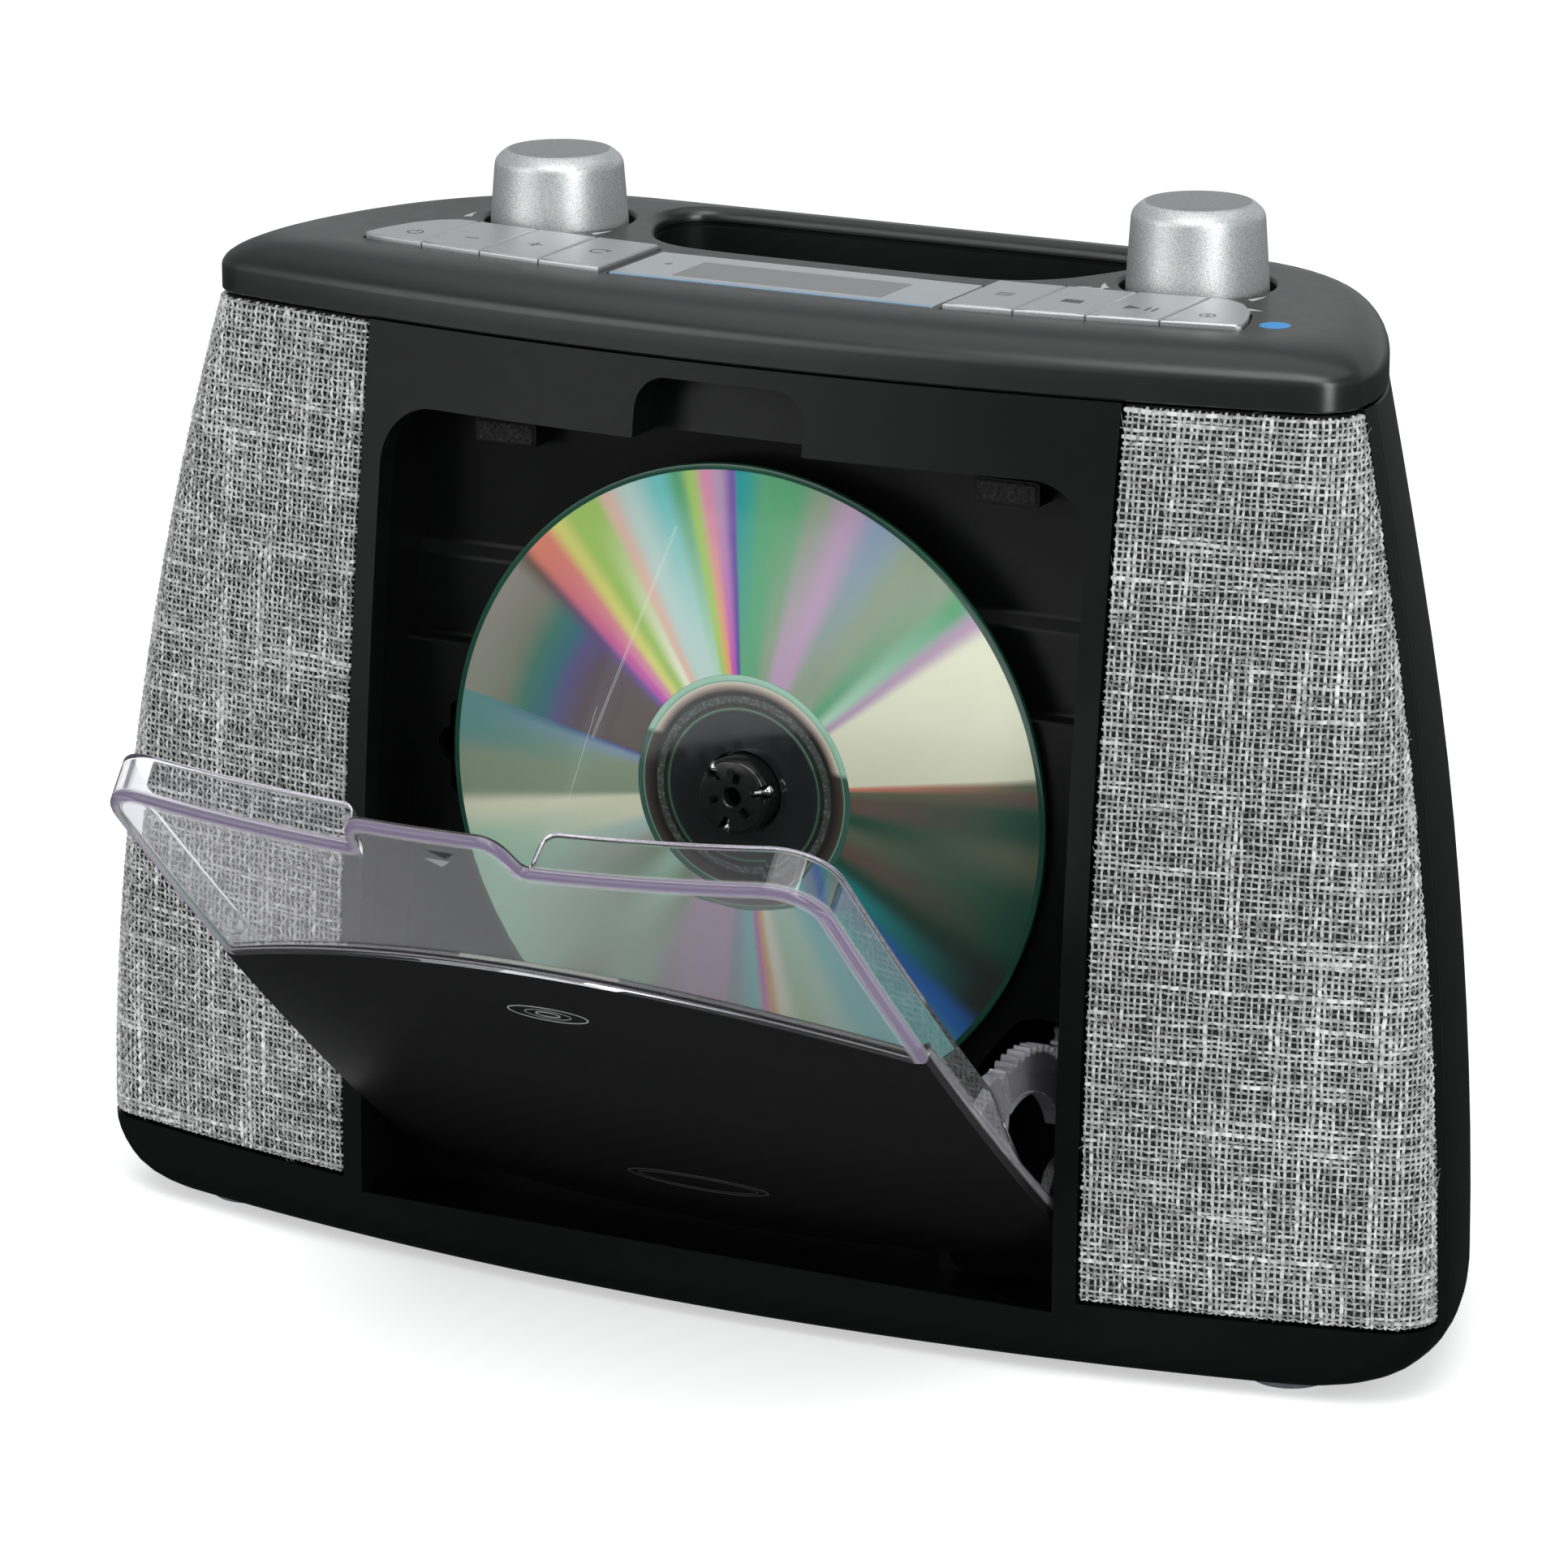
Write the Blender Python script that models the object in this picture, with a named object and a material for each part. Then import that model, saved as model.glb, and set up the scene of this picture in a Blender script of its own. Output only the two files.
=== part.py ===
"""Portable CD player with fold-down front door, built as an assembly of separate pieces.

Lengths in this file are millimetres in a working frame whose x = 0 is the plane of
symmetry, y = 0 is the front face of the disc and z = 0 is the flat of the top cap.
Everything is written out in metres, +Z up, front facing -Y, with the underside of the
feet at z = 0 (see SHIFT_Y and SHIFT_Z).
"""
import math

import bmesh
import bpy
from mathutils import Matrix, Vector

# ----------------------------------------------------------------------------
# driving dimensions (mm, working frame)
# ----------------------------------------------------------------------------
MM = 0.001
SHIFT_Y = 11.576          # puts the origin under the middle of the outer box
SHIFT_Z = 183.6         # puts the underside of the feet at z = 0

GAP = 0.3               # clearance between pieces that touch
DISC_R = 60.0           # standard 120 mm disc
DISC_T = 1.2
DISC_HOLE_R = 7.5
DISC_Z = -89.83         # spindle height below the top plane

# outer form of the cabinet
Z_SEAM = -10.0          # joint between the top cap and the cabinet
Z_GRILLE_END = -169.0   # lower edge of the grilles
Z_BOTTOM = -181.2       # underside of the cabinet
TOP_HALF_W = 113.8
FLARE = 21.6            # how much wider each side is at the bottom
LEAN = 14.9             # how far the face leans back at the top
FACE_Y = -17.2          # face at x = 75, at the bottom
FACE_R = 510.0          # bow of the face in plan
CORNER_R = 9.0
SIDE_STRIP = 4.3        # rigid edge between grille and rear shell
CAP_ROLL_W, CAP_ROLL_H = 13.0, 5.5
BASE_ROLL_W, BASE_ROLL_H = 17.0, 12.2
FRONT_WALL = 5.0
REAR_WALL = 2.5
REAR_TOP_Y, REAR_BULGE = 84.0, 8.0

# front frame
FRAME_X = 75.2          # frame / grille joint
BAY_X = 70.6            # half width of the disc bay opening
BAY_TOP, BAY_BOTTOM = -24.6, -169.2
BAY_CORNER_R = 11.0
NOTCH_TOP = -13.5       # finger notch above the bay
NOTCH_DEPTH = 9.4       # a pocket behind the finger tab
NOTCH_WALL = 1.6

# door, drawn closed and then turned to its open rest position
DOOR_X = 69.3
DOOR_TOP, DOOR_BOTTOM = -26.0, -168.2
SPLIT_MID, SPLIT_DROP = -62.8, 21.0   # arched joint between the clear window and the black fascia
DOOR_TAB_TOP = -17.2
DOOR_T = 2.0
DOOR_RIM = 8.4
DOOR_RIM_END = -124.0
HINGE_Y, HINGE_Z = -10.3, -150.0
OPEN_ANGLE = 52.7       # degrees from closed to the stop

# damper gearing
GEAR_M = 0.8
SECTOR_TEETH = 58       # of a full circle
PINION_TEETH = 12
SECTOR_X = (58.6, 62.0)
PINION_ANGLE = 40.0     # direction from hinge to pinion, degrees

# controls
KNOB_X, KNOB_Y = 65.08, 50.03
KNOB_TOP = {-1: 13.2, 1: 15.1}
BUTTON_X = (34.3, 47.5, 60.7, 74.0, 88.0)
BUTTON_TOP = 1.0
LCD_X, LCD_Y0, LCD_Y1 = 32.45, 9.75, 30.2

SPEAKER_X, SPEAKER_Z, SPEAKER_R = 101.5, -104.0, 22.0
SPEAKER_TILT = 11.3     # degrees in plan

FOOT_X, FOOT_Y0, FOOT_Y1, FOOT_R = 107.4, 3.0, 66.0, 7.6
FOOT_REAR_X = 70.0

# ----------------------------------------------------------------------------
# scene reset and materials
# ----------------------------------------------------------------------------
for _o in list(bpy.data.objects):
    bpy.data.objects.remove(_o, do_unlink=True)
for _m in list(bpy.data.meshes):
    bpy.data.meshes.remove(_m)


def material(name, rgb, rough, metal=0.0, transmission=0.0):
    m = bpy.data.materials.new(name)
    m.use_nodes = True
    b = m.node_tree.nodes["Principled BSDF"]
    b.inputs["Base Color"].default_value = (*rgb, 1.0)
    b.inputs["Roughness"].default_value = rough
    b.inputs["Metallic"].default_value = metal
    b.inputs["Transmission Weight"].default_value = transmission
    m.diffuse_color = (*rgb, 1.0)
    return m


BLACK = material("satin_black_abs", (0.018, 0.019, 0.019), 0.42)
BAY_BLACK = material("bay_black_abs", (0.012, 0.013, 0.013), 0.5)
CLOTH = material("grey_linen_cloth", (0.42, 0.42, 0.42), 0.95)
CLEAR = material("clear_acrylic", (0.9, 0.88, 0.95), 0.05, 0.0, 0.9)
FASCIA = material("gloss_black_fascia", (0.012, 0.012, 0.013), 0.22)
SILVER = material("silver_paint", (0.62, 0.63, 0.63), 0.34, 0.7)
DISC_M = material("disc_silver", (0.7, 0.75, 0.72), 0.12, 0.9)
STEEL = material("steel", (0.6, 0.6, 0.6), 0.25, 1.0)
RUBBER = material("grey_rubber", (0.14, 0.16, 0.18), 0.8)
FOAM = material("dark_foam", (0.05, 0.05, 0.05), 0.95)
LCD_GLASS = material("lcd_window_plastic", (0.6, 0.66, 0.7), 0.12)
LCD_M = material("lcd_module", (0.3, 0.33, 0.34), 0.4)
PCB = material("circuit_board", (0.03, 0.14, 0.06), 0.5)
MAGNET = material("ferrite", (0.05, 0.05, 0.055), 0.6)
CONE = material("paper_cone", (0.06, 0.055, 0.05), 0.9)
GREY = material("grey_pom", (0.5, 0.5, 0.48), 0.45)
LENS = material("pickup_lens", (0.25, 0.3, 0.6), 0.05, 0.0, 0.5)

# ----------------------------------------------------------------------------
# small modelling kit: a "shape" is a bmesh in millimetres
# ----------------------------------------------------------------------------


def shape(verts, faces):
    bm = bmesh.new()
    vs = [bm.verts.new(v) for v in verts]
    for f in faces:
        bm.faces.new([vs[i] for i in f])
    bmesh.ops.recalc_face_normals(bm, faces=bm.faces)
    return bm


def box(x0, x1, y0, y1, z0, z1):
    v = [(x, y, z) for x in (x0, x1) for y in (y0, y1) for z in (z0, z1)]
    f = [(0, 1, 3, 2), (4, 6, 7, 5), (0, 4, 5, 1), (2, 3, 7, 6), (0, 2, 6, 4), (1, 5, 7, 3)]
    return shape(v, f)


def loft(sections):
    """Closed solid through rings of equal length; the end rings are capped."""
    n = len(sections[0])
    verts = [p for s in sections for p in s]
    faces = []
    for k in range(len(sections) - 1):
        a, b = k * n, (k + 1) * n
        for i in range(n):
            j = (i + 1) % n
            faces.append((a + i, a + j, b + j, b + i))
    faces.append(tuple(range(n)))
    last = (len(sections) - 1) * n
    faces.append(tuple(last + i for i in reversed(range(n))))
    return shape(verts, faces)


def prism(outline, axis, a, b):
    """Straight prism: the outline's two coordinates are the other two axes, in order."""
    def at(p, h):
        if axis == "x":
            return (h, p[0], p[1])
        if axis == "y":
            return (p[0], h, p[1])
        return (p[0], p[1], h)
    return loft([[at(p, a) for p in outline], [at(p, b) for p in outline]])


def circle(cx, cy, r, n=32, start=0.0):
    return [(cx + r * math.cos(start + 2 * math.pi * i / n),
             cy + r * math.sin(start + 2 * math.pi * i / n)) for i in range(n)]


def cylinder(axis, c1, c2, r, a, b, n=32):
    return prism(circle(c1, c2, r, n), axis, a, b)


def turned(profile, axis, c1, c2, n=32):
    """Solid of revolution of a closed (radius, height) loop, or of an open one from axis to axis."""
    verts, faces = [], []
    idx = []
    for r, h in profile:
        if r < 1e-9:
            idx.append([len(verts)] * n)
            verts.append((0.0, 0.0, h))
        else:
            idx.append(list(range(len(verts), len(verts) + n)))
            verts += [(r * math.cos(2 * math.pi * i / n), r * math.sin(2 * math.pi * i / n), h)
                      for i in range(n)]
    closed = profile[0][0] > 1e-9 or profile[-1][0] > 1e-9
    m = len(profile)
    for k in range(m if closed else m - 1):
        a, b = idx[k], idx[(k + 1) % m]
        for i in range(n):
            j = (i + 1) % n
            f = []
            for v in (a[i], a[j], b[j], b[i]):
                if v not in f:
                    f.append(v)
            if len(f) >= 3:
                faces.append(tuple(f))
    out = []
    for x, y, h in verts:
        if axis == "x":
            out.append((h, c1 + x, c2 + y))
        elif axis == "y":
            out.append((c1 + x, h, c2 + y))
        else:
            out.append((c1 + x, c2 + y, h))
    return shape(out, faces)


def ball(cx, cy, cz, r, n=12):
    prof = [(r * math.sin(math.pi * k / (n // 2 + 1)), -r * math.cos(math.pi * k / (n // 2 + 1)))
            for k in range(n // 2 + 2)]
    prof[0], prof[-1] = (0.0, -r), (0.0, r)
    bm = turned(prof, "z", 0, 0, n)
    bmesh.ops.translate(bm, verts=bm.verts, vec=(cx, cy, cz))
    return bm


def smooth_loop(points, per=4):
    """Closed Catmull-Rom loop through a few design points."""
    out, n = [], len(points)
    for i in range(n):
        p0, p1, p2, p3 = (Vector(points[(i + k - 1) % n]) for k in range(4))
        for j in range(per):
            t = j / per
            q = 0.5 * (2 * p1 + (p2 - p0) * t + (2 * p0 - 5 * p1 + 4 * p2 - p3) * t * t
                       + (3 * p1 - p0 - 3 * p2 + p3) * t ** 3)
            out.append(tuple(q))
    return out


def rounded(x0, x1, z0, z1, r, seg=5, corners=(1, 1, 1, 1)):
    """Rectangle outline; corners are bottom-left, bottom-right, top-right, top-left."""
    pts = []
    for (cx, cz, a0), on in zip(((x0 + r, z0 + r, 180), (x1 - r, z0 + r, 270),
                                 (x1 - r, z1 - r, 0), (x0 + r, z1 - r, 90)), corners):
        if on:
            for k in range(seg + 1):
                a = math.radians(a0 + 90 * k / seg)
                pts.append((cx + r * math.cos(a), cz + r * math.sin(a)))
        else:
            pts.append((x0 if a0 in (180, 90) else x1, z0 if a0 in (180, 270) else z1))
    return pts


def _temp(bm):
    me = bpy.data.meshes.new("tmp")
    bm.to_mesh(me)
    o = bpy.data.objects.new("tmp", me)
    bpy.context.scene.collection.objects.link(o)
    return o


def combine(base, others, op):
    """Boolean of one shape with a list of shapes, EXACT solver."""
    o = _temp(base)
    for s in others:
        c = _temp(s)
        mod = o.modifiers.new("b", "BOOLEAN")
        mod.operation, mod.solver, mod.object = op, "EXACT", c
        dg = bpy.context.evaluated_depsgraph_get()
        dg.update()
        me = bpy.data.meshes.new_from_object(o.evaluated_get(dg))
        o.modifiers.clear()
        old = o.data
        o.data = me
        bpy.data.meshes.remove(old)
        cm = c.data
        bpy.data.objects.remove(c)
        bpy.data.meshes.remove(cm)
    bm = bmesh.new()
    bm.from_mesh(o.data)
    me = o.data
    bpy.data.objects.remove(o)
    bpy.data.meshes.remove(me)
    bmesh.ops.remove_doubles(bm, verts=bm.verts, dist=0.0005)
    return bm


def cut(base, *others):
    return combine(base, others, "DIFFERENCE")


def join(base, *others):
    return combine(base, others, "UNION")


def common(base, *others):
    return combine(base, others, "INTERSECT")


def piece(name, bm, mat, pivot=(0.0, 0.0, 0.0), turn_x=0.0, smooth=35.0):
    """Named object; pivot (mm, working frame) becomes its origin, turn_x its rest angle."""
    me = bpy.data.meshes.new(name)
    for v in bm.verts:
        v.co = (v.co - Vector(pivot)) * MM
    bmesh.ops.triangulate(bm, faces=[f for f in bm.faces if len(f.verts) > 4])
    bm.to_mesh(me)
    bm.free()
    me.shade_smooth()
    me.set_sharp_from_angle(angle=math.radians(smooth))
    me.materials.append(mat)
    o = bpy.data.objects.new(name, me)
    o.location = ((pivot[0]) * MM, (pivot[1] + SHIFT_Y) * MM, (pivot[2] + SHIFT_Z) * MM)
    o.rotation_euler = (math.radians(turn_x), 0.0, 0.0)
    bpy.context.scene.collection.objects.link(o)
    return o


# ----------------------------------------------------------------------------
# outer form
# ----------------------------------------------------------------------------


def drop(z):
    return min(1.0, max(0.0, (Z_SEAM - z) / (Z_SEAM - Z_GRILLE_END)))


def half_width(z):
    return TOP_HALF_W + FLARE * (1 - (1 - drop(z)) ** 1.85)


def face_y(x, z):
    return FACE_Y + LEAN * (1 - drop(z)) ** 1.8 + (x * x - 75.0 ** 2) / (2 * FACE_R)


def rear_y(z):
    t = min(1.0, max(0.0, (Z_SEAM - z) / 80.0))
    return REAR_TOP_Y + REAR_BULGE * (3 * t * t - 2 * t ** 3)


def rolls(z):
    """Inset of the sides and of the front and rear, from the cap's and the base's rolls."""
    if z > -CAP_ROLL_H:
        u = min(1.0, (z + CAP_ROLL_H) / CAP_ROLL_H)
        d = CAP_ROLL_W * (1 - math.sqrt(max(0.0, 1 - u * u)))
        return d, d
    if z < Z_GRILLE_END:
        u = min(1.0, (Z_GRILLE_END - z) / BASE_ROLL_H)
        dx = BASE_ROLL_W * (1 - math.sqrt(max(0.0, 1 - u * u)))
        v = min(1.0, max(0.0, (-177.2 - z) / 4.0))
        dy = 4.0 * (1 - math.sqrt(max(0.0, 1 - v * v)))
        return dx, dy
    return 0.0, 0.0


def form(z, kind, val, side, inset=0.0):
    """Point of the outer form at height z; inset moves it inward."""
    dx, dy = rolls(z)
    X = half_width(z) - dx - inset
    extra = 0.3 * dx
    rc = max(CORNER_R - inset + extra, 1.5)
    beta = math.asin(min(0.9, (X - rc) / FACE_R))
    xs = X - rc + rc * math.sin(beta)

    def fy(x):
        return face_y(x, z) + dy + inset
    if kind == "f":
        return (side * val, fy(val), z)
    if kind == "g":
        x = FRAME_X + (xs - FRAME_X) * val
        return (side * x, fy(x), z)
    cy = fy(xs) + rc * math.cos(beta)
    if kind == "c":
        a = math.radians(-90) + beta + (math.radians(90) - beta) * val
        return (side * (X - rc + rc * math.cos(a)), cy + rc * math.sin(a), z)
    if kind == "s":
        return (side * X, cy + val, z)
    yb = cy + SIDE_STRIP
    yr = rear_y(z) - dy - inset
    xr = X + inset + dx - 54.0
    if kind == "b":
        p = [Vector((X, yb)), Vector((X - 1, yb + 18)), Vector((xr + 28 - inset, yr)), Vector((xr, yr))]
        t = val
        q = (p[0] * (1 - t) ** 3 + p[1] * 3 * t * (1 - t) ** 2 + p[2] * 3 * t * t * (1 - t) + p[3] * t ** 3)
        return (side * q.x, q.y, z)
    return (side * xr * (1 - val), yr, z)


FRONT_HALF = ([("f", FRAME_X * k / 5) for k in range(5)] + [("g", k / 4) for k in range(5)]
              + [("c", k / 4) for k in range(1, 5)] + [("s", SIDE_STRIP)])
REAR_HALF = [("b", k / 8) for k in range(1, 9)] + [("r", 1.0)]


def both(half, first_shared=True):
    """Left end ... middle ... right end, as (kind, value, side)."""
    left = [(k, v, -1) for k, v in reversed(half)]
    right = [(k, v, 1) for k, v in half]
    return left + (right[1:] if first_shared else right)


def full_ring(z, inset=0.0):
    ids = both(FRONT_HALF)
    rear = [(k, v, 1) for k, v in REAR_HALF] + [(k, v, -1) for k, v in reversed(REAR_HALF[:-1])]
    return [form(z, k, v, s, inset) for k, v, s in ids + rear]


def skin(ids, levels, d0, d1, d1_low=None):
    """Curved wall between insets d0 and d1 along the listed points and heights."""
    secs = []
    for z in levels:
        inner = d1
        if d1_low is not None and z < Z_GRILLE_END:
            t = min(1.0, (Z_GRILLE_END - z) / 5.0)
            inner = d1 + (d1_low - d1) * t
        outer = [form(z, k, v, s, d0) for k, v, s in ids]
        secs.append(outer + [form(z, k, v, s, inner) for k, v, s in reversed(ids)])
    return loft(secs)


LEVELS = [Z_SEAM - GAP, -28, -48, -72, -100, -132, Z_GRILLE_END, -174, -177.5, -180, Z_BOTTOM]

# ----------------------------------------------------------------------------
# top cap, with openings for buttons, display, knobs and the carrying slot
# ----------------------------------------------------------------------------
cap_levels = [Z_SEAM, -7.5, -CAP_ROLL_H, -4.0, -2.7, -1.5, -0.7, -0.2, 0.0]
cap = loft([full_ring(z) for z in cap_levels])
cap_in = loft([full_ring(z, 2.2) for z in (-11.0, -5.5, -4.4, -3.2, -2.5)])
cap = cut(cap, cap_in)


def button_front(x):
    return LCD_Y0 + 0.001131 * (x * x - 34.0 ** 2)


def button_rear(x):
    return 32.2 + 0.00083 * (x * x - 34.0 ** 2)


def button_outline(k, side, grow=0.0):
    x0, x1 = BUTTON_X[k], BUTTON_X[k + 1]
    g = 0.175
    a, b = x0 + g - grow, x1 - g + grow
    if k < 3:
        pts = [(a, button_front(a) - grow), (b, button_front(b) - grow),
               (b, button_rear(b) + grow), (a, button_rear(a) + grow)]
    else:
        b = x1
        pts = [(a, button_front(a) - grow), (b - 1.0 + grow, button_front(b) - 0.2 - grow),
               (b + grow, button_front(b) + 1.0), (b - 1.2 + grow, 23.5), (b - 3.4 + grow, 29.5),
               (b - 6.5 + grow, 33.8 + grow), (b - 10.0, 35.9 + grow), (a, button_rear(a) + grow)]
    return [(side * x, y) for x, y in pts]


def row_outline(side, grow):
    x0, x1 = BUTTON_X[0], BUTTON_X[3]
    xs = [x0 + (x1 - x0) * k / 6 for k in range(7)]
    xs[0] -= grow
    last = button_outline(3, 1, grow)
    pts = [(x, button_front(x) - grow) for x in xs] + last[1:7] + \
          [(x, button_rear(x) + grow) for x in reversed(xs)]
    return [(side * x, y) for x, y in pts]


SLOT = smooth_loop([(0, 37.2), (22, 37.3), (33, 38.6), (40.3, 43.3), (45, 50.3), (48.4, 58), (49.2, 64),
                    (46.8, 68.8), (41, 70.9), (22, 71.2), (0, 71.2), (-22, 71.2), (-41, 70.9),
                    (-46.8, 68.8), (-49.2, 64), (-48.4, 58), (-45, 50.3), (-40.3, 43.3), (-33, 38.6),
                    (-22, 37.3)], 2)


def grown(outline, d):
    """Outline moved outward by d."""
    out, n = [], len(outline)
    area = sum(outline[i][0] * outline[(i + 1) % n][1] - outline[(i + 1) % n][0] * outline[i][1]
               for i in range(n))
    sg = 1 if area > 0 else -1
    for i in range(n):
        p, q = Vector(outline[i - 1]), Vector(outline[(i + 1) % n])
        t = (q - p).normalized()
        out.append((outline[i][0] + sg * t.y * d, outline[i][1] - sg * t.x * d))
    return out


for sd in (-1, 1):
    cap = join(cap, cylinder("z", sd * KNOB_X, KNOB_Y, 16.2, -6.2, -1.8, 32))
for sd in (-1, 1):
    cap = cut(cap, cylinder("z", sd * KNOB_X, KNOB_Y, 13.9, -3.4, 2.0, 32),
              cylinder("z", sd * KNOB_X, KNOB_Y, 3.6, -8.0, 0.0, 16),
              prism(row_outline(sd, 0.35), "z", -7.0, 2.0))
cap = cut(cap, box(-LCD_X - 0.3, LCD_X + 0.3, LCD_Y0 - 0.3, LCD_Y1 + 0.3, -8.0, 2.0))
cap = cut(cap, prism(SLOT, "z", -6.0, 2.0))
piece("top_cap", cap, BLACK)

# carrying slot: a deep finger well behind which the rear edge of the cap is the grip
well = cut(prism(grown(SLOT, 1.7), "z", -36.0, -2.5 - GAP), prism(SLOT, "z", -34.3, 0.0))
piece("handle_well", well, BLACK)

# ----------------------------------------------------------------------------
# cabinet
# ----------------------------------------------------------------------------
front = skin(both(FRONT_HALF), LEVELS, 0.0, FRONT_WALL, REAR_WALL)

grille_ids = {s: [("f", FRAME_X - GAP, s)] + [("g", k / 4, s) for k in range(5)]
              + [("c", k / 4, s) for k in range(1, 5)] + [("s", 0.3, s)] for s in (-1, 1)}
GL = [z for z in LEVELS if Z_GRILLE_END < z < -15]
for sd in (-1, 1):
    front = cut(front, skin(grille_ids[sd], [-8.0, -15.0] + GL[1:] + [Z_GRILLE_END - GAP], -2.0, 3.2))
tilt = {s: Matrix.Rotation(math.radians(s * SPEAKER_TILT), 4, "Z") for s in (-1, 1)}


def speaker_place(bm, s):
    """Turned shapes are drawn about -Y at the origin and moved to the speaker's seat."""
    y = face_y(SPEAKER_X, SPEAKER_Z) + FRONT_WALL + 3.0
    bmesh.ops.transform(bm, verts=bm.verts,
                        matrix=Matrix.Translation((s * SPEAKER_X, y, SPEAKER_Z)) @ tilt[s])
    return bm


for sd in (-1, 1):
    front = cut(front, speaker_place(cylinder("y", 0, 0, 19.5, -14.0, 4.0, 24), sd))

bay = rounded(-BAY_X, BAY_X, BAY_BOTTOM, BAY_TOP, BAY_CORNER_R, 5, (0, 0, 1, 1))
front = cut(front, prism(bay, "y", -45.0, 30.0))
# the sill falls away inward so that the door's lower edge can swing past it
front = cut(front, prism([(-24.5, BAY_BOTTOM + 0.5), (-24.5, BAY_BOTTOM + 0.2), (-12.0, BAY_BOTTOM - 4.2),
                          (-8.0, BAY_BOTTOM - 4.2), (-8.0, BAY_BOTTOM + 0.5)], "x", -BAY_X, BAY_X))
notch = [(-16.9, BAY_TOP - 1.0), (16.9, BAY_TOP - 1.0), (16.9, -19.5), (16.1, -16.5), (13.9, -14.3), (10.9, NOTCH_TOP),
         (-10.9, NOTCH_TOP), (-13.9, -14.3), (-16.1, -16.5), (-16.9, -19.5)]
shroud = [(-18.5, BAY_TOP), (18.5, BAY_TOP), (18.5, -18.9), (15.1, -12.9), (11.4, NOTCH_TOP + NOTCH_WALL),
          (-11.4, NOTCH_TOP + NOTCH_WALL), (-15.1, -12.9), (-18.5, -18.9)]


def notch_slab(d0, d1):
    return loft([[(x, face_y(x, z) + d0, z) for x in (-20, -10, 0, 10, 20)]
                 + [(x, face_y(x, z) + d1, z) for x in (20, 10, 0, -10, -20)]
                 for z in (-27.0, -20.0, -11.0)])


front = join(front, common(prism(shroud, "y", -30.0, 12.0), notch_slab(FRONT_WALL - 1.5, NOTCH_DEPTH + NOTCH_WALL)))
front = cut(front, common(prism(notch, "y", -30.0, 12.0), notch_slab(-3.0, NOTCH_DEPTH)))
for sd in (-1, 1):
    front = cut(front, cylinder("x", HINGE_Y, HINGE_Z, 2.6, sd * 70.0, sd * 73.2, 16))
piece("front_cabinet", front, BLACK)

rear_ids = [("s", SIDE_STRIP + GAP, 1)] + [(k, v, 1) for k, v in REAR_HALF] + \
           [(k, v, -1) for k, v in reversed(REAR_HALF[:-1])] + [("s", SIDE_STRIP + GAP, -1)]
rear = skin(rear_ids, LEVELS, 0.0, REAR_WALL)
BATT_X, BATT_Z0, BATT_Z1 = 50.0, -165.0, -115.0
rear = cut(rear, box(-BATT_X - 0.35, BATT_X + 0.35, 84.0, 96.0, BATT_Z0 - 0.35, BATT_Z1 + 0.35))
rear = cut(rear, cylinder("y", -66.0, -150.0, 3.6, 84.0, 96.0, 20))
piece("rear_cabinet", rear, BLACK)

base_ring = [form(Z_BOTTOM, k, v, s, REAR_WALL + GAP) for k, v, s in both(FRONT_HALF)
             + [(k, v, 1) for k, v in REAR_HALF] + [(k, v, -1) for k, v in reversed(REAR_HALF[:-1])]]
base = loft([[(x, y, Z_BOTTOM) for x, y, z in base_ring], [(x, y, Z_BOTTOM + 2.2) for x, y, z in base_ring]])
piece("base_plate", base, BLACK)

foot_n = 0
for fx, fy in ((-FOOT_X, FOOT_Y0), (FOOT_X, FOOT_Y0), (-FOOT_REAR_X, FOOT_Y1), (FOOT_REAR_X, FOOT_Y1)):
    foot_n += 1
    zb = -SHIFT_Z
    piece("foot_%s" % ("front_left", "front_right", "rear_left", "rear_right")[foot_n - 1],
          turned([(0, zb), (FOOT_R - 1.0, zb), (FOOT_R, zb + 0.8), (FOOT_R, Z_BOTTOM - GAP),
                  (0, Z_BOTTOM - GAP)], "z", fx, fy, 16), RUBBER)

# ----------------------------------------------------------------------------
# grilles: a perforated-frame panel with the cloth stretched over it
# ----------------------------------------------------------------------------
for sd, nm in ((-1, "left"), (1, "right")):
    ids = [("f", FRAME_X, sd)] + [("g", k / 4, sd) for k in range(5)] + [("c", k / 4, sd) for k in range(1, 5)]
    lv = [Z_SEAM - 0.6, -28, -48, -72, -100, -132, Z_GRILLE_END + 0.1]
    panel = skin(ids, lv, 1.2, 2.8)
    panel = cut(panel, speaker_place(cylinder("y", 0, 0, 18.0, -16.0, 4.0, 24), sd))
    piece("grille_panel_" + nm, panel, BLACK)
    piece("grille_cloth_" + nm, skin(ids, lv, 0.0, 0.9), CLOTH)

# ----------------------------------------------------------------------------
# speakers
# ----------------------------------------------------------------------------
for sd, nm in ((-1, "left"), (1, "right")):
    basket = [(SPEAKER_R, 0.0), (SPEAKER_R, 1.2), (19.5, 1.6), (13.0, 12.0), (13.0, 13.5), (7.0, 13.5),
              (7.0, 12.3), (11.8, 12.3), (18.4, 1.2), (18.4, 0.0)]
    piece("speaker_basket_" + nm, speaker_place(turned(basket, "y", 0, 0, 24), sd), STEEL)
    cone = [(17.9, 0.4), (17.9, 1.0), (16.3, 1.4), (6.0, 9.6), (0, 9.6), (0, 9.0), (5.6, 9.0), (16.0, 0.4)]
    cone = [cone[4], cone[3], cone[2], cone[1], cone[0], cone[7], cone[6], cone[5]]
    piece("speaker_cone_" + nm, speaker_place(turned(cone, "y", 0, 0, 24), sd), CONE)
    mag = [(0, 13.9), (15.0, 13.9), (15.0, 22.5), (0, 22.5)]
    piece("speaker_magnet_" + nm, speaker_place(turned(mag, "y", 0, 0, 24), sd), MAGNET)

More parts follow.
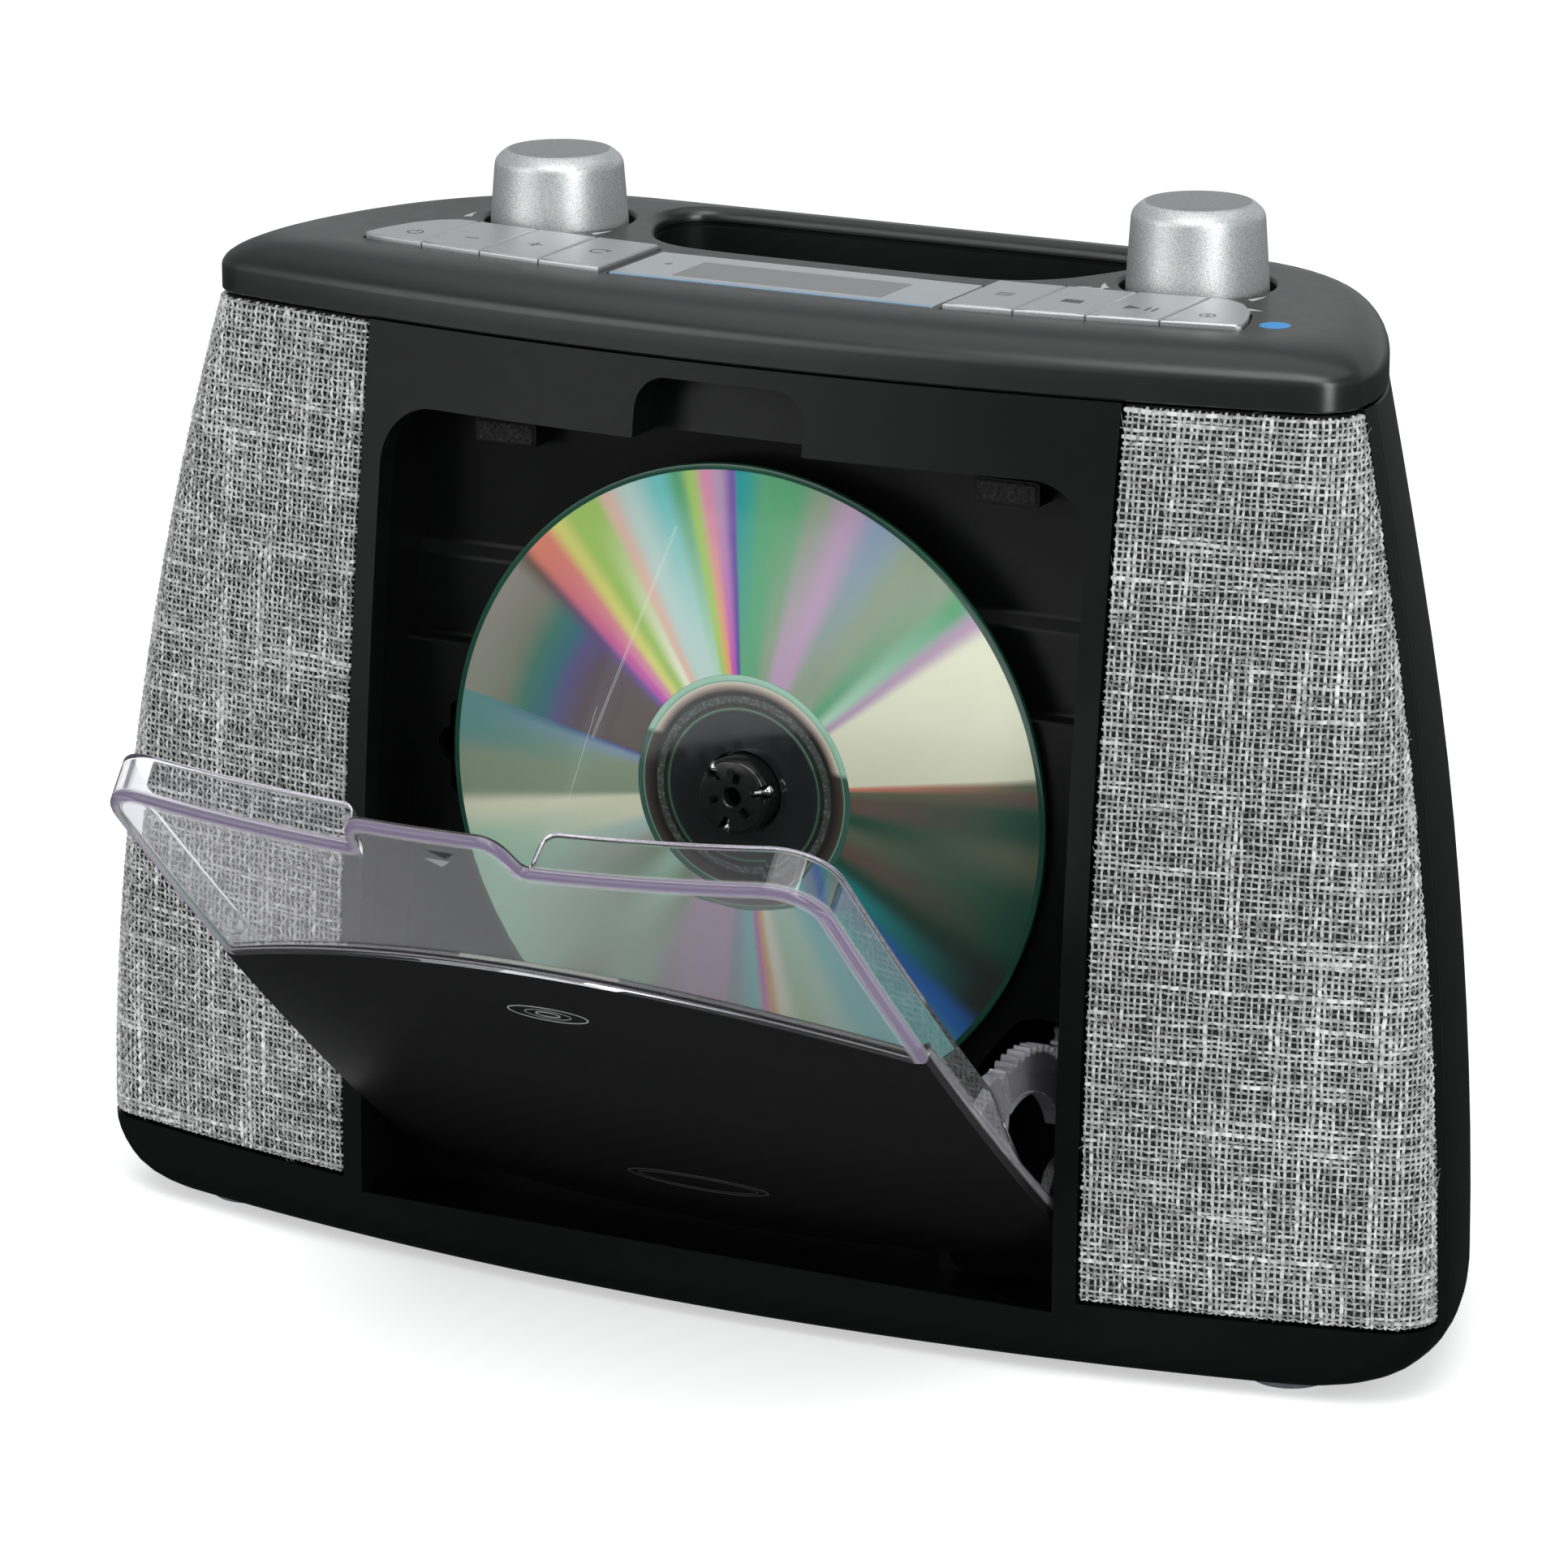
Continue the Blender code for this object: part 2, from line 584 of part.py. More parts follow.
# ----------------------------------------------------------------------------
# disc bay (deck moulding)
# ----------------------------------------------------------------------------
WX0, WX1 = BAY_X + GAP, BAY_X + GAP + 2.0
prof = [(9.0, -22.3), (9.0, -52.7), (7.0, -55.2), (7.0, -70.0), (2.2, -70.0), (2.2, -151.5), (9.8, -151.5),
        (9.8, -174.4), (-11.0, -174.4), (-11.0, -176.6), (12.0, -176.6), (12.0, -149.3), (4.5, -149.3),
        (4.5, -72.2), (9.3, -72.2), (9.3, -56.0), (11.2, -53.5), (11.2, -22.3)]
deck = prism(prof, "x", -WX1, WX1)
for sd in (-1, 1):
    side = [(face_y(72.0, z) + FRONT_WALL + 0.5, z) for z in (-22.3, -35, -50, -70, -95, -120, -150, -169, -176.6)]
    side += [(11.9, -176.6), (11.9, -149.4), (10.8, -140.0), (10.8, -22.3)]
    deck = join(deck, prism(side, "x", sd * WX0, sd * WX1))
roof = [(x, face_y(x, -23.5) + FRONT_WALL + 0.5) for x in (-WX1, -48, -24, 0, 24, 48, WX1)] + [(WX1, 11.0), (-WX1, 11.0)]
deck = join(deck, prism(roof, "z", -24.3, -22.2))
deck = cut(deck, box(-19.2, 19.2, -20.0, 4.2, -25.0, -21.0))
# pocket for the gear sector, lower right
pocket_edge = [(WX0, -124.8), (56.0, -124.8), (53.6, -125.6), (51.8, -127.3), (45.4, -136.2), (40.5, -146.0),
               (40.5, -174.4), (WX0, -174.4)]
pocket_out = [(WX1, -122.9), (55.4, -122.9), (52.4, -123.9), (50.2, -126.2), (43.7, -135.2), (38.6, -145.5),
              (38.6, -176.6), (WX1, -176.6)]
deck = join(deck, prism(pocket_out, "y", 2.2, 21.2))
deck = cut(deck, prism(pocket_edge, "y", -1.0, 19.4))
deck = cut(deck, cylinder("y", 0, DISC_Z, 18.6, -2.0, 8.0, 32),
           box(-62.0, -21.0, -2.0, 8.0, DISC_Z - 9.0, DISC_Z + 9.0),
           cylinder("y", -61.2, DISC_Z + 0.5, 3.4, -2.0, 8.0, 16))
for sd in (-1, 1):
    deck = cut(deck, cylinder("x", HINGE_Y, HINGE_Z, 2.6, sd * 70.0, sd * 74.0, 16))
piece("cd_deck", deck, BAY_BLACK)

for sd, nm in ((-1, "left"), (1, "right")):
    piece("deck_pad_" + nm, prism(rounded(min(sd * 44.0, sd * 56.8), max(sd * 44.0, sd * 56.8), -32.2, -27.6, 0.8, 3),
                                  "y", 3.0, 8.7), FOAM)

# ----------------------------------------------------------------------------
# door: drawn closed, turned about the hinge to its open rest position
# ----------------------------------------------------------------------------
HINGE = (0.0, HINGE_Y, HINGE_Z)
DX = [-72, -60, -48, -36, -24, -12, 0, 12, 24, 36, 48, 60, 72]


def door_slab(z_list, d0, d1):
    return loft([[(x, face_y(x, z) + d0, z) for x in DX] + [(x, face_y(x, z) + d1, z) for x in reversed(DX)]
                 for z in z_list])


def door_outline(grow=0.0, tab=True):
    x, zt, zb, r = DOOR_X + grow, DOOR_TOP + grow, DOOR_BOTTOM - grow, 10.0 + grow
    pts = [(-x, zb), (x, zb)]
    for k in range(6):
        a = math.radians(90 * k / 5)
        pts.append((x - r + r * math.cos(a), zt - r + r * math.sin(a)))
    if tab:
        w = 16.3
        ztt = DOOR_TAB_TOP
        pts += [(w + 1.0, zt), (w, zt + 0.8), (w - 0.4, zt + 3.5), (w - 2.0, ztt - 1.8), (w - 4.6, ztt),
                (-w + 4.6, ztt), (-w + 2.0, ztt - 1.8), (-w + 0.4, zt + 3.5), (-w, zt + 0.8), (-w - 1.0, zt)]
    for k in range(6):
        a = math.radians(90 + 90 * k / 5)
        pts.append((-x + r + r * math.cos(a), zt - r + r * math.sin(a)))
    return pts




def split_z(x):
    return SPLIT_MID - SPLIT_DROP * (x / DOOR_X) ** 2


def above_split(d0, d1=None):
    """Cutter along Y between the arch raised by d0 and the arch raised by d1 (or far above)."""
    xs = [-75 + 150 * k / 24 for k in range(25)]
    low = [(x, split_z(x) + d0) for x in xs]
    top = [(x, 5.0 if d1 is None else split_z(x) + d1) for x in reversed(xs)]
    return prism(low + (top if d1 is not None else [(75, 5.0), (-75, 5.0)]), "y", -45, 30)


def below_split(d):
    xs = [75 - 150 * k / 24 for k in range(25)]
    return prism([(-75, -175.0), (75, -175.0)] + [(x, split_z(x) + d) for x in xs], "y", -45, 30)


zu = [-90, -84, -76, -64, -52, -40, -30, -22, -15]
upper = common(door_slab(zu, 0.0, DOOR_T), prism(door_outline(), "y", -40, 20))
zl = [DOOR_BOTTOM, -155, -140, -120, -100, -84, -72, -60]
lower = common(common(door_slab(zl, 1.9, 3.7), prism(door_outline(tab=False), "y", -40, 20)), below_split(0.8))
# remove the front lip of the upper sheet below the split, so the fascia sits flush
upper = common(upper, above_split(0.0))
shelf = common(common(door_slab([-90, -84, -76, -68, -60], 0.5, 3.7), prism(door_outline(tab=False), "y", -40, 20)),
               above_split(0.0, 1.6))
rim = join(door_slab([-81.5, -76, -64, -52, -40, -30, -20], 0.6, DOOR_RIM),
           door_slab([-130, -110, -95, -80.5], 1.95, DOOR_RIM - 0.1))
rim = common(rim, prism(door_outline(tab=False), "y", -40, 20))
inner = [(x, z) for x, z in door_outline(-1.8, tab=False)]
rim = cut(rim, prism(inner, "y", -40, 20))
rim = cut(rim, box(-75, 75, -40, 30, -140, DOOR_RIM_END),
          box(-15.9, 15.9, -40, 30, -45, 0))
door = join(upper, lower)
door = join(door, shelf)
door = join(door, rim)
# hinge ears with moulded trunnions
for sd in (-1, 1):
    xa, xb = (sd * 66.9, sd * 69.0)
    ear = join(cylinder("x", HINGE_Y, HINGE_Z, 4.4, min(xa, xb), max(xa, xb), 20),
               box(min(xa, xb), max(xa, xb), -14.4, HINGE_Y, HINGE_Z - 4.4, HINGE_Z + 4.4))
    ear = join(ear, cylinder("x", HINGE_Y, HINGE_Z, 2.2, sd * 68.0, sd * 72.3, 16))
    door = join(door, ear)

SECTOR_R = SECTOR_TEETH * GEAR_M / 2
PINION_R = PINION_TEETH * GEAR_M / 2
A0, A1 = math.radians(-32.0), math.radians(55.0)     # toothed span when closed
STEP = 2 * math.pi / SECTOR_TEETH
PIN_A = math.radians(PINION_ANGLE)


def tooth(r_pitch, centre, angle, half_pitch_w, add, ded):
    """Four corners of one straight-flanked tooth."""
    out = []
    for r, w in ((r_pitch - ded, half_pitch_w * 1.45), (r_pitch + add, half_pitch_w * 0.55)):
        a = w / r
        out.append((r, angle - a))
        out.append((r, angle + a))
    (r0, a0), (_, a1), (r1, b0), (_, b1) = out
    return [(centre[0] + r * math.cos(t), centre[1] + r * math.sin(t))
            for r, t in ((r0, a0), (r1, b0), (r1, b1), (r0, a1))]


def sector_outline():
    """Closed-position outline: teeth outside, plain arc inside."""
    c = (HINGE_Y, HINGE_Z)
    # a tooth space of the open door faces the pinion
    open_a = math.radians(OPEN_ANGLE)
    first = PIN_A - open_a + STEP / 2
    k0 = math.ceil((A0 - first) / STEP)
    k1 = math.floor((A1 - first) / STEP)
    pts = []
    for k in range(k0, k1 + 1):
        pts += tooth(SECTOR_R, c, first + k * STEP, 0.50, 0.55, 0.8)
    ri = 15.2
    top = math.radians(63.0)
    pts.append((c[0] + (SECTOR_R + 0.5) * math.cos(A1 + 0.05), c[1] + (SECTOR_R + 0.5) * math.sin(A1 + 0.05)))
    pts.append((c[0] + (SECTOR_R + 0.5) * math.cos(top), c[1] + (SECTOR_R + 0.5) * math.sin(top)))
    for k in range(13):
        a = top + (first + k0 * STEP - 0.06 - top) * k / 12
        pts.append((c[0] + ri * math.cos(a), c[1] + ri * math.sin(a)))
    return pts


sector = prism(sector_outline(), "x", SECTOR_X[0], SECTOR_X[1])
web = prism([(-14.0, -141.0), (-14.0, -119.5), (-5.0, -124.0), (0.6, -127.2), (2.2, -131.0), (-2.2, -136.4),
             (-7.5, -139.0)], "x", SECTOR_X[0] + 0.3, SECTOR_X[1] - 0.3)
door = join(door, join(sector, web))
piece("door_window", door, CLEAR, HINGE, OPEN_ANGLE)

fascia = common(common(door_slab([DOOR_BOTTOM, -155, -140, -120, -100, -84, -72, -60], 0.0, 1.6),
                       prism(door_outline(tab=False), "y", -40, 20)), below_split(-GAP))
piece("door_fascia", fascia, FASCIA, HINGE, OPEN_ANGLE)

# damper: a small gear on a sealed viscous damper, meshed with the door's sector
pc = (HINGE_Y + (SECTOR_R + PINION_R + 0.1) * math.cos(PIN_A), HINGE_Z + (SECTOR_R + PINION_R + 0.1) * math.sin(PIN_A))


def pinion_outline():
    pts = []
    st = 2 * math.pi / PINION_TEETH
    for k in range(PINION_TEETH):
        pts += tooth(PINION_R, pc, PIN_A + math.pi + k * st, 0.46, 0.5, 0.9)
    return pts


pin = join(prism(pinion_outline(), "x", SECTOR_X[0] - 0.2, SECTOR_X[1] + 0.2),
           cylinder("x", pc[0], pc[1], 1.3, SECTOR_X[1], 65.5, 12))
piece("damper_pinion", pin, GREY, (0.0, pc[0], pc[1]))
piece("damper_body", cut(cylinder("x", pc[0], pc[1], 6.3, 62.8, 70.5, 24),
                         cylinder("x", pc[0], pc[1], 1.7, 60.0, 66.2, 12)), BAY_BLACK)

# ----------------------------------------------------------------------------
# disc, turntable and hub
# ----------------------------------------------------------------------------
SPIN = (0.0, 0.0, DISC_Z)
piece("compact_disc", turned([(DISC_HOLE_R, 0.0), (DISC_R, 0.0), (DISC_R, DISC_T), (DISC_HOLE_R, DISC_T)],
                             "y", 0, DISC_Z, 56), DISC_M, SPIN)
BALL_R, BALL_AT, BALL_Y = 1.05, 6.45, -2.3
hub = turned([(1.7, -2.6), (7.15, -2.6), (7.15, -2.0), (7.15, 1.5), (17.5, 1.5), (17.5, 3.6), (4.0, 3.6), (3.0, 4.2),
              (3.0, 7.6), (1.0, 7.6), (1.0, 12.0), (0.0, 12.0), (0.0, 0.5), (1.7, 0.5)][::-1], "y", 0, DISC_Z, 28)
BALLS = [math.radians(a) for a in (134.0, 14.0, 254.0)]
cap_hub = turned([(1.7, -2.4), (1.7, -4.6), (6.5, -4.6), (7.1, -4.0), (7.1, -2.4)], "y", 0, DISC_Z, 28)
for a in BALLS:
    q = a + math.radians(60)
    slot_o = [(3.0, -0.7), (5.4, -0.7), (5.4, 0.7), (3.0, 0.7)]
    slot_o = [(x * math.cos(q) - z * math.sin(q), DISC_Z + x * math.sin(q) + z * math.cos(q)) for x, z in slot_o]
    cap_hub = cut(cap_hub, prism(slot_o, "y", -5.5, -3.2))
hub = join(hub, cap_hub)
for a in BALLS:
    hub = cut(hub, ball(BALL_AT * math.cos(a), BALL_Y, DISC_Z + BALL_AT * math.sin(a), BALL_R + 0.3, 10))
piece("turntable", hub, BAY_BLACK, SPIN)
for i, a in enumerate(BALLS):
    piece("clamp_ball_%d" % (i + 1), ball(BALL_AT * math.cos(a), BALL_Y, DISC_Z + BALL_AT * math.sin(a), BALL_R, 8),
          STEEL, SPIN)
# ----------------------------------------------------------------------------
# disc mechanism behind the deck
# ----------------------------------------------------------------------------
ZC = DISC_Z
plate = box(-70.4, 26.0, 6.0, 7.4, ZC - 28.0, ZC + 16.9)
plate = cut(plate, cylinder("y", 0, ZC, 5.0, 0, 12, 20), box(-68.6, -12.5, 0, 12, ZC - 17.0, ZC + 17.0))
for z in (ZC - 13.0, ZC + 13.0):
    plate = join(plate, box(-70.4, -68.8, 6.4, 14.0, z - 2.8, z + 2.8), box(13.0, 15.0, 6.4, 14.0, z - 2.8, z + 2.8))
    plate = cut(plate, cylinder("x", 11.0, z, 1.8, -74.0, 18.0, 12))
plate = cut(plate, cylinder("y", -30.0, ZC - 23.3, 3.0, 0, 12, 16))
piece("mechanism_plate", plate, STEEL)
for nm, z in (("guide_rod_lower", ZC - 13.0), ("guide_rod_upper", ZC + 13.0)):
    piece(nm, cylinder("x", 11.0, z, 1.5, -70.3, 14.9, 16), STEEL)
piece("spindle_motor", cut(cylinder("y", 0, ZC, 10.8, 8.0, 20.0, 28), cylinder("y", 0, ZC, 1.4, 7.0, 12.6, 12)), STEEL)

RACK_M = 0.8
RACK_P = math.pi * RACK_M
GEAR_TEETH = 14
GEAR_R = GEAR_TEETH * RACK_M / 2
RACK_Z = ZC - 17.6            # pitch line of the rack
SLED_X = -25.0
GEAR_X = -30.0
sled = cut(box(SLED_X - 11.0, SLED_X + 11.0, 8.4, 15.5, ZC - 16.0, ZC + 16.0),
           cylinder("x", 11.0, ZC - 13.0, 1.8, -60, 0, 12), cylinder("x", 11.0, ZC + 13.0, 1.8, -60, 0, 12),
           cylinder("y", SLED_X, ZC, 4.3, 5.0, 11.0, 20))
RACK_ENDS = (SLED_X - 9.0, SLED_X + 30.0)
rack = [(RACK_ENDS[1], ZC - 15.2), (RACK_ENDS[1], RACK_Z + 0.8)]
n_t = 14
for k in range(n_t, -n_t - 1, -1):
    x = GEAR_X + (k + 0.5) * RACK_P
    if RACK_ENDS[0] + 0.9 < x < RACK_ENDS[1] - 0.9:
        rack += [(x + 0.73, RACK_Z + 0.8), (x + 0.28, RACK_Z - 0.5), (x - 0.28, RACK_Z - 0.5), (x - 0.73, RACK_Z + 0.8)]
rack += [(RACK_ENDS[0], RACK_Z + 0.8), (RACK_ENDS[0], ZC - 15.2)]
sled = join(sled, prism(rack, "y", 9.4, 13.0))
piece("pickup_sled", sled, BAY_BLACK)
piece("pickup_lens", turned([(0, 6.9), (2.6, 7.2), (3.9, 8.2), (3.9, 10.6), (0, 10.6)], "y", SLED_X, ZC, 20), LENS)
gc = (GEAR_X, RACK_Z - GEAR_R - 0.1)
gear_pts = []
for k in range(GEAR_TEETH):
    gear_pts += tooth(GEAR_R, gc, math.pi / 2 + k * 2 * math.pi / GEAR_TEETH, 0.46, 0.5, 0.9)
gear = join(prism(gear_pts, "y", 9.6, 12.8), cylinder("y", gc[0], gc[1], 1.0, 12.0, 18.5, 12))
piece("sled_gear", gear, GREY, (gc[0], 0.0, gc[1]))
piece("sled_motor", cut(cylinder("y", gc[0], gc[1], 8.0, 15.9, 28.0, 20), cylinder("y", gc[0], gc[1], 1.4, 13.0, 19.0, 12)),
      STEEL)

# ----------------------------------------------------------------------------
# controls on the cap
# ----------------------------------------------------------------------------
for sd, nm in ((-1, "volume"), (1, "tuning")):
    zt = KNOB_TOP[sd]
    prof_k = [(2.9, -2.9), (12.6, -2.9), (12.95, -2.4), (12.55, 4.0), (12.0, zt - 3.0), (11.75, zt - 1.7), (10.9, zt - 0.5), (9.9, zt - 0.1),
              (9.0, zt), (0, zt + 0.05), (0, 8.4), (2.9, 8.4)]
    prof_k = prof_k[9:] + prof_k[:9]
    prof_k = prof_k[::-1]
    # start and end on the axis
    while prof_k[0][0] > 1e-9:
        prof_k = prof_k[1:] + prof_k[:1]
    if prof_k[-1][0] > 1e-9 and prof_k[1][0] < 1e-9:
        prof_k = prof_k[1:] + prof_k[:1]
    piece(nm + "_knob", turned(prof_k, "z", sd * KNOB_X, KNOB_Y, 28), SILVER, (sd * KNOB_X, KNOB_Y, 0.0))
    piece(nm + "_shaft", cylinder("z", sd * KNOB_X, KNOB_Y, 2.6, -12.2, 8.1, 16), STEEL, (sd * KNOB_X, KNOB_Y, 0.0))
    px, py = sd * KNOB_X, KNOB_Y
    piece(nm + "_control", cut(join(box(px - 8.5, px + 8.5, py - 8.5, py + 8.5, -14.5, -6.6),
                                    cylinder("z", px, py, 3.4, -8.0, -4.6, 16)),
                               cylinder("z", px, py, 2.95, -12.5, 0.0, 16)), STEEL)

BUTTON_NAMES = {-1: ("repeat_button", "random_button", "memory_button", "power_button"),
                1: ("program_button", "stop_button", "play_button", "source_button")}
for sd in (-1, 1):
    for k in range(4):
        o = button_outline(k, sd)
        o2 = grown(o, -0.45)
        secs = [[(x, y, -3.3) for x, y in o], [(x, y, BUTTON_TOP - 0.4) for x, y in o],
                [(x, y, BUTTON_TOP) for x, y in o2]]
        cx = sum(p[0] for p in o) / len(o)
        cy = sum(p[1] for p in o) / len(o)
        piece(BUTTON_NAMES[sd][k], loft(secs), SILVER, (cx, cy, 0.0))

piece("lcd_window", box(-LCD_X, LCD_X, LCD_Y0, LCD_Y1, -1.5, 0.15), LCD_GLASS)
piece("lcd_module", box(-27.0, 27.0, LCD_Y0 + 1.2, LCD_Y1 - 1.4, -6.4, -1.9), LCD_M)
board = box(-89.0, 89.0, 19.5, 32.0, -9.0, -7.6)
for sd in (-1, 1):
    for k in range(4):
        xm = sd * (BUTTON_X[k] + BUTTON_X[k + 1]) / 2
        board = join(board, box(xm - 3, xm + 3, 21.5, 27.5, -8.2, -4.6))
piece("key_board", board, PCB)
piece("main_board", cut(box(-62.0, 62.0, 31.0, 32.6, -160.0, -48.0), cylinder("y", -55, -55, 1.6, 28, 36, 12),
                        cylinder("y", 55, -55, 1.6, 28, 36, 12)), PCB)

# ----------------------------------------------------------------------------
# rear: battery compartment and sockets
# ----------------------------------------------------------------------------
YR = REAR_TOP_Y + REAR_BULGE
cover = box(-BATT_X, BATT_X, YR - 2.5, YR, BATT_Z0, BATT_Z1)
cover = cut(cover, box(-12.0, 12.0, YR - 1.2, YR + 2, BATT_Z1 - 6.0, BATT_Z1 - 2.5))
piece("battery_cover", cover, BLACK, (0.0, YR, BATT_Z0))
tray = cut(box(-52.5, 52.5, 58.0, YR - 2.8, BATT_Z0 - 2.5, BATT_Z1 + 2.5),
           box(-50.5, 50.5, 60.0, YR + 5.0, BATT_Z0 - 0.6, BATT_Z1 + 0.6))
piece("battery_tray", tray, BAY_BLACK)
xj = -66.0
jack = join(box(xj - 5.5, xj + 5.5, YR - 14.0, YR - 2.8, -155.0, -145.0),
            cylinder("y", xj, -150.0, 3.2, YR - 5.0, YR - 0.4, 20))
jack = cut(jack, cylinder("y", xj, -150.0, 2.0, YR - 12.0, YR + 2.0, 16))
piece("dc_socket", jack, BAY_BLACK)
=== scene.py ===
"""Looks of the portable CD player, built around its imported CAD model."""
import math

import bmesh
import bpy
import numpy as np
from mathutils import Matrix, Vector


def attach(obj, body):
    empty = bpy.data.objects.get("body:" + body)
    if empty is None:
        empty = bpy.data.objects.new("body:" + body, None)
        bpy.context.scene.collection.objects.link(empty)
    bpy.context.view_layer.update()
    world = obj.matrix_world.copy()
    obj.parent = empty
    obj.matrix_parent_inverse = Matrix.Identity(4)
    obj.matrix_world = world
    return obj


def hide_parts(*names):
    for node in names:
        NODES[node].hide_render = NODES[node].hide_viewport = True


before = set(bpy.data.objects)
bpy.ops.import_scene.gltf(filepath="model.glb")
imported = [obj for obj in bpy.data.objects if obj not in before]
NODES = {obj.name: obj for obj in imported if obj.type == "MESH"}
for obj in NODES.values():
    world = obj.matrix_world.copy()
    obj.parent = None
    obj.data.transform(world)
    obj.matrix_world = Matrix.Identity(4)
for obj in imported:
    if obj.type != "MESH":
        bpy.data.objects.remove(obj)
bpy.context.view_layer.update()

MM = 0.001
SHIFT_Y, SHIFT_Z = 11.576, 183.6

GAP = 0.3
DISC_R, DISC_T, DISC_HOLE_R, DISC_Z = 60.0, 1.2, 7.5, -89.83
Z_SEAM, Z_GRILLE_END, Z_BOTTOM = -10.0, -169.0, -181.2
TOP_HALF_W, FLARE, LEAN, FACE_Y, FACE_R = 113.8, 21.6, 14.9, -17.2, 510.0
CORNER_R, SIDE_STRIP = 9.0, 4.3
CAP_ROLL_W, CAP_ROLL_H = 13.0, 5.5
BASE_ROLL_W, BASE_ROLL_H = 17.0, 12.2
FRONT_WALL, REAR_WALL = 5.0, 2.5
REAR_TOP_Y, REAR_BULGE = 84.0, 8.0
FRAME_X, BAY_X = 75.2, 70.6
BAY_TOP, BAY_BOTTOM, BAY_CORNER_R = -24.6, -169.2, 11.0
NOTCH_TOP, NOTCH_DEPTH, NOTCH_WALL = -13.5, 9.4, 1.6
DOOR_X, DOOR_TOP, DOOR_BOTTOM = 69.3, -26.0, -168.2
SPLIT_MID, SPLIT_DROP = -62.8, 21.0
DOOR_TAB_TOP, DOOR_T, DOOR_RIM, DOOR_RIM_END = -17.2, 2.0, 8.4, -124.0
HINGE_Y, HINGE_Z, OPEN_ANGLE = -10.3, -150.0, 52.7
GEAR_M, SECTOR_TEETH, PINION_TEETH = 0.8, 58, 12
SECTOR_X, PINION_ANGLE = (58.6, 62.0), 40.0
KNOB_X, KNOB_Y, KNOB_TOP = 65.08, 50.03, {-1: 13.2, 1: 15.1}
BUTTON_X, BUTTON_TOP = (34.3, 47.5, 60.7, 74.0, 88.0), 1.0
LCD_X, LCD_Y0, LCD_Y1 = 32.45, 9.75, 30.2
YR = REAR_TOP_Y + REAR_BULGE

# ----------------------------------------------------------------------------
# mesh helpers, in millimetres of the working frame (x = 0 symmetry, y = 0 disc
# front, z = 0 top plane)
# ----------------------------------------------------------------------------


def shape(verts, faces):
    bm = bmesh.new()
    vs = [bm.verts.new(v) for v in verts]
    for f in faces:
        bm.faces.new([vs[i] for i in f])
    bmesh.ops.recalc_face_normals(bm, faces=bm.faces)
    return bm


def box(x0, x1, y0, y1, z0, z1):
    v = [(x, y, z) for x in (x0, x1) for y in (y0, y1) for z in (z0, z1)]
    f = [(0, 1, 3, 2), (4, 6, 7, 5), (0, 4, 5, 1), (2, 3, 7, 6), (0, 2, 6, 4), (1, 5, 7, 3)]
    return shape(v, f)


def loft(sections):
    n = len(sections[0])
    verts = [p for s in sections for p in s]
    faces = []
    for k in range(len(sections) - 1):
        a, b = k * n, (k + 1) * n
        for i in range(n):
            j = (i + 1) % n
            faces.append((a + i, a + j, b + j, b + i))
    faces.append(tuple(range(n)))
    last = (len(sections) - 1) * n
    faces.append(tuple(last + i for i in reversed(range(n))))
    return shape(verts, faces)


def prism(outline, axis, a, b):
    def at(p, h):
        if axis == "x":
            return (h, p[0], p[1])
        if axis == "y":
            return (p[0], h, p[1])
        return (p[0], p[1], h)
    return loft([[at(p, a) for p in outline], [at(p, b) for p in outline]])


def circle(cx, cy, r, n=32, start=0.0):
    return [(cx + r * math.cos(start + 2 * math.pi * i / n),
             cy + r * math.sin(start + 2 * math.pi * i / n)) for i in range(n)]


def cylinder(axis, c1, c2, r, a, b, n=48):
    return prism(circle(c1, c2, r, n), axis, a, b)


def turned(profile, axis, c1, c2, n=64):
    verts, faces, idx = [], [], []
    for r, h in profile:
        if r < 1e-9:
            idx.append([len(verts)] * n)
            verts.append((0.0, 0.0, h))
        else:
            idx.append(list(range(len(verts), len(verts) + n)))
            verts += [(r * math.cos(2 * math.pi * i / n), r * math.sin(2 * math.pi * i / n), h)
                      for i in range(n)]
    closed = profile[0][0] > 1e-9 or profile[-1][0] > 1e-9
    m = len(profile)
    for k in range(m if closed else m - 1):
        a, b = idx[k], idx[(k + 1) % m]
        for i in range(n):
            j = (i + 1) % n
            f = []
            for v in (a[i], a[j], b[j], b[i]):
                if v not in f:
                    f.append(v)
            if len(f) >= 3:
                faces.append(tuple(f))
    out = []
    for x, y, h in verts:
        out.append((h, c1 + x, c2 + y) if axis == "x" else
                   (c1 + x, h, c2 + y) if axis == "y" else (c1 + x, c2 + y, h))
    return shape(out, faces)


def smooth_loop(points, per=4):
    out, n = [], len(points)
    for i in range(n):
        p0, p1, p2, p3 = (Vector(points[(i + k - 1) % n]) for k in range(4))
        for j in range(per):
            t = j / per
            q = 0.5 * (2 * p1 + (p2 - p0) * t + (2 * p0 - 5 * p1 + 4 * p2 - p3) * t * t
                       + (3 * p1 - p0 - 3 * p2 + p3) * t ** 3)
            out.append(tuple(q))
    return out


def rounded(x0, x1, z0, z1, r, seg=8, corners=(1, 1, 1, 1)):
    pts = []
    for (cx, cz, a0), on in zip(((x0 + r, z0 + r, 180), (x1 - r, z0 + r, 270),
                                 (x1 - r, z1 - r, 0), (x0 + r, z1 - r, 90)), corners):
        if on:
            for k in range(seg + 1):
                a = math.radians(a0 + 90 * k / seg)
                pts.append((cx + r * math.cos(a), cz + r * math.sin(a)))
        else:
            pts.append((x0 if a0 in (180, 90) else x1, z0 if a0 in (180, 270) else z1))
    return pts


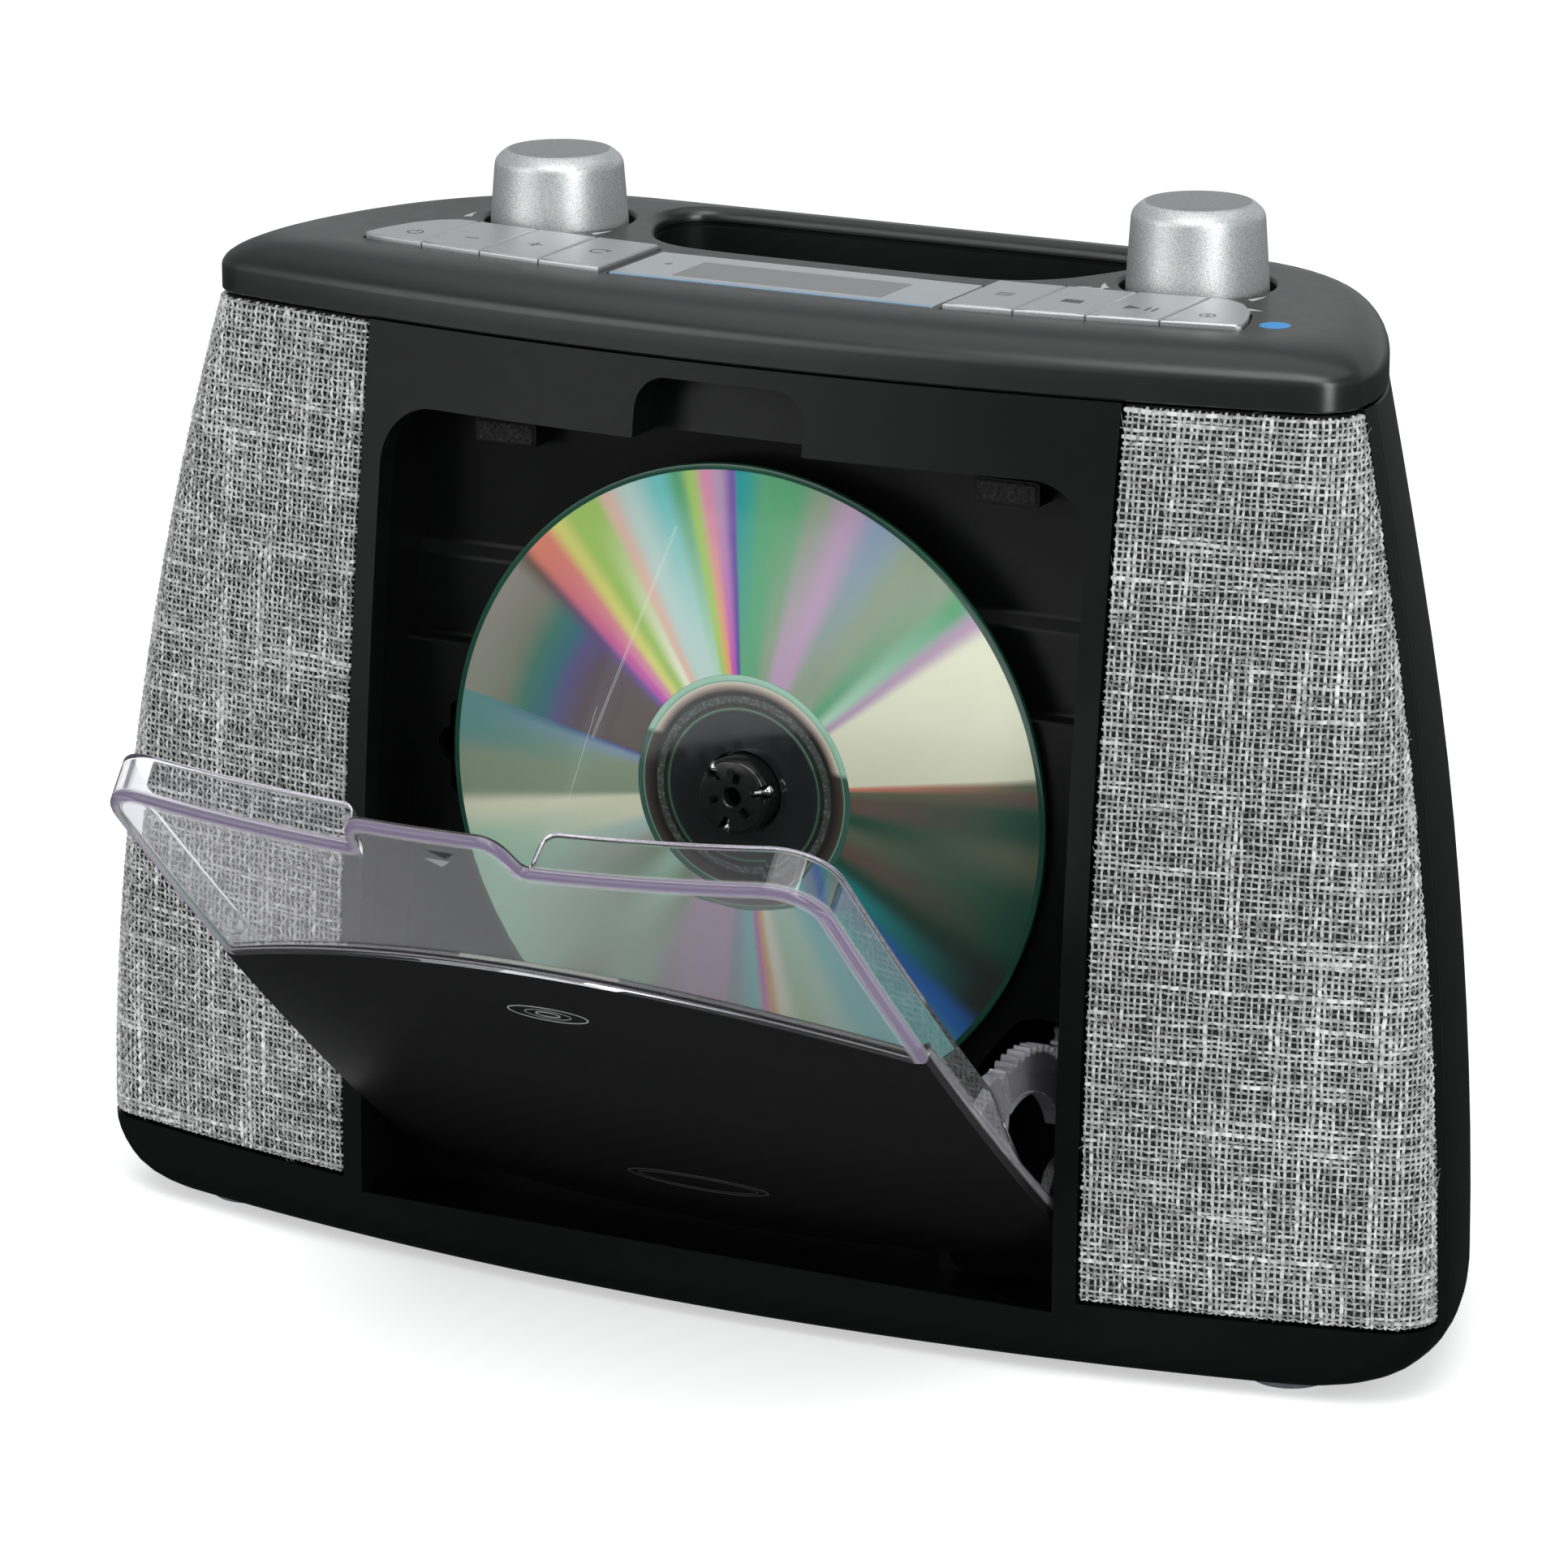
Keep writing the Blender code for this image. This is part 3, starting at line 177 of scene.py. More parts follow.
def rounded_poly(points, radius, seg=4):
    """Polygon with each corner replaced by a small arc-like curve."""
    out, n = [], len(points)
    for i in range(n):
        a, p, b = Vector(points[i - 1]), Vector(points[i]), Vector(points[(i + 1) % n])
        r = min(radius, 0.45 * (a - p).length, 0.45 * (b - p).length)
        u, v = p + (a - p).normalized() * r, p + (b - p).normalized() * r
        for k in range(seg + 1):
            t = k / seg
            out.append(tuple(u * (1 - t) ** 2 + p * 2 * t * (1 - t) + v * t * t))
    return out


def grown(outline, d):
    out, n = [], len(outline)
    area = sum(outline[i][0] * outline[(i + 1) % n][1] - outline[(i + 1) % n][0] * outline[i][1]
               for i in range(n))
    sg = 1 if area > 0 else -1
    for i in range(n):
        p, q, r = Vector(outline[i - 1]), Vector(outline[i]), Vector(outline[(i + 1) % n])
        t1, t2 = (q - p), (r - q)
        if t1.length < 1e-6:
            t1 = t2
        if t2.length < 1e-6:
            t2 = t1
        t1, t2 = t1.normalized(), t2.normalized()
        n1, n2 = Vector((t1.y, -t1.x)), Vector((t2.y, -t2.x))
        m = n1 + n2
        m = m.normalized() if m.length > 1e-6 else n1
        k = 1.0 / max(0.5, m.dot(n1))
        out.append((q.x + sg * m.x * d * k, q.y + sg * m.y * d * k))
    return out


def _temp(bm):
    me = bpy.data.meshes.new("tmp")
    bm.to_mesh(me)
    o = bpy.data.objects.new("tmp", me)
    bpy.context.scene.collection.objects.link(o)
    return o


def combine(base, others, op):
    o = _temp(base)
    for s in others:
        c = _temp(s)
        mod = o.modifiers.new("b", "BOOLEAN")
        mod.operation, mod.solver, mod.object = op, "EXACT", c
        dg = bpy.context.evaluated_depsgraph_get()
        dg.update()
        me = bpy.data.meshes.new_from_object(o.evaluated_get(dg))
        o.modifiers.clear()
        old = o.data
        o.data = me
        bpy.data.meshes.remove(old)
        cm = c.data
        bpy.data.objects.remove(c)
        bpy.data.meshes.remove(cm)
    bm = bmesh.new()
    bm.from_mesh(o.data)
    me = o.data
    bpy.data.objects.remove(o)
    bpy.data.meshes.remove(me)
    bmesh.ops.remove_doubles(bm, verts=bm.verts, dist=0.0005)
    return bm


def cut(base, *others):
    return combine(base, others, "DIFFERENCE")


def join(base, *others):
    return combine(base, others, "UNION")


def common(base, *others):
    return combine(base, others, "INTERSECT")


def place(me, turn):
    """From working millimetres to the row frame in metres; turn opens the door's pieces."""
    n = len(me.vertices)
    co = np.zeros(n * 3, np.float32)
    me.vertices.foreach_get("co", co)
    co = co.reshape(-1, 3).astype(float)
    co = to_world(co, turn)
    me.vertices.foreach_set("co", co.astype(np.float32).ravel())
    me.update()


def to_world(co, turn=False):
    co = np.array(co, float)
    if turn:
        a = math.radians(OPEN_ANGLE)
        y, z = co[:, 1] - HINGE_Y, co[:, 2] - HINGE_Z
        co = np.stack([co[:, 0], HINGE_Y + y * math.cos(a) - z * math.sin(a),
                       HINGE_Z + y * math.sin(a) + z * math.cos(a)], 1)
    co[:, 1] += SHIFT_Y
    co[:, 2] += SHIFT_Z
    return co * MM


def piece(name, what, mat, body, replaces=(), turn=False, smooth=35.0,
          bevel=0.0, segments=2, angle=40.0, weighted=True):
    """Named object from a bmesh, or from (vertices, faces); it rides on a body."""
    me = bpy.data.meshes.new(name)
    if isinstance(what, tuple):
        me.from_pydata([tuple(map(float, v)) for v in what[0]], [], [tuple(map(int, f)) for f in what[1]])
        me.update()
    else:
        bmesh.ops.recalc_face_normals(what, faces=what.faces)
        what.to_mesh(me)
        what.free()
    place(me, turn)
    for m in (mat if isinstance(mat, (list, tuple)) else [mat]):
        me.materials.append(m)
    me.shade_smooth()
    me.set_sharp_from_angle(angle=math.radians(smooth))
    o = bpy.data.objects.new(name, me)
    bpy.context.scene.collection.objects.link(o)
    if bevel:
        b = o.modifiers.new("edge", "BEVEL")
        b.width, b.segments, b.limit_method = bevel * MM, segments, "ANGLE"
        b.angle_limit = math.radians(angle)
        b.use_clamp_overlap = True
        b.harden_normals = False
        b.miter_outer = "MITER_ARC"
    if weighted:
        w = o.modifiers.new("normals", "WEIGHTED_NORMAL")
        w.keep_sharp = True
        w.weight = 90
    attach(o, body)
    if replaces:
        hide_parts(*replaces)
    return o


# ----------------------------------------------------------------------------
# outer form, as in the CAD
# ----------------------------------------------------------------------------


def drop(z):
    return min(1.0, max(0.0, (Z_SEAM - z) / (Z_SEAM - Z_GRILLE_END)))


def half_width(z):
    return TOP_HALF_W + FLARE * (1 - (1 - drop(z)) ** 1.85)


def face_y(x, z):
    return FACE_Y + LEAN * (1 - drop(z)) ** 1.8 + (x * x - 75.0 ** 2) / (2 * FACE_R)


def rear_y(z):
    t = min(1.0, max(0.0, (Z_SEAM - z) / 80.0))
    return REAR_TOP_Y + REAR_BULGE * (3 * t * t - 2 * t ** 3)


def rolls(z):
    if z > -CAP_ROLL_H:
        u = min(1.0, (z + CAP_ROLL_H) / CAP_ROLL_H)
        d = CAP_ROLL_W * (1 - math.sqrt(max(0.0, 1 - u * u)))
        return d, d
    if z < Z_GRILLE_END:
        u = min(1.0, (Z_GRILLE_END - z) / BASE_ROLL_H)
        dx = BASE_ROLL_W * (1 - math.sqrt(max(0.0, 1 - u * u)))
        v = min(1.0, max(0.0, (-177.2 - z) / 4.0))
        dy = 4.0 * (1 - math.sqrt(max(0.0, 1 - v * v)))
        return dx, dy
    return 0.0, 0.0


def form(z, kind, val, side, inset=0.0):
    dx, dy = rolls(z)
    X = half_width(z) - dx - inset
    extra = 0.3 * dx
    rc = max(CORNER_R - inset + extra, 1.5)
    beta = math.asin(min(0.9, (X - rc) / FACE_R))
    xs = X - rc + rc * math.sin(beta)

    def fy(x):
        return face_y(x, z) + dy + inset
    if kind == "f":
        return (side * val, fy(val), z)
    if kind == "g":
        x = FRAME_X + (xs - FRAME_X) * val
        return (side * x, fy(x), z)
    cy = fy(xs) + rc * math.cos(beta)
    if kind == "c":
        a = math.radians(-90) + beta + (math.radians(90) - beta) * val
        return (side * (X - rc + rc * math.cos(a)), cy + rc * math.sin(a), z)
    if kind == "s":
        return (side * X, cy + val, z)
    yb = cy + SIDE_STRIP
    yr = rear_y(z) - dy - inset
    xr = X + inset + dx - 54.0
    if kind == "b":
        p = [Vector((X, yb)), Vector((X - 1, yb + 18)), Vector((xr + 28 - inset, yr)), Vector((xr, yr))]
        t = val
        q = (p[0] * (1 - t) ** 3 + p[1] * 3 * t * (1 - t) ** 2 + p[2] * 3 * t * t * (1 - t) + p[3] * t ** 3)
        return (side * q.x, q.y, z)
    return (side * xr * (1 - val), yr, z)


FRONT_HALF = ([("f", FRAME_X * k / 10) for k in range(10)] + [("g", k / 8) for k in range(9)]
              + [("c", k / 8) for k in range(1, 9)] + [("s", SIDE_STRIP)])
REAR_HALF = [("b", k / 18) for k in range(1, 19)] + [("r", 0.5), ("r", 1.0)]


def both(half):
    return [(k, v, -1) for k, v in reversed(half)] + [(k, v, 1) for k, v in half][1:]


def full_ring(z, inset=0.0):
    ids = both(FRONT_HALF)
    rear = [(k, v, 1) for k, v in REAR_HALF] + [(k, v, -1) for k, v in reversed(REAR_HALF[:-1])]
    return [form(z, k, v, s, inset) for k, v, s in ids + rear]


def skin(ids, levels, d0, d1, d1_low=None):
    secs = []
    for z in levels:
        inner = d1
        if d1_low is not None and z < Z_GRILLE_END:
            inner = d1 + (d1_low - d1) * min(1.0, (Z_GRILLE_END - z) / 5.0)
        outer = [form(z, k, v, s, d0) for k, v, s in ids]
        secs.append(outer + [form(z, k, v, s, inner) for k, v, s in reversed(ids)])
    return loft(secs)


LEVELS = ([Z_SEAM - GAP - 0.0] + [-14 - 11.07 * k for k in range(14)] + [Z_GRILLE_END]
          + [Z_GRILLE_END - BASE_ROLL_H * math.sin(math.radians(a)) for a in range(9, 90, 9)] + [Z_BOTTOM])

# ----------------------------------------------------------------------------
# materials
# ----------------------------------------------------------------------------


class Mat:
    """A Principled material with a short way to add nodes."""

    def __init__(self, name, rgb=(0.5, 0.5, 0.5), rough=0.5, metal=0.0, **fixed):
        self.m = bpy.data.materials.new(name)
        self.m.use_nodes = True
        self.nt = self.m.node_tree
        self.b = self.nt.nodes["Principled BSDF"]
        self.out = self.nt.nodes["Material Output"]
        self.set("Base Color", (*rgb, 1.0))
        self.set("Roughness", rough)
        self.set("Metallic", metal)
        for k, v in fixed.items():
            self.set(k.replace("_", " "), v)
        self.coord = None

    def set(self, socket, value):
        self.b.inputs[socket].default_value = value

    def node(self, kind, **values):
        n = self.nt.nodes.new(kind)
        for k, v in values.items():
            if k in n.inputs:
                n.inputs[k].default_value = v
            else:
                setattr(n, k, v)
        return n

    def link(self, a, b):
        self.nt.links.new(a, b)

    def obj(self):
        if self.coord is None:
            self.coord = self.node("ShaderNodeTexCoord")
        return self.coord.outputs["Object"]

    def noise(self, scale, detail=3.0, rough=0.55, vector=None, stretch=None, distortion=0.0):
        n = self.node("ShaderNodeTexNoise")
        n.inputs["Scale"].default_value = scale
        n.inputs["Detail"].default_value = detail
        n.inputs["Roughness"].default_value = rough
        n.inputs["Distortion"].default_value = distortion
        v = vector or self.obj()
        if stretch:
            mp = self.node("ShaderNodeMapping")
            mp.inputs["Scale"].default_value = stretch
            self.link(v, mp.inputs["Vector"])
            v = mp.outputs["Vector"]
        self.link(v, n.inputs["Vector"])
        return n.outputs["Fac"]

    def range(self, value, a, b, c, d, clamp=True):
        n = self.node("ShaderNodeMapRange")
        n.clamp = clamp
        self.link(value, n.inputs["Value"])
        for i, x in zip(("From Min", "From Max", "To Min", "To Max"), (a, b, c, d)):
            n.inputs[i].default_value = x
        return n.outputs["Result"]

    def ramp(self, value, stops, interpolation="LINEAR"):
        n = self.node("ShaderNodeValToRGB")
        n.color_ramp.interpolation = interpolation
        e = n.color_ramp.elements
        while len(e) > 1:
            e.remove(e[-1])
        e[0].position, e[0].color = stops[0][0], (*stops[0][1], 1.0)
        for p, c in stops[1:]:
            x = e.new(p)
            x.color = (*c, 1.0)
        self.link(value, n.inputs["Fac"])
        return n.outputs["Color"]

    def math(self, op, a, b=None):
        n = self.node("ShaderNodeMath", operation=op)
        for i, x in enumerate((a, b)):
            if x is None:
                continue
            if isinstance(x, (int, float)):
                n.inputs[i].default_value = x
            else:
                self.link(x, n.inputs[i])
        return n.outputs[0]

    def mix(self, fac, a, b, kind="MIX"):
        n = self.node("ShaderNodeMix", data_type="RGBA", blend_type=kind)
        for i, x in ((0, fac), (6, a), (7, b)):
            if isinstance(x, (int, float)):
                n.inputs[i].default_value = x
            elif isinstance(x, tuple):
                n.inputs[i].default_value = (*x, 1.0) if len(x) == 3 else x
            else:
                self.link(x, n.inputs[i])
        return n.outputs[2]

    def bump(self, height, strength, distance=0.0002, normal=None):
        n = self.node("ShaderNodeBump")
        n.inputs["Strength"].default_value = strength
        n.inputs["Distance"].default_value = distance
        self.link(height, n.inputs["Height"])
        if normal:
            self.link(normal, n.inputs["Normal"])
        self.link(n.outputs["Normal"], self.b.inputs["Normal"])
        return n.outputs["Normal"]

    def to(self, socket, value):
        self.link(value, self.b.inputs[socket])
        return self


def moulded(name, rgb, rough, spread=0.05, grain=2600, strength=0.08, spec=0.4, wear=0.25):
    """Moulded plastic: fine spark-eroded grain, faint flow variation and rubbed, slightly shinier areas."""
    m = Mat(name, rgb, rough)
    m.set("Specular IOR Level", spec)
    low = m.noise(18.0, 3.0)
    fine = m.noise(260.0, 4.0, 0.6)
    m.to("Base Color", m.mix(m.range(low, 0.35, 0.7, 0.0, wear), tuple(rgb), tuple(min(1, c * 1.35 + 0.002) for c in rgb)))
    m.to("Roughness", m.range(m.math("ADD", m.math("MULTIPLY", low, 0.6), m.math("MULTIPLY", fine, 0.4)),
                              0.3, 0.7, rough - spread, rough + spread))
    m.bump(m.noise(grain, 2.0, 0.5), strength, 0.00005)
    return m.m


BLACK = moulded("satin_black_abs", (0.0028, 0.0032, 0.0032), 0.34, spec=0.20)
CAP_BLACK = moulded("cap_black_abs", (0.0066, 0.0074, 0.0073), 0.32, spec=0.76)
BAY_BLACK = moulded("bay_black_abs", (0.0019, 0.0021, 0.0022), 0.36, spec=0.19)
WELL_BLACK = moulded("well_black_abs", (0.0055, 0.006, 0.006), 0.42, spec=0.32)
FASCIA = moulded("gloss_black_fascia", (0.0080, 0.0078, 0.0080), 0.36, 0.03, 1800, 0.03, spec=0.36)
GROOVE = moulded("groove_black", (0.003, 0.003, 0.003), 0.6, spec=0.2)
FOAM_ = Mat("dark_foam", (0.022, 0.022, 0.022), 0.95)
FOAM_.set("Specular IOR Level", 0.15)
_c = FOAM_.noise(1500.0, 3.0, 0.7)
FOAM_.to("Base Color", FOAM_.ramp(_c, [(0.35, (0.006, 0.006, 0.006)), (0.7, (0.034, 0.034, 0.034))]))
FOAM_.bump(_c, 0.8, 0.0003)
FOAM = FOAM_.m

# silver paint with bead-blasted grain
SILVER_ = Mat("silver_paint", (0.66, 0.68, 0.68), 0.40, 0.70)
_g = SILVER_.noise(3400.0, 2.5, 0.65)
_f = SILVER_.noise(40.0, 3.0)
_up = SILVER_.node("ShaderNodeSeparateXYZ")
SILVER_.obj()
SILVER_.link(SILVER_.coord.outputs["Normal"], _up.inputs[0])
_top_shade = SILVER_.range(_up.outputs["Z"], 0.955, 0.995, 0.0, 1.0)      # painted shade: the upward-facing flat tops are darkened, holding back the light from above
_c = SILVER_.ramp(_g, [(0.30, (0.44, 0.455, 0.455)), (0.50, (0.66, 0.68, 0.675)), (0.72, (0.86, 0.88, 0.875))])
SILVER_.to("Base Color", SILVER_.mix(_top_shade, _c, SILVER_.ramp(_g, [(0.30, (0.28, 0.29, 0.29)), (0.50, (0.39, 0.405, 0.40)), (0.72, (0.52, 0.535, 0.53))])))
SILVER_.to("Roughness", SILVER_.range(_f, 0.3, 0.7, 0.37, 0.45))
SILVER_.bump(_g, 0.42, 0.00012)
SILVER = SILVER_.m
KEY_ = Mat("key_silver_paint", (0.52, 0.535, 0.535), 0.38, 0.8)
_g = KEY_.noise(5200.0, 2.0, 0.6)
KEY_.to("Base Color", KEY_.ramp(_g, [(0.3, (0.53, 0.545, 0.545)), (0.7, (0.69, 0.705, 0.705))]))
KEY_.bump(_g, 0.16, 0.00006)
KEY_SILVER = KEY_.m

STEEL_ = Mat("plain_steel", (0.55, 0.55, 0.54), 0.3, 1.0)
STEEL_.to("Roughness", STEEL_.range(STEEL_.noise(220.0, 3.0, stretch=(1, 1, 12)), 0.3, 0.7, 0.22, 0.38))
STEEL_.bump(STEEL_.noise(900.0, 3.0, stretch=(1, 1, 14)), 0.06, 0.00004)
STEEL = STEEL_.m
CHROME_ = Mat("bright_steel_ball", (0.85, 0.86, 0.86), 0.05, 1.0)
CHROME_.to("Roughness", CHROME_.range(CHROME_.noise(900.0), 0.3, 0.7, 0.03, 0.08))
CHROME = CHROME_.m
RUBBER_ = Mat("grey_rubber", (0.10, 0.12, 0.135), 0.72)
_g = RUBBER_.noise(500.0, 4.0)
RUBBER_.to("Base Color", RUBBER_.ramp(_g, [(0.3, (0.075, 0.09, 0.105)), (0.7, (0.13, 0.15, 0.165))]))
RUBBER_.bump(_g, 0.25, 0.0001)
RUBBER = RUBBER_.m

# clear acrylic: a faint haze on its faces and a lilac body colour along its edges
ACRYLIC_ = Mat("clear_acrylic", (0.97, 0.965, 0.99), 0.02)
ACRYLIC_.set("IOR", 1.41)
_e = ACRYLIC_.node("ShaderNodeAttribute", attribute_name="edge", attribute_type="GEOMETRY").outputs["Fac"]
_s = ACRYLIC_.noise(30.0, 3.0)
_h = ACRYLIC_.noise(420.0, 5.0, 0.62, stretch=(1.0, 5.0, 0.35))
_d = ACRYLIC_.range(ACRYLIC_.noise(2600.0, 2.0, 0.5), 0.74, 0.80, 0.0, 0.20)
ACRYLIC_.to("Base Color", ACRYLIC_.mix(_e, (0.955, 0.958, 0.972), (0.25, 0.205, 0.31)))
ACRYLIC_.to("Transmission Weight", ACRYLIC_.math("SUBTRACT", ACRYLIC_.range(_e, 0.0, 1.0, 0.985, 0.42), ACRYLIC_.math("MULTIPLY", _d, 0.25)))
ACRYLIC_.to("Roughness", ACRYLIC_.math("ADD", ACRYLIC_.range(_h, 0.60, 0.78, 0.003, 0.022), ACRYLIC_.math("MULTIPLY", _e, 0.12)))
ACRYLIC_.bump(_s, 0.04, 0.0005)
_v = ACRYLIC_.node("ShaderNodeVolumeAbsorption")
_v.inputs["Color"].default_value = (0.66, 0.56, 0.88, 1.0)
_v.inputs["Density"].default_value = 16.0
ACRYLIC_.link(_v.outputs[0], ACRYLIC_.out.inputs["Volume"])
ACRYLIC = ACRYLIC_.m

# the toothed part of the same moulding, thicker; its pale, milky base colour is painted light, standing in for light
# shining through the teeth
TOOTHED_ = Mat("clear_acrylic_painted_light", (0.86, 0.85, 0.90), 0.08)
TOOTHED_.set("IOR", 1.49)
TOOTHED_.set("Transmission Weight", 0.84)
_g = TOOTHED_.noise(260.0, 4.0, 0.6)
TOOTHED_.to("Base Color", TOOTHED_.mix(_g, (0.70, 0.69, 0.75), (0.92, 0.91, 0.95)))
TOOTHED_.to("Roughness", TOOTHED_.range(_g, 0.3, 0.7, 0.05, 0.13))
TOOTHED_.bump(TOOTHED_.noise(500.0, 3.0), 0.08, 0.0001)
ACRYLIC_PAINTED_LIGHT = TOOTHED_.m

LENS_ = Mat("pickup_lens_glass", (0.35, 0.38, 0.75), 0.05)
LENS_.set("Transmission Weight", 0.6)
LENS_.to("Roughness", LENS_.range(LENS_.noise(300.0), 0.3, 0.7, 0.03, 0.07))
LENS = LENS_.m

# electronics
PCB_ = Mat("circuit_board", (0.02, 0.12, 0.05), 0.42)
_g = PCB_.node("ShaderNodeTexBrick")
_g.inputs["Scale"].default_value = 160.0
PCB_.link(PCB_.obj(), _g.inputs["Vector"])
_g.inputs["Color1"].default_value = (0.02, 0.12, 0.05, 1)
_g.inputs["Color2"].default_value = (0.03, 0.15, 0.06, 1)
_g.inputs["Mortar"].default_value = (0.05, 0.2, 0.08, 1)
PCB_.to("Base Color", _g.outputs["Color"])
PCB = PCB_.m
CONE = moulded("paper_cone", (0.03, 0.028, 0.026), 0.9, 0.05, 900, 0.5, spec=0.2)
MAGNET = moulded("ferrite", (0.05, 0.05, 0.055), 0.6, 0.08, 700, 0.3)
ACETAL = moulded("acetal_gear", (0.42, 0.42, 0.40), 0.4, 0.05, 1200, 0.08)

# display: a pale tinted window over a grey glass
LCD_ = Mat("display_window", (0.33, 0.38, 0.40), 0.16)
LCD_.set("Specular IOR Level", 0.6)
LCD_.set("Coat Weight", 0.3)
LCD_.set("Coat Roughness", 0.05)
_sep = LCD_.node("ShaderNodeSeparateXYZ")
LCD_.link(LCD_.obj(), _sep.inputs[0])
_low = LCD_.noise(25.0, 2.0)
_base = LCD_.mix(_low, (0.31, 0.352, 0.373), (0.385, 0.427, 0.448))
# blue cast along the front edge
_ey = LCD_.range(_sep.outputs["Y"], (LCD_Y0 + SHIFT_Y) * MM, (LCD_Y0 + 1.6 + SHIFT_Y) * MM, 1.0, 0.0)
_base = LCD_.mix(_ey, _base, (0.20, 0.33, 0.47))
LCD_.to("Base Color", _base)
LCD_.to("Roughness", LCD_.range(LCD_.noise(300.0), 0.3, 0.7, 0.13, 0.2))
LCD_WIN = LCD_.m
GLASS_ = Mat("display_glass", (0.20, 0.205, 0.21), 0.3)
_w = GLASS_.node("ShaderNodeTexWave")
_w.bands_direction = "Y"
_w.inputs["Scale"].default_value = 520.0
GLASS_.link(GLASS_.obj(), _w.inputs["Vector"])
GLASS_.to("Base Color", GLASS_.ramp(_w.outputs["Fac"], [(0.2, (0.195, 0.20, 0.21)), (0.8, (0.225, 0.23, 0.235))]))
LCD_GLASS = GLASS_.m


def ink(name, rgb, rough=0.55):
    m = Mat(name, rgb, rough)
    n = m.noise(1400.0, 3.0)
    m.to("Base Color", m.mix(m.range(n, 0.35, 0.7, 0.0, 1.0), tuple(rgb), tuple(c * 0.86 for c in rgb)))
    m.to("Roughness", m.range(n, 0.3, 0.7, rough - 0.06, rough + 0.06))
    return m.m


WHITE_INK = ink("white_print", (0.55, 0.56, 0.56))
GREY_INK = ink("grey_print", (0.10, 0.10, 0.105))
BLUE_INK = ink("blue_badge", (0.02, 0.32, 0.80), 0.35)
PALE_INK = ink("pale_print", (0.24, 0.25, 0.25))
FAINT_INK = ink("faint_print", (0.042, 0.042, 0.043))


# woven cloth: tone is stored along each thread, fibres run along it
def cloth_material(name):
    m = Mat(name, (0.4, 0.4, 0.4), 0.92)
    m.set("Specular IOR Level", 0.18)
    m.set("Sheen Weight", 0.12)
    m.set("Sheen Roughness", 0.5)
    a = m.node("ShaderNodeAttribute", attribute_name="tone", attribute_type="GEOMETRY")
    uv = m.node("ShaderNodeUVMap")
    uv.uv_map = "thread"
    fib = m.node("ShaderNodeTexNoise")
    fib.inputs["Scale"].default_value = 1.0
    fib.inputs["Detail"].default_value = 4.0
    fib.inputs["Roughness"].default_value = 0.7
    mp = m.node("ShaderNodeMapping")
    mp.inputs["Scale"].default_value = (1.1, 9.0, 1.0)
    m.link(uv.outputs["UV"], mp.inputs["Vector"])
    m.link(mp.outputs["Vector"], fib.inputs["Vector"])
    fuzz = m.noise(1500.0, 3.0, 0.7)
    t = m.math("ADD", a.outputs["Fac"], m.math("MULTIPLY", m.math("SUBTRACT", fib.outputs["Fac"], 0.5), 0.75))
    t = m.math("ADD", t, m.math("MULTIPLY", m.math("SUBTRACT", fuzz, 0.5), 0.35))
    m.to("Base Color", m.ramp(t, [(0.0, (0.035, 0.036, 0.037)), (0.30, (0.13, 0.131, 0.132)),
                                  (0.55, (0.36, 0.362, 0.362)), (0.80, (0.62, 0.622, 0.62)), (1.0, (0.80, 0.80, 0.795))]))
    m.bump(fib.outputs["Fac"], 0.6, 0.00012)
    return m.m


CLOTH = cloth_material("linen_threads")
SCRIM_ = Mat("dark_scrim", (0.02, 0.02, 0.02), 0.95)
SCRIM_.set("Specular IOR Level", 0.1)
_g = SCRIM_.noise(2500.0, 3.0, 0.7)
SCRIM_.to("Base Color", SCRIM_.ramp(_g, [(0.35, (0.008, 0.008, 0.008)), (0.7, (0.045, 0.045, 0.045))]))
SCRIM_.bump(_g, 0.6, 0.0002)
SCRIM = SCRIM_.m


# the disc's track area: painted reflection, the rainbow the tracks throw back from the lights, drawn as radial streaks
# by angle about the spindle
PALETTE = {
    "dark": (0.014, 0.020, 0.018), "olive": (0.10, 0.12, 0.075), "brown": (0.12, 0.075, 0.06),
    "forest": (0.008, 0.062, 0.042), "green": (0.10, 0.33, 0.17), "sage": (0.24, 0.31, 0.22),
    "lime": (0.34, 0.52, 0.14), "yellow": (0.62, 0.62, 0.20), "cream": (0.72, 0.74, 0.57),
    "orange": (0.66, 0.36, 0.14), "coral": (0.68, 0.24, 0.18), "pink": (0.62, 0.26, 0.40),
    "magenta": (0.50, 0.10, 0.40), "violet": (0.16, 0.09, 0.34), "indigo": (0.06, 0.07, 0.28),
    "blue": (0.04, 0.14, 0.42), "steel": (0.22, 0.30, 0.40), "cyan": (0.16, 0.50, 0.48),
    "teal": (0.02, 0.29, 0.30), "mint": (0.38, 0.60, 0.46), "pale": (0.46, 0.60, 0.56),
    "lilac": (0.42, 0.30, 0.42), "blush": (0.66, 0.47, 0.38), "sea": (0.12, 0.28, 0.27), "grey": (0.21, 0.21, 0.18), "silver": (0.36, 0.37, 0.34)}
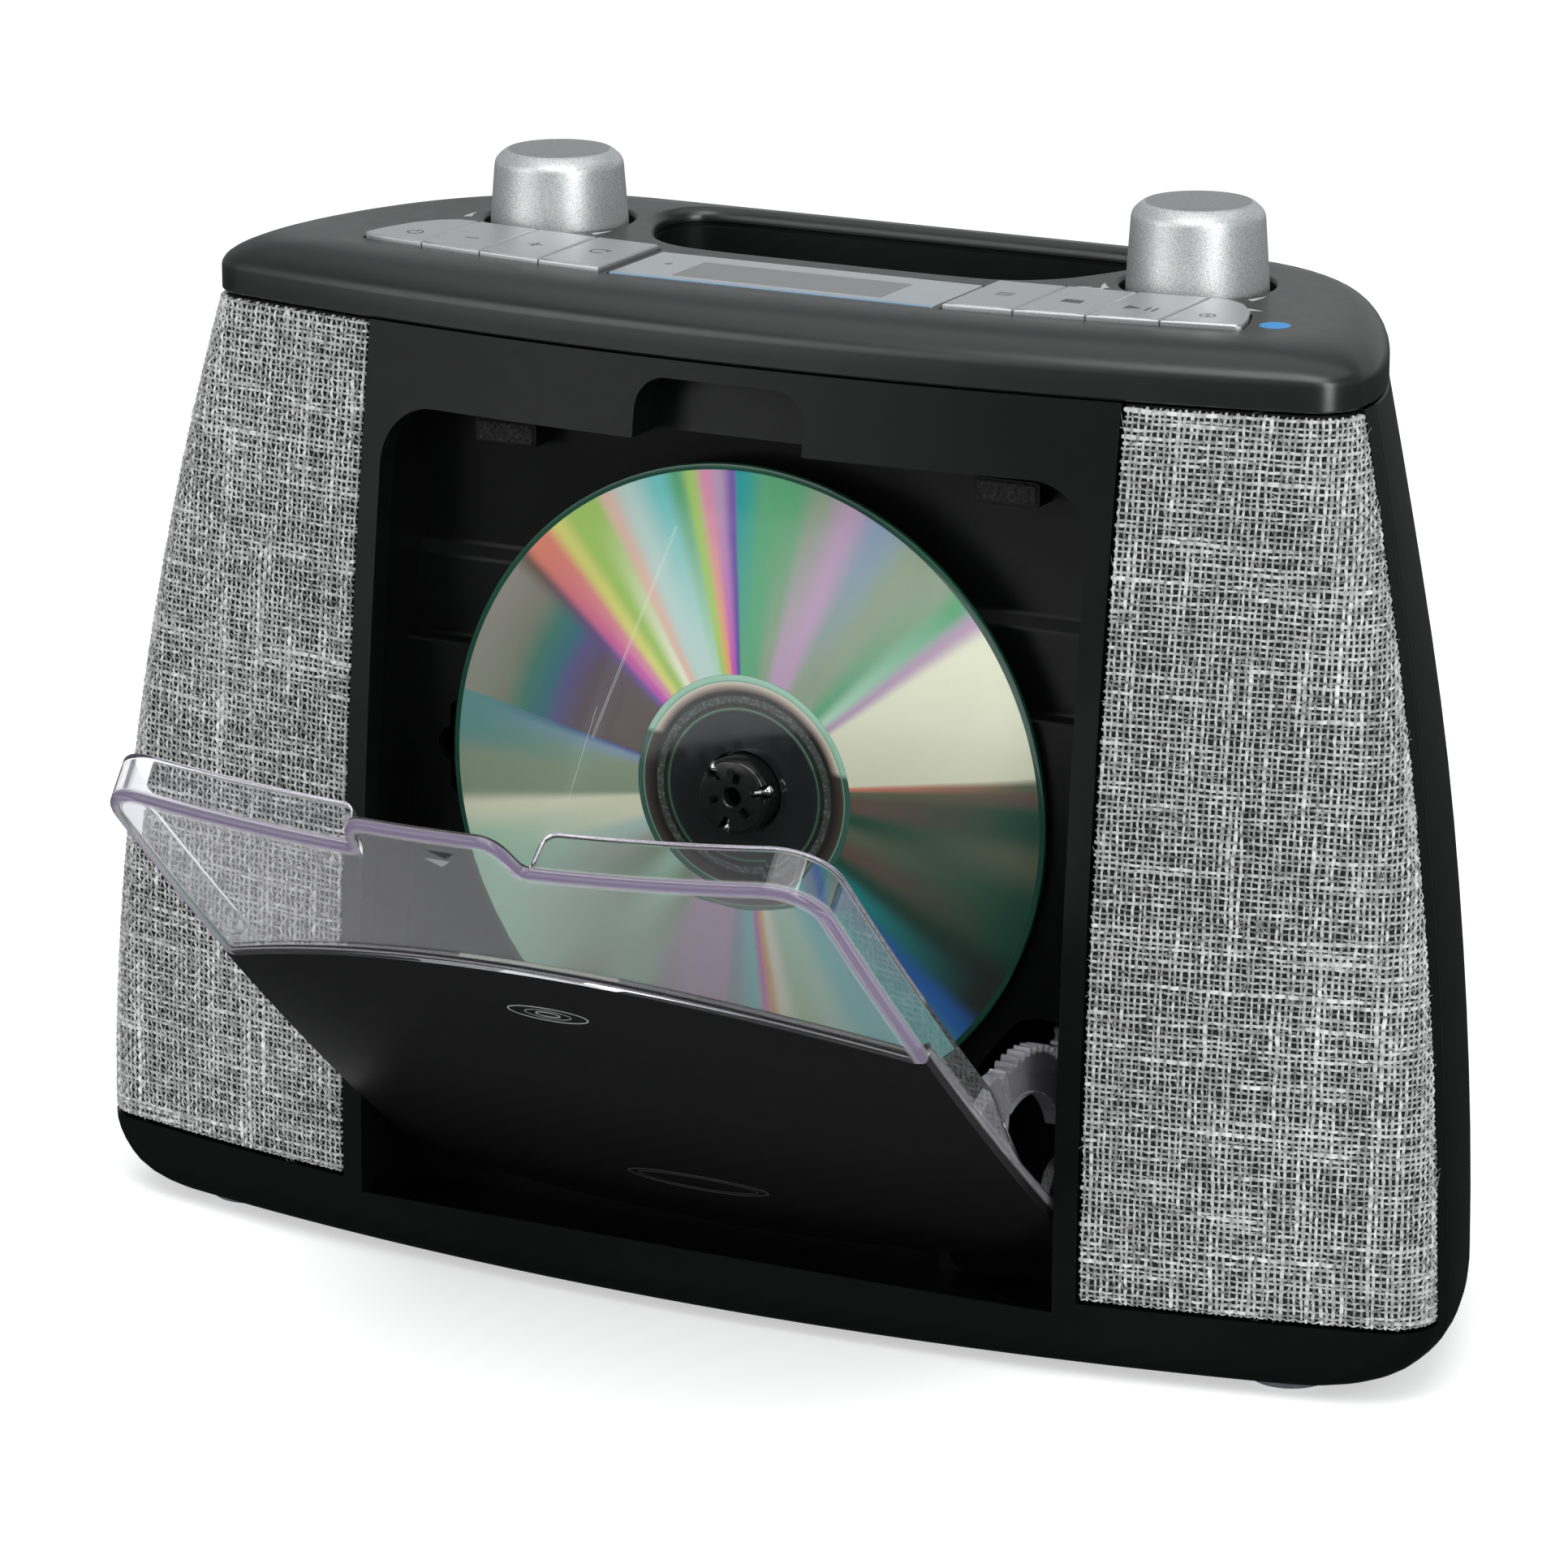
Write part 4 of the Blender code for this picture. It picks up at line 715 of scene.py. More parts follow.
# angle (degrees, anticlockwise from +X seen from the front), colour at the inner radius, colour at the rim
STREAKS = [(0, "brown", "forest"), (3, "brown", "forest"), (6.5, "olive", "brown"), (8.6, "coral", "olive"), (10, "cream", "cream"), (35, "cream", "cream"),
           (38.5, "lilac", "lilac"), (42, "mint", "green"), (47, "green", "sage"), (54, "sage", "sage"), (62, "sage", "steel"),
           (68, "lilac", "lilac"), (74, "lilac", "sage"), (79, "sage", "green"), (85, "green", "green"), (91, "green", "teal"),
           (92, "indigo", "violet"), (95, "magenta", "lilac"), (97.5, "orange", "pink"), (100.5, "lime", "lime"), (103, "mint", "green"),
           (107, "pale", "cyan"), (114, "pale", "pale"), (118.5, "blush", "blush"), (121, "cream", "lime"), (126, "lime", "lime"),
           (130, "yellow", "yellow"), (133.5, "pink", "coral"), (137, "magenta", "coral"), (140, "violet", "brown"), (146, "brown", "grey"),
           (168, "brown", "sage")]
STREAKS_2 = [(168, "indigo", "sea"), (170.5, "steel", "sea"), (175, "sage", "sea"), (181, "sage", "sage"), (187, "sage", "sage"), (190, "cream", "cream"),
             (197, "cream", "mint"), (203, "pale", "mint"), (212, "silver", "mint"), (221, "sage", "mint"), (230, "mint", "sage"), (240, "sage", "mint"),
             (247, "lilac", "sage"), (255, "lilac", "lilac"), (263, "lilac", "lilac"), (267, "steel", "sage"), (274, "cyan", "cyan"),
             (276.5, "magenta", "pink"), (278.5, "orange", "orange"), (281.5, "cream", "cream"), (287, "mint", "lime"), (294, "mint", "mint"),
             (302, "cyan", "cyan"), (311, "steel", "cyan"), (319, "blue", "blue"), (324, "teal", "dark"), (331, "forest", "dark"),
             (338, "brown", "forest"), (346, "olive", "forest"), (354, "forest", "olive"), (360, "brown", "forest")]


def disc_material():
    m = Mat("disc_tracks_painted_rainbow", (0.6, 0.6, 0.6), 0.3, 0.30)
    m.set("Coat Weight", 0.38)
    m.set("Coat Roughness", 0.06)
    sep = m.node("ShaderNodeSeparateXYZ")
    m.link(m.obj(), sep.inputs[0])
    x = sep.outputs["X"]
    z = m.math("SUBTRACT", sep.outputs["Z"], (DISC_Z + SHIFT_Z) * MM)
    ang = m.math("ARCTAN2", z, x)
    turn = m.math("MULTIPLY", m.math("MODULO", m.math("ADD", m.math("MULTIPLY", ang, 1 / (2 * math.pi)), 1.0), 1.0), 360.0)
    rad = m.math("MULTIPLY", m.math("SQRT", m.math("ADD", m.math("MULTIPLY", x, x), m.math("MULTIPLY", z, z))), 1000.0)
    wob = m.noise(26.0, 3.0)
    turn = m.math("ADD", turn, m.math("MULTIPLY", m.math("SUBTRACT", wob, 0.5), 1.6))
    split = 168.0
    f1 = m.math("DIVIDE", turn, split)
    f2 = m.math("DIVIDE", m.math("SUBTRACT", turn, split), 360.0 - split)

    def both_ramps(col):
        r1 = m.ramp(f1, [(a / split, PALETTE[c[col]]) for a, *c in STREAKS], "EASE")
        r2 = m.ramp(f2, [((a - split) / (360 - split), PALETTE[c[col]]) for a, *c in STREAKS_2], "EASE")
        return m.mix(m.math("GREATER_THAN", turn, split), r1, r2)
    inner, outer = both_ramps(0), both_ramps(1)
    t = m.range(rad, 24.0, 56.0, 0.0, 1.0)
    col = m.mix(t, inner, outer)
    # painted reflection: one dull sector carries its rainbow the other way, along the radius
    arc = m.ramp(m.range(rad, 22.0, 58.0, 0.0, 1.0), [(0.0, (0.085, 0.065, 0.06)), (0.36, (0.10, 0.075, 0.10)), (0.48, (0.10, 0.09, 0.24)), (0.57, (0.03, 0.16, 0.21)),
                                                      (0.68, (0.05, 0.20, 0.15)), (0.80, (0.21, 0.22, 0.17)), (1.0, (0.27, 0.26, 0.23))])
    sector = m.math("MULTIPLY", m.range(turn, 139.0, 142.5, 0.0, 1.0), m.range(turn, 167.9, 168.1, 1.0, 0.0))
    col = m.mix(m.math("MULTIPLY", sector, 0.85), col, arc)
    # a ring wave node meant for fine concentric tracks, left unconnected
    fine = m.node("ShaderNodeTexWave")
    fine.wave_type, fine.rings_direction = "RINGS", "Y"
    fine.inputs["Scale"].default_value = 1500.0
    m.link(m.obj(), fine.inputs["Vector"])
    # painted reflection: a faint second rainbow across the tracks, a grey-green wash in soft patches
    soft = m.noise(11.0, 2.0)
    col = m.mix(m.range(soft, 0.4, 0.7, 0.0, 0.10), col, (0.36, 0.46, 0.38))
    # a fine scratch, a pair of hair lines
    marks = None
    for (x0, z0), (x1, z1), w in (((-13.3, 47.5), (-31.0, 6.0), 0.16), ((-30.0, 12.0), (-36.0, -6.0), 0.0)):
        ln = math.hypot(x1 - x0, z1 - z0)
        ax, az = (x1 - x0) / ln, (z1 - z0) / ln
        px = m.math("SUBTRACT", m.math("MULTIPLY", x, 1000.0), x0)
        pz = m.math("SUBTRACT", m.math("MULTIPLY", z, 1000.0), z0)
        al = m.math("ADD", m.math("MULTIPLY", px, ax), m.math("MULTIPLY", pz, az))
        ac = m.math("ABSOLUTE", m.math("SUBTRACT", m.math("MULTIPLY", px, az), m.math("MULTIPLY", pz, ax)))
        line = m.math("MULTIPLY", m.math("LESS_THAN", m.math("ABSOLUTE", m.math("SUBTRACT", ac, w)), 0.055),
                      m.math("MULTIPLY", m.math("GREATER_THAN", al, 0.0), m.math("LESS_THAN", al, ln)))
        marks = line if marks is None else m.math("MAXIMUM", marks, line)
    col = m.mix(m.math("MULTIPLY", marks, 0.42), col, (0.85, 0.88, 0.85))
    hs = m.node("ShaderNodeHueSaturation", Saturation=1.06, Value=1.02)
    m.link(col, hs.inputs["Color"])
    m.to("Base Color", hs.outputs["Color"])
    m.to("Roughness", m.range(m.noise(120.0, 3.0), 0.3, 0.7, 0.30, 0.36))
    return m.m


DISC_TRACKS = disc_material()
RIM_ = Mat("disc_rim", (0.02, 0.10, 0.06), 0.12)
RIM_.set("Specular IOR Level", 0.7)
RIM_.to("Base Color", RIM_.mix(RIM_.noise(60.0), (0.004, 0.026, 0.017), (0.012, 0.075, 0.045)))
DISC_RIM = RIM_.m


def disc_hub_material():
    """Clear middle of the disc over the dark turntable: rings by radius, with brighter ring colours above a slanted
    line as a painted reflection of the door's edge and the floor.
    """
    m = Mat("disc_middle", (0.02, 0.02, 0.02), 0.1)
    m.set("Specular IOR Level", 0.6)
    sep = m.node("ShaderNodeSeparateXYZ")
    m.link(m.obj(), sep.inputs[0])
    x = sep.outputs["X"]
    z = m.math("SUBTRACT", sep.outputs["Z"], (DISC_Z + SHIFT_Z) * MM)
    rad = m.math("MULTIPLY", m.math("SQRT", m.math("ADD", m.math("MULTIPLY", x, x), m.math("MULTIPLY", z, z))), 1000.0)
    pad = m.noise(1700.0, 2.0, 0.8)
    dark = (0.010, 0.012, 0.012)
    stops = [(7.5, dark), (14.6, dark), (14.9, (0.02, 0.03, 0.025)), (15.3, (0.10, 0.20, 0.13)), (15.5, (0.015, 0.02, 0.018)),
             (16.2, (0.015, 0.018, 0.016)), (16.5, (0.045, 0.055, 0.05)), (17.5, (0.045, 0.055, 0.05)), (17.8, (0.012, 0.014, 0.013)),
             (18.4, (0.02, 0.02, 0.018)), (19.1, (0.22, 0.18, 0.15)), (19.9, (0.50, 0.44, 0.37)), (20.2, (0.44, 0.50, 0.40)),
             (20.35, (0.10, 0.25, 0.16)), (20.5, (0.26, 0.48, 0.36)), (21.3, (0.30, 0.52, 0.40)), (21.5, (0.20, 0.36, 0.27))]
    low = [(7.5, dark), (14.6, dark), (14.9, (0.012, 0.02, 0.016)), (15.3, (0.05, 0.12, 0.075)), (15.5, (0.012, 0.015, 0.014)),
           (16.2, (0.010, 0.012, 0.011)), (16.5, (0.035, 0.042, 0.038)), (17.5, (0.035, 0.042, 0.038)), (17.8, (0.010, 0.011, 0.010)),
           (19.1, (0.030, 0.024, 0.022)), (19.9, (0.045, 0.038, 0.034)), (20.2, (0.05, 0.07, 0.055)), (20.35, (0.22, 0.34, 0.27)),
           (20.5, (0.03, 0.085, 0.062)), (21.3, (0.035, 0.10, 0.075)), (21.5, (0.03, 0.08, 0.06))]
    fr = m.range(rad, 7.0, 22.0, 0.0, 1.0)
    up = m.ramp(fr, [((r - 7.0) / 15.0, c) for r, c in stops])
    dn = m.ramp(fr, [((r - 7.0) / 15.0, c) for r, c in low])
    # painted reflection: above this slanted line the rings take their brighter colours (stops), below it the darker
    # ones (low)
    line = m.math("ADD", z, m.math("MULTIPLY", x, 0.10))
    col = m.mix(m.range(line, 0.0068, 0.0078, 0.0, 1.0), dn, up)
    speck = m.math("MULTIPLY", m.range(pad, 0.52, 0.62, 0.0, 1.0),
                   m.math("MULTIPLY", m.math("GREATER_THAN", rad, 16.3), m.math("LESS_THAN", rad, 17.6)))
    col = m.mix(m.math("MULTIPLY", speck, 0.7), col, (0.13, 0.15, 0.14))
    m.to("Base Color", col)
    m.to("Roughness", m.range(m.noise(350.0, 3.0), 0.35, 0.7, 0.06, 0.16))
    return m.m


DISC_MIDDLE = disc_hub_material()

# ----------------------------------------------------------------------------
# top cap
# ----------------------------------------------------------------------------


def button_front(x):
    return LCD_Y0 + 0.001131 * (x * x - 34.0 ** 2)


def button_rear(x):
    return 32.2 + 0.00083 * (x * x - 34.0 ** 2)


def button_outline(k, side, grow=0.0):
    x0, x1 = BUTTON_X[k], BUTTON_X[k + 1]
    g = 0.175
    a, b = x0 + g - grow, x1 - g + grow
    if k < 3:
        xs = [a + (b - a) * i / 4 for i in range(5)]
        pts = [(x, button_front(x) - grow) for x in xs] + [(x, button_rear(x) + grow) for x in reversed(xs)]
    else:
        b = x1
        xs = [a + (b - 1.0 - a) * i / 3 for i in range(4)]
        pts = [(x, button_front(x) - grow) for x in xs[:-1]] + \
              [(b - 1.0 + grow, button_front(b) - 0.2 - grow),
               (b + grow, button_front(b) + 1.0), (b - 1.2 + grow, 23.5), (b - 3.4 + grow, 29.5),
               (b - 6.5 + grow, 33.8 + grow), (b - 10.0, 35.9 + grow), (a, button_rear(a) + grow)]
    return [(side * x, y) for x, y in pts]


def row_outline(side, grow):
    x0, x1 = BUTTON_X[0], BUTTON_X[3]
    xs = [x0 + (x1 - x0) * k / 10 for k in range(11)]
    xs[0] -= grow
    last = button_outline(3, 1, grow)
    pts = [(x, button_front(x) - grow) for x in xs] + last[3:9] + \
          [(x, button_rear(x) + grow) for x in reversed(xs)]
    return [(side * x, y) for x, y in pts]


SLOT = smooth_loop([(0, 37.2), (22, 37.3), (33, 38.6), (40.3, 43.3), (45, 50.3), (48.4, 58), (49.2, 64),
                    (46.8, 68.8), (41, 70.9), (22, 71.2), (0, 71.2), (-22, 71.2), (-41, 70.9),
                    (-46.8, 68.8), (-49.2, 64), (-48.4, 58), (-45, 50.3), (-40.3, 43.3), (-33, 38.6),
                    (-22, 37.3)], 6)


def flared(outline, bottom, r, seg=5, base=0.0):
    """Cutter with straight sides whose top edge flares out by a quarter round of radius r at z = 0."""
    secs = [[(x, y, bottom) for x, y in grown(outline, base)]]
    for k in range(seg + 1):
        a = math.radians(90 * k / seg)
        d = r * (1 - math.cos(a))
        secs.append([(x, y, -r + r * math.sin(a)) for x, y in grown(outline, base + d)])
    secs.append([(x, y, 2.0) for x, y in grown(outline, base + r)])
    return loft(secs)


cap_levels = [Z_SEAM, Z_SEAM + 0.35, -8.0, -CAP_ROLL_H]
cap_levels += [-CAP_ROLL_H + CAP_ROLL_H * math.sin(math.radians(a)) for a in range(8, 90, 8)] + [0.0]
rings = [full_ring(Z_SEAM, 0.3)] + [full_ring(z) for z in cap_levels[1:]]
cap = loft(rings)
cap = cut(cap, loft([full_ring(z, 2.2) for z in (-11.0, -5.5, -4.4, -3.2, -2.5)]))
for sd in (-1, 1):
    cap = join(cap, cylinder("z", sd * KNOB_X, KNOB_Y, 16.2, -6.2, -1.8, 48))
for sd in (-1, 1):
    prof = [(0.0, -3.4), (13.5, -3.4), (13.9, -3.0)]
    prof += [(13.9 + 0.9 * (1 - math.cos(math.radians(a))), -0.9 + 0.9 * math.sin(math.radians(a))) for a in range(0, 91, 15)]
    prof += [(14.8, 2.0), (0.0, 2.0)]
    cap = cut(cap, turned(prof, "z", sd * KNOB_X, KNOB_Y, 96),
              cylinder("z", sd * KNOB_X, KNOB_Y, 3.6, -8.0, 0.0, 32),
              flared(row_outline(sd, 0.35), -7.0, 0.25, 2))
cap = cut(cap, flared(rounded(-LCD_X - 0.3, LCD_X + 0.3, LCD_Y0 - 0.3, LCD_Y1 + 0.3, 0.6, 3), -8.0, 0.25, 2))
cap = cut(cap, flared(SLOT, -6.0, 2.1, 6))
piece("top_cap_shell", cap, CAP_BLACK, "cabinet", ["top_cap"], smooth=32)

# lining of the carrying slot, with its ledge and a floor rounded into its walls
secs = []
for z, d in ((-36.0, 1.7), (-2.8, 1.7)):
    secs.append([(x, y, z) for x, y in grown(SLOT, d)])
inner = [(-34.3, -3.2), (-33.6, -1.4), (-32.2, -0.4), (-30.5, 0.0), (-3.6, 0.35), (-3.3, 0.7), (-2.0, 0.7)]
well = cut(loft(secs), loft([[(x, y, z) for x, y in grown(SLOT, d)] for z, d in inner]))
piece("carrying_slot_lining", well, WELL_BLACK, "cabinet", ["handle_well"], smooth=40)

# ----------------------------------------------------------------------------
# cabinet shells
# ----------------------------------------------------------------------------
front = skin(both(FRONT_HALF), LEVELS, 0.0, FRONT_WALL, REAR_WALL)
grille_ids = {s: [("f", FRAME_X - GAP, s)] + [("g", k / 8, s) for k in range(9)]
              + [("c", k / 8, s) for k in range(1, 9)] + [("s", 0.3, s)] for s in (-1, 1)}
for sd in (-1, 1):
    front = cut(front, skin(grille_ids[sd], [-8.0] + [-15.0 - 11.0 * k for k in range(14)] + [Z_GRILLE_END - GAP], -2.0, 3.2))
front = cut(front, prism(rounded(-BAY_X, BAY_X, BAY_BOTTOM, BAY_TOP, BAY_CORNER_R, 14, (0, 0, 1, 1)), "y", -45.0, 30.0))
front = cut(front, prism([(-24.5, BAY_BOTTOM + 0.5), (-24.5, BAY_BOTTOM + 0.2), (-12.0, BAY_BOTTOM - 4.2),
                          (-8.0, BAY_BOTTOM - 4.2), (-8.0, BAY_BOTTOM + 0.5)], "x", -BAY_X, BAY_X))
def arch(half, top, r, foot, n=9):
    pts = [(-half, foot), (half, foot)]
    for k in range(n + 1):
        t = math.radians(90 * k / n)
        pts.append((half - r + r * math.cos(t), top - r + r * math.sin(t)))
    return pts + [(-x, z) for x, z in reversed(pts[2:])]


def notch_slab(d0, d1):
    xs = [-20 + 2 * k for k in range(21)]
    return loft([[(x, face_y(x, z) + d0, z) for x in xs] + [(x, face_y(x, z) + d1, z) for x in reversed(xs)]
                 for z in (-27.0, -23.0, -19.0, -15.0, -11.0)])


front = join(front, common(prism(arch(18.5, NOTCH_TOP + NOTCH_WALL, 7.0, BAY_TOP), "y", -30.0, 12.0), notch_slab(FRONT_WALL - 1.5, NOTCH_DEPTH + NOTCH_WALL)))
front = cut(front, common(prism(arch(16.9, NOTCH_TOP, 6.0, BAY_TOP - 1.0), "y", -30.0, 12.0), notch_slab(-3.0, NOTCH_DEPTH)))
piece("front_cabinet_shell", front, BLACK, "cabinet", ["front_cabinet"], smooth=28, bevel=0.75, segments=3, angle=38)

rear_ids = [("s", SIDE_STRIP + GAP, 1)] + [(k, v, 1) for k, v in REAR_HALF] + \
           [(k, v, -1) for k, v in reversed(REAR_HALF[:-1])] + [("s", SIDE_STRIP + GAP, -1)]
BATT_X, BATT_Z0, BATT_Z1 = 50.0, -165.0, -115.0
rear = skin(rear_ids, LEVELS, 0.0, REAR_WALL)
rear = cut(rear, prism(rounded(-BATT_X - 0.35, BATT_X + 0.35, BATT_Z0 - 0.35, BATT_Z1 + 0.35, 1.5, 4), "y", 84.0, 96.0),
           cylinder("y", -66.0, -150.0, 3.6, 84.0, 96.0, 40))
piece("rear_cabinet_shell", rear, BLACK, "cabinet", ["rear_cabinet"], smooth=28, bevel=0.3, segments=2, angle=40)

cover = prism(rounded(-BATT_X, BATT_X, BATT_Z0, BATT_Z1, 1.2, 4), "y", YR - 2.5, YR)
cover = cut(cover, prism(rounded(-12.0, 12.0, BATT_Z1 - 6.0, BATT_Z1 - 2.5, 1.6, 5), "y", YR - 1.2, YR + 2))
piece("battery_cover_panel", cover, BLACK, "battery_door", ["battery_cover"], bevel=0.35)

for nm, fx, fy in (("front_left", -107.4, 3.0), ("front_right", 107.4, 3.0), ("rear_left", -70.0, 66.0), ("rear_right", 70.0, 66.0)):
    zb, ro = -SHIFT_Z, 7.6
    prof = [(0, zb), (5.4, zb)] + [(ro - 0.9 + 0.9 * math.sin(math.radians(a)), zb + 0.9 - 0.9 * math.cos(math.radians(a))) for a in range(0, 91, 15)]
    prof += [(ro - 0.15, Z_BOTTOM - GAP), (0, Z_BOTTOM - GAP)]
    piece("rubber_foot_" + nm, turned(prof, "z", fx, fy, 64), RUBBER, "cabinet", ["foot_" + nm])

# ----------------------------------------------------------------------------
# knobs
# ----------------------------------------------------------------------------
for sd, nm in ((-1, "volume"), (1, "tuning")):
    zt = KNOB_TOP[sd]
    side = [(2.9, 8.4), (2.9, -2.9), (12.55, -2.9), (12.8, -2.75), (12.93, -2.4)]
    z0, z1 = -2.4, zt - 3.0
    side += [(12.93 - 0.93 * ((z - z0) / (z1 - z0)) ** 1.15, z) for z in [z0 + (z1 - z0) * k / 10 for k in range(1, 11)]]
    side += [(11.93, zt - 2.6), (11.80, zt - 2.2), (11.58, zt - 1.8), (11.25, zt - 1.42), (10.85, zt - 1.05),
             (10.45, zt - 0.72), (10.08, zt - 0.45), (9.7, zt - 0.27), (9.2, zt - 0.19), (6.0, zt - 0.08), (3.0, zt - 0.02), (0, zt)]
    k = turned([(0, 8.4)] + side, "z", sd * KNOB_X, KNOB_Y, 128)
    body = nm + "_control_knob"
    if sd < 0:
        k = cut(k, turned([(0, zt - 0.35), (0.42, zt - 0.25), (0.55, zt + 0.4), (0, zt + 0.4)], "z", sd * KNOB_X - 4.9, KNOB_Y + 7.2, 20))
    piece(nm + "_knob_turned", k, SILVER, body, [nm + "_knob"], smooth=40)

# ----------------------------------------------------------------------------
# keys: rounded on their upper edges
# ----------------------------------------------------------------------------
BUTTON_NAMES = {-1: ("repeat", "random", "memory", "power"), 1: ("program", "stop", "play", "source")}
KEY_CENTRE = {}
for sd in (-1, 1):
    for k in range(4):
        o = button_outline(k, sd)
        r = 0.55
        secs = [[(x, y, -3.3) for x, y in grown(o, -0.25)], [(x, y, -3.1) for x, y in o], [(x, y, BUTTON_TOP - r) for x, y in o]]
        for s in range(1, 6):
            a = math.radians(90 * s / 5)
            secs.append([(x, y, BUTTON_TOP - r + r * math.sin(a)) for x, y in grown(o, -r * (1 - math.cos(a)))])
        nm = BUTTON_NAMES[sd][k]
        cx = sum(p[0] for p in o) / len(o)
        cy = sum(p[1] for p in o) / len(o)
        KEY_CENTRE[nm] = (sd * (BUTTON_X[k] + BUTTON_X[k + 1]) / 2, 21.6)
        piece(nm + "_key_cap", loft(secs), KEY_SILVER, nm + "_key", [nm + "_button"], smooth=50)


def flat_mark(name, polys, z, mat, body, h=0.035):
    """Thin printed mark: closed outlines in plan, raised by a few hundredths of a millimetre."""
    V, F = [], []
    for poly in polys:
        n, b = len(poly), len(V)
        V += [(x, y, z) for x, y in poly] + [(x, y, z + h) for x, y in poly]
        F.append(tuple(b + n + i for i in range(n)))
        F.append(tuple(b + i for i in reversed(range(n))))
        F += [(b + i, b + (i + 1) % n, b + n + (i + 1) % n, b + n + i) for i in range(n)]
    bm = shape(V, F)
    return piece(name, bm, mat, body, smooth=30, weighted=False)


def arc_band(cx, cy, r0, r1, a0, a1, n=24):
    out = [(cx + r1 * math.cos(math.radians(a0 + (a1 - a0) * i / n)), cy + r1 * math.sin(math.radians(a0 + (a1 - a0) * i / n))) for i in range(n + 1)]
    return out + [(cx + r0 * math.cos(math.radians(a1 - (a1 - a0) * i / n)), cy + r0 * math.sin(math.radians(a1 - (a1 - a0) * i / n))) for i in range(n + 1)]


ZK = BUTTON_TOP - 0.01
px, py = KEY_CENTRE["power"]
px += 1.6
flat_mark("power_symbol", [arc_band(px, py, 1.25, 1.6, -240 + 0, 60), [(px - 0.18, py + 0.3), (px + 0.18, py + 0.3), (px + 0.18, py + 2.1), (px - 0.18, py + 2.1)]],
          ZK, GREY_INK, "power_key")
sx, sy = KEY_CENTRE["stop"]
flat_mark("stop_symbol", [[(sx - 1.9, sy - 1.2), (sx + 1.9, sy - 1.2), (sx + 1.9, sy + 1.2), (sx - 1.9, sy + 1.2)]], ZK, GREY_INK, "stop_key")
gx, gy = KEY_CENTRE["play"]
flat_mark("play_symbol", [[(gx - 3.0, gy - 1.4), (gx + 0.2, gy), (gx - 3.0, gy + 1.4)],
                          [(gx + 1.0, gy - 1.4), (gx + 1.5, gy - 1.4), (gx + 1.5, gy + 1.4), (gx + 1.0, gy + 1.4)],
                          [(gx + 2.4, gy - 1.4), (gx + 2.9, gy - 1.4), (gx + 2.9, gy + 1.4), (gx + 2.4, gy + 1.4)]], ZK, GREY_INK, "play_key")
for nm, kind in (("memory", 0), ("random", 1), ("repeat", 2), ("program", 3), ("source", 4)):
    x, y = KEY_CENTRE[nm]
    if kind == 0:       # minus
        polys = [[(x - 1.5, y - 0.2), (x + 1.5, y - 0.2), (x + 1.5, y + 0.2), (x - 1.5, y + 0.2)]]
    elif kind == 1:     # plus
        polys = [[(x - 1.5, y - 0.2), (x - 0.2, y - 0.2), (x - 0.2, y - 1.5), (x + 0.2, y - 1.5), (x + 0.2, y - 0.2), (x + 1.5, y - 0.2),
                  (x + 1.5, y + 0.2), (x + 0.2, y + 0.2), (x + 0.2, y + 1.5), (x - 0.2, y + 1.5), (x - 0.2, y + 0.2), (x - 1.5, y + 0.2)]]
    elif kind == 2:     # loop
        polys = [arc_band(x, y, 1.35, 1.7, 30, 330), [(x + 0.9, y + 1.5), (x + 2.2, y + 1.1), (x + 1.5, y + 0.1)]]
    elif kind == 3:     # three bars
        polys = [[(x - 1.6, y + d - 0.15), (x + 1.6, y + d - 0.15), (x + 1.6, y + d + 0.15), (x - 1.6, y + d + 0.15)] for d in (-1.0, 0.0, 1.0)]
    else:               # ring with a dot
        polys = [arc_band(x - 1.0, y, 1.2, 1.5, 0, 359.0), [(x - 1.0 + 0.45 * math.cos(t * math.pi / 8), y + 0.45 * math.sin(t * math.pi / 8)) for t in range(16)]]
    flat_mark(nm + "_symbol", polys, ZK, GREY_INK, nm + "_key")


# white wedges beside the knobs and a plain blue dot
def wedge(kx, ang, r0=15.9, length=5.2, width=1.5):
    a = math.radians(ang)
    c, s = math.cos(a), math.sin(a)
    p = (kx + (r0 + 1.4) * c, KNOB_Y + (r0 + 1.4) * s)
    t = (-s, c)
    return p, t


def tick(kx, ang, sign):
    """Slim hooked wedge that follows the knob's rim."""
    pts = []
    for i in range(9):
        a = math.radians(ang + sign * 15.0 * i / 8)
        r = 16.2 + 0.15
        pts.append((kx + r * math.cos(a), KNOB_Y + r * math.sin(a)))
    for i in range(8, -1, -1):
        a = math.radians(ang + sign * 15.0 * i / 8)
        r = 16.2 + 0.15 + 1.5 * (1 - i / 8) + 0.12
        pts.append((kx + r * math.cos(a), KNOB_Y + r * math.sin(a)))
    return pts


def arrow(x, y, d, s=1.5):
    return [(x - d * s, y - 0.62 * s), (x + d * s, y), (x - d * s, y + 0.62 * s)]


ZP = -0.012
flat_mark("volume_marks", [tick(-KNOB_X, 205, -1), tick(-KNOB_X, -40, 1)], ZP, WHITE_INK, "cabinet")
flat_mark("tuning_marks", [tick(KNOB_X, 222, -1), tick(KNOB_X, -33, 1),
                           arrow(KNOB_X - 16.6, KNOB_Y - 12.6, -1), arrow(KNOB_X - 14.2, KNOB_Y - 12.6, -1),
                           arrow(KNOB_X + 16.2, KNOB_Y - 16.6, 1), arrow(KNOB_X + 18.6, KNOB_Y - 16.6, 1)], ZP, WHITE_INK, "cabinet")
flat_mark("blue_badge", [[(91.9 + 2.75 * math.cos(2 * math.pi * i / 48), 23.6 + 2.75 * math.sin(2 * math.pi * i / 48)) for i in range(48)]],
          ZP, BLUE_INK, "cabinet")

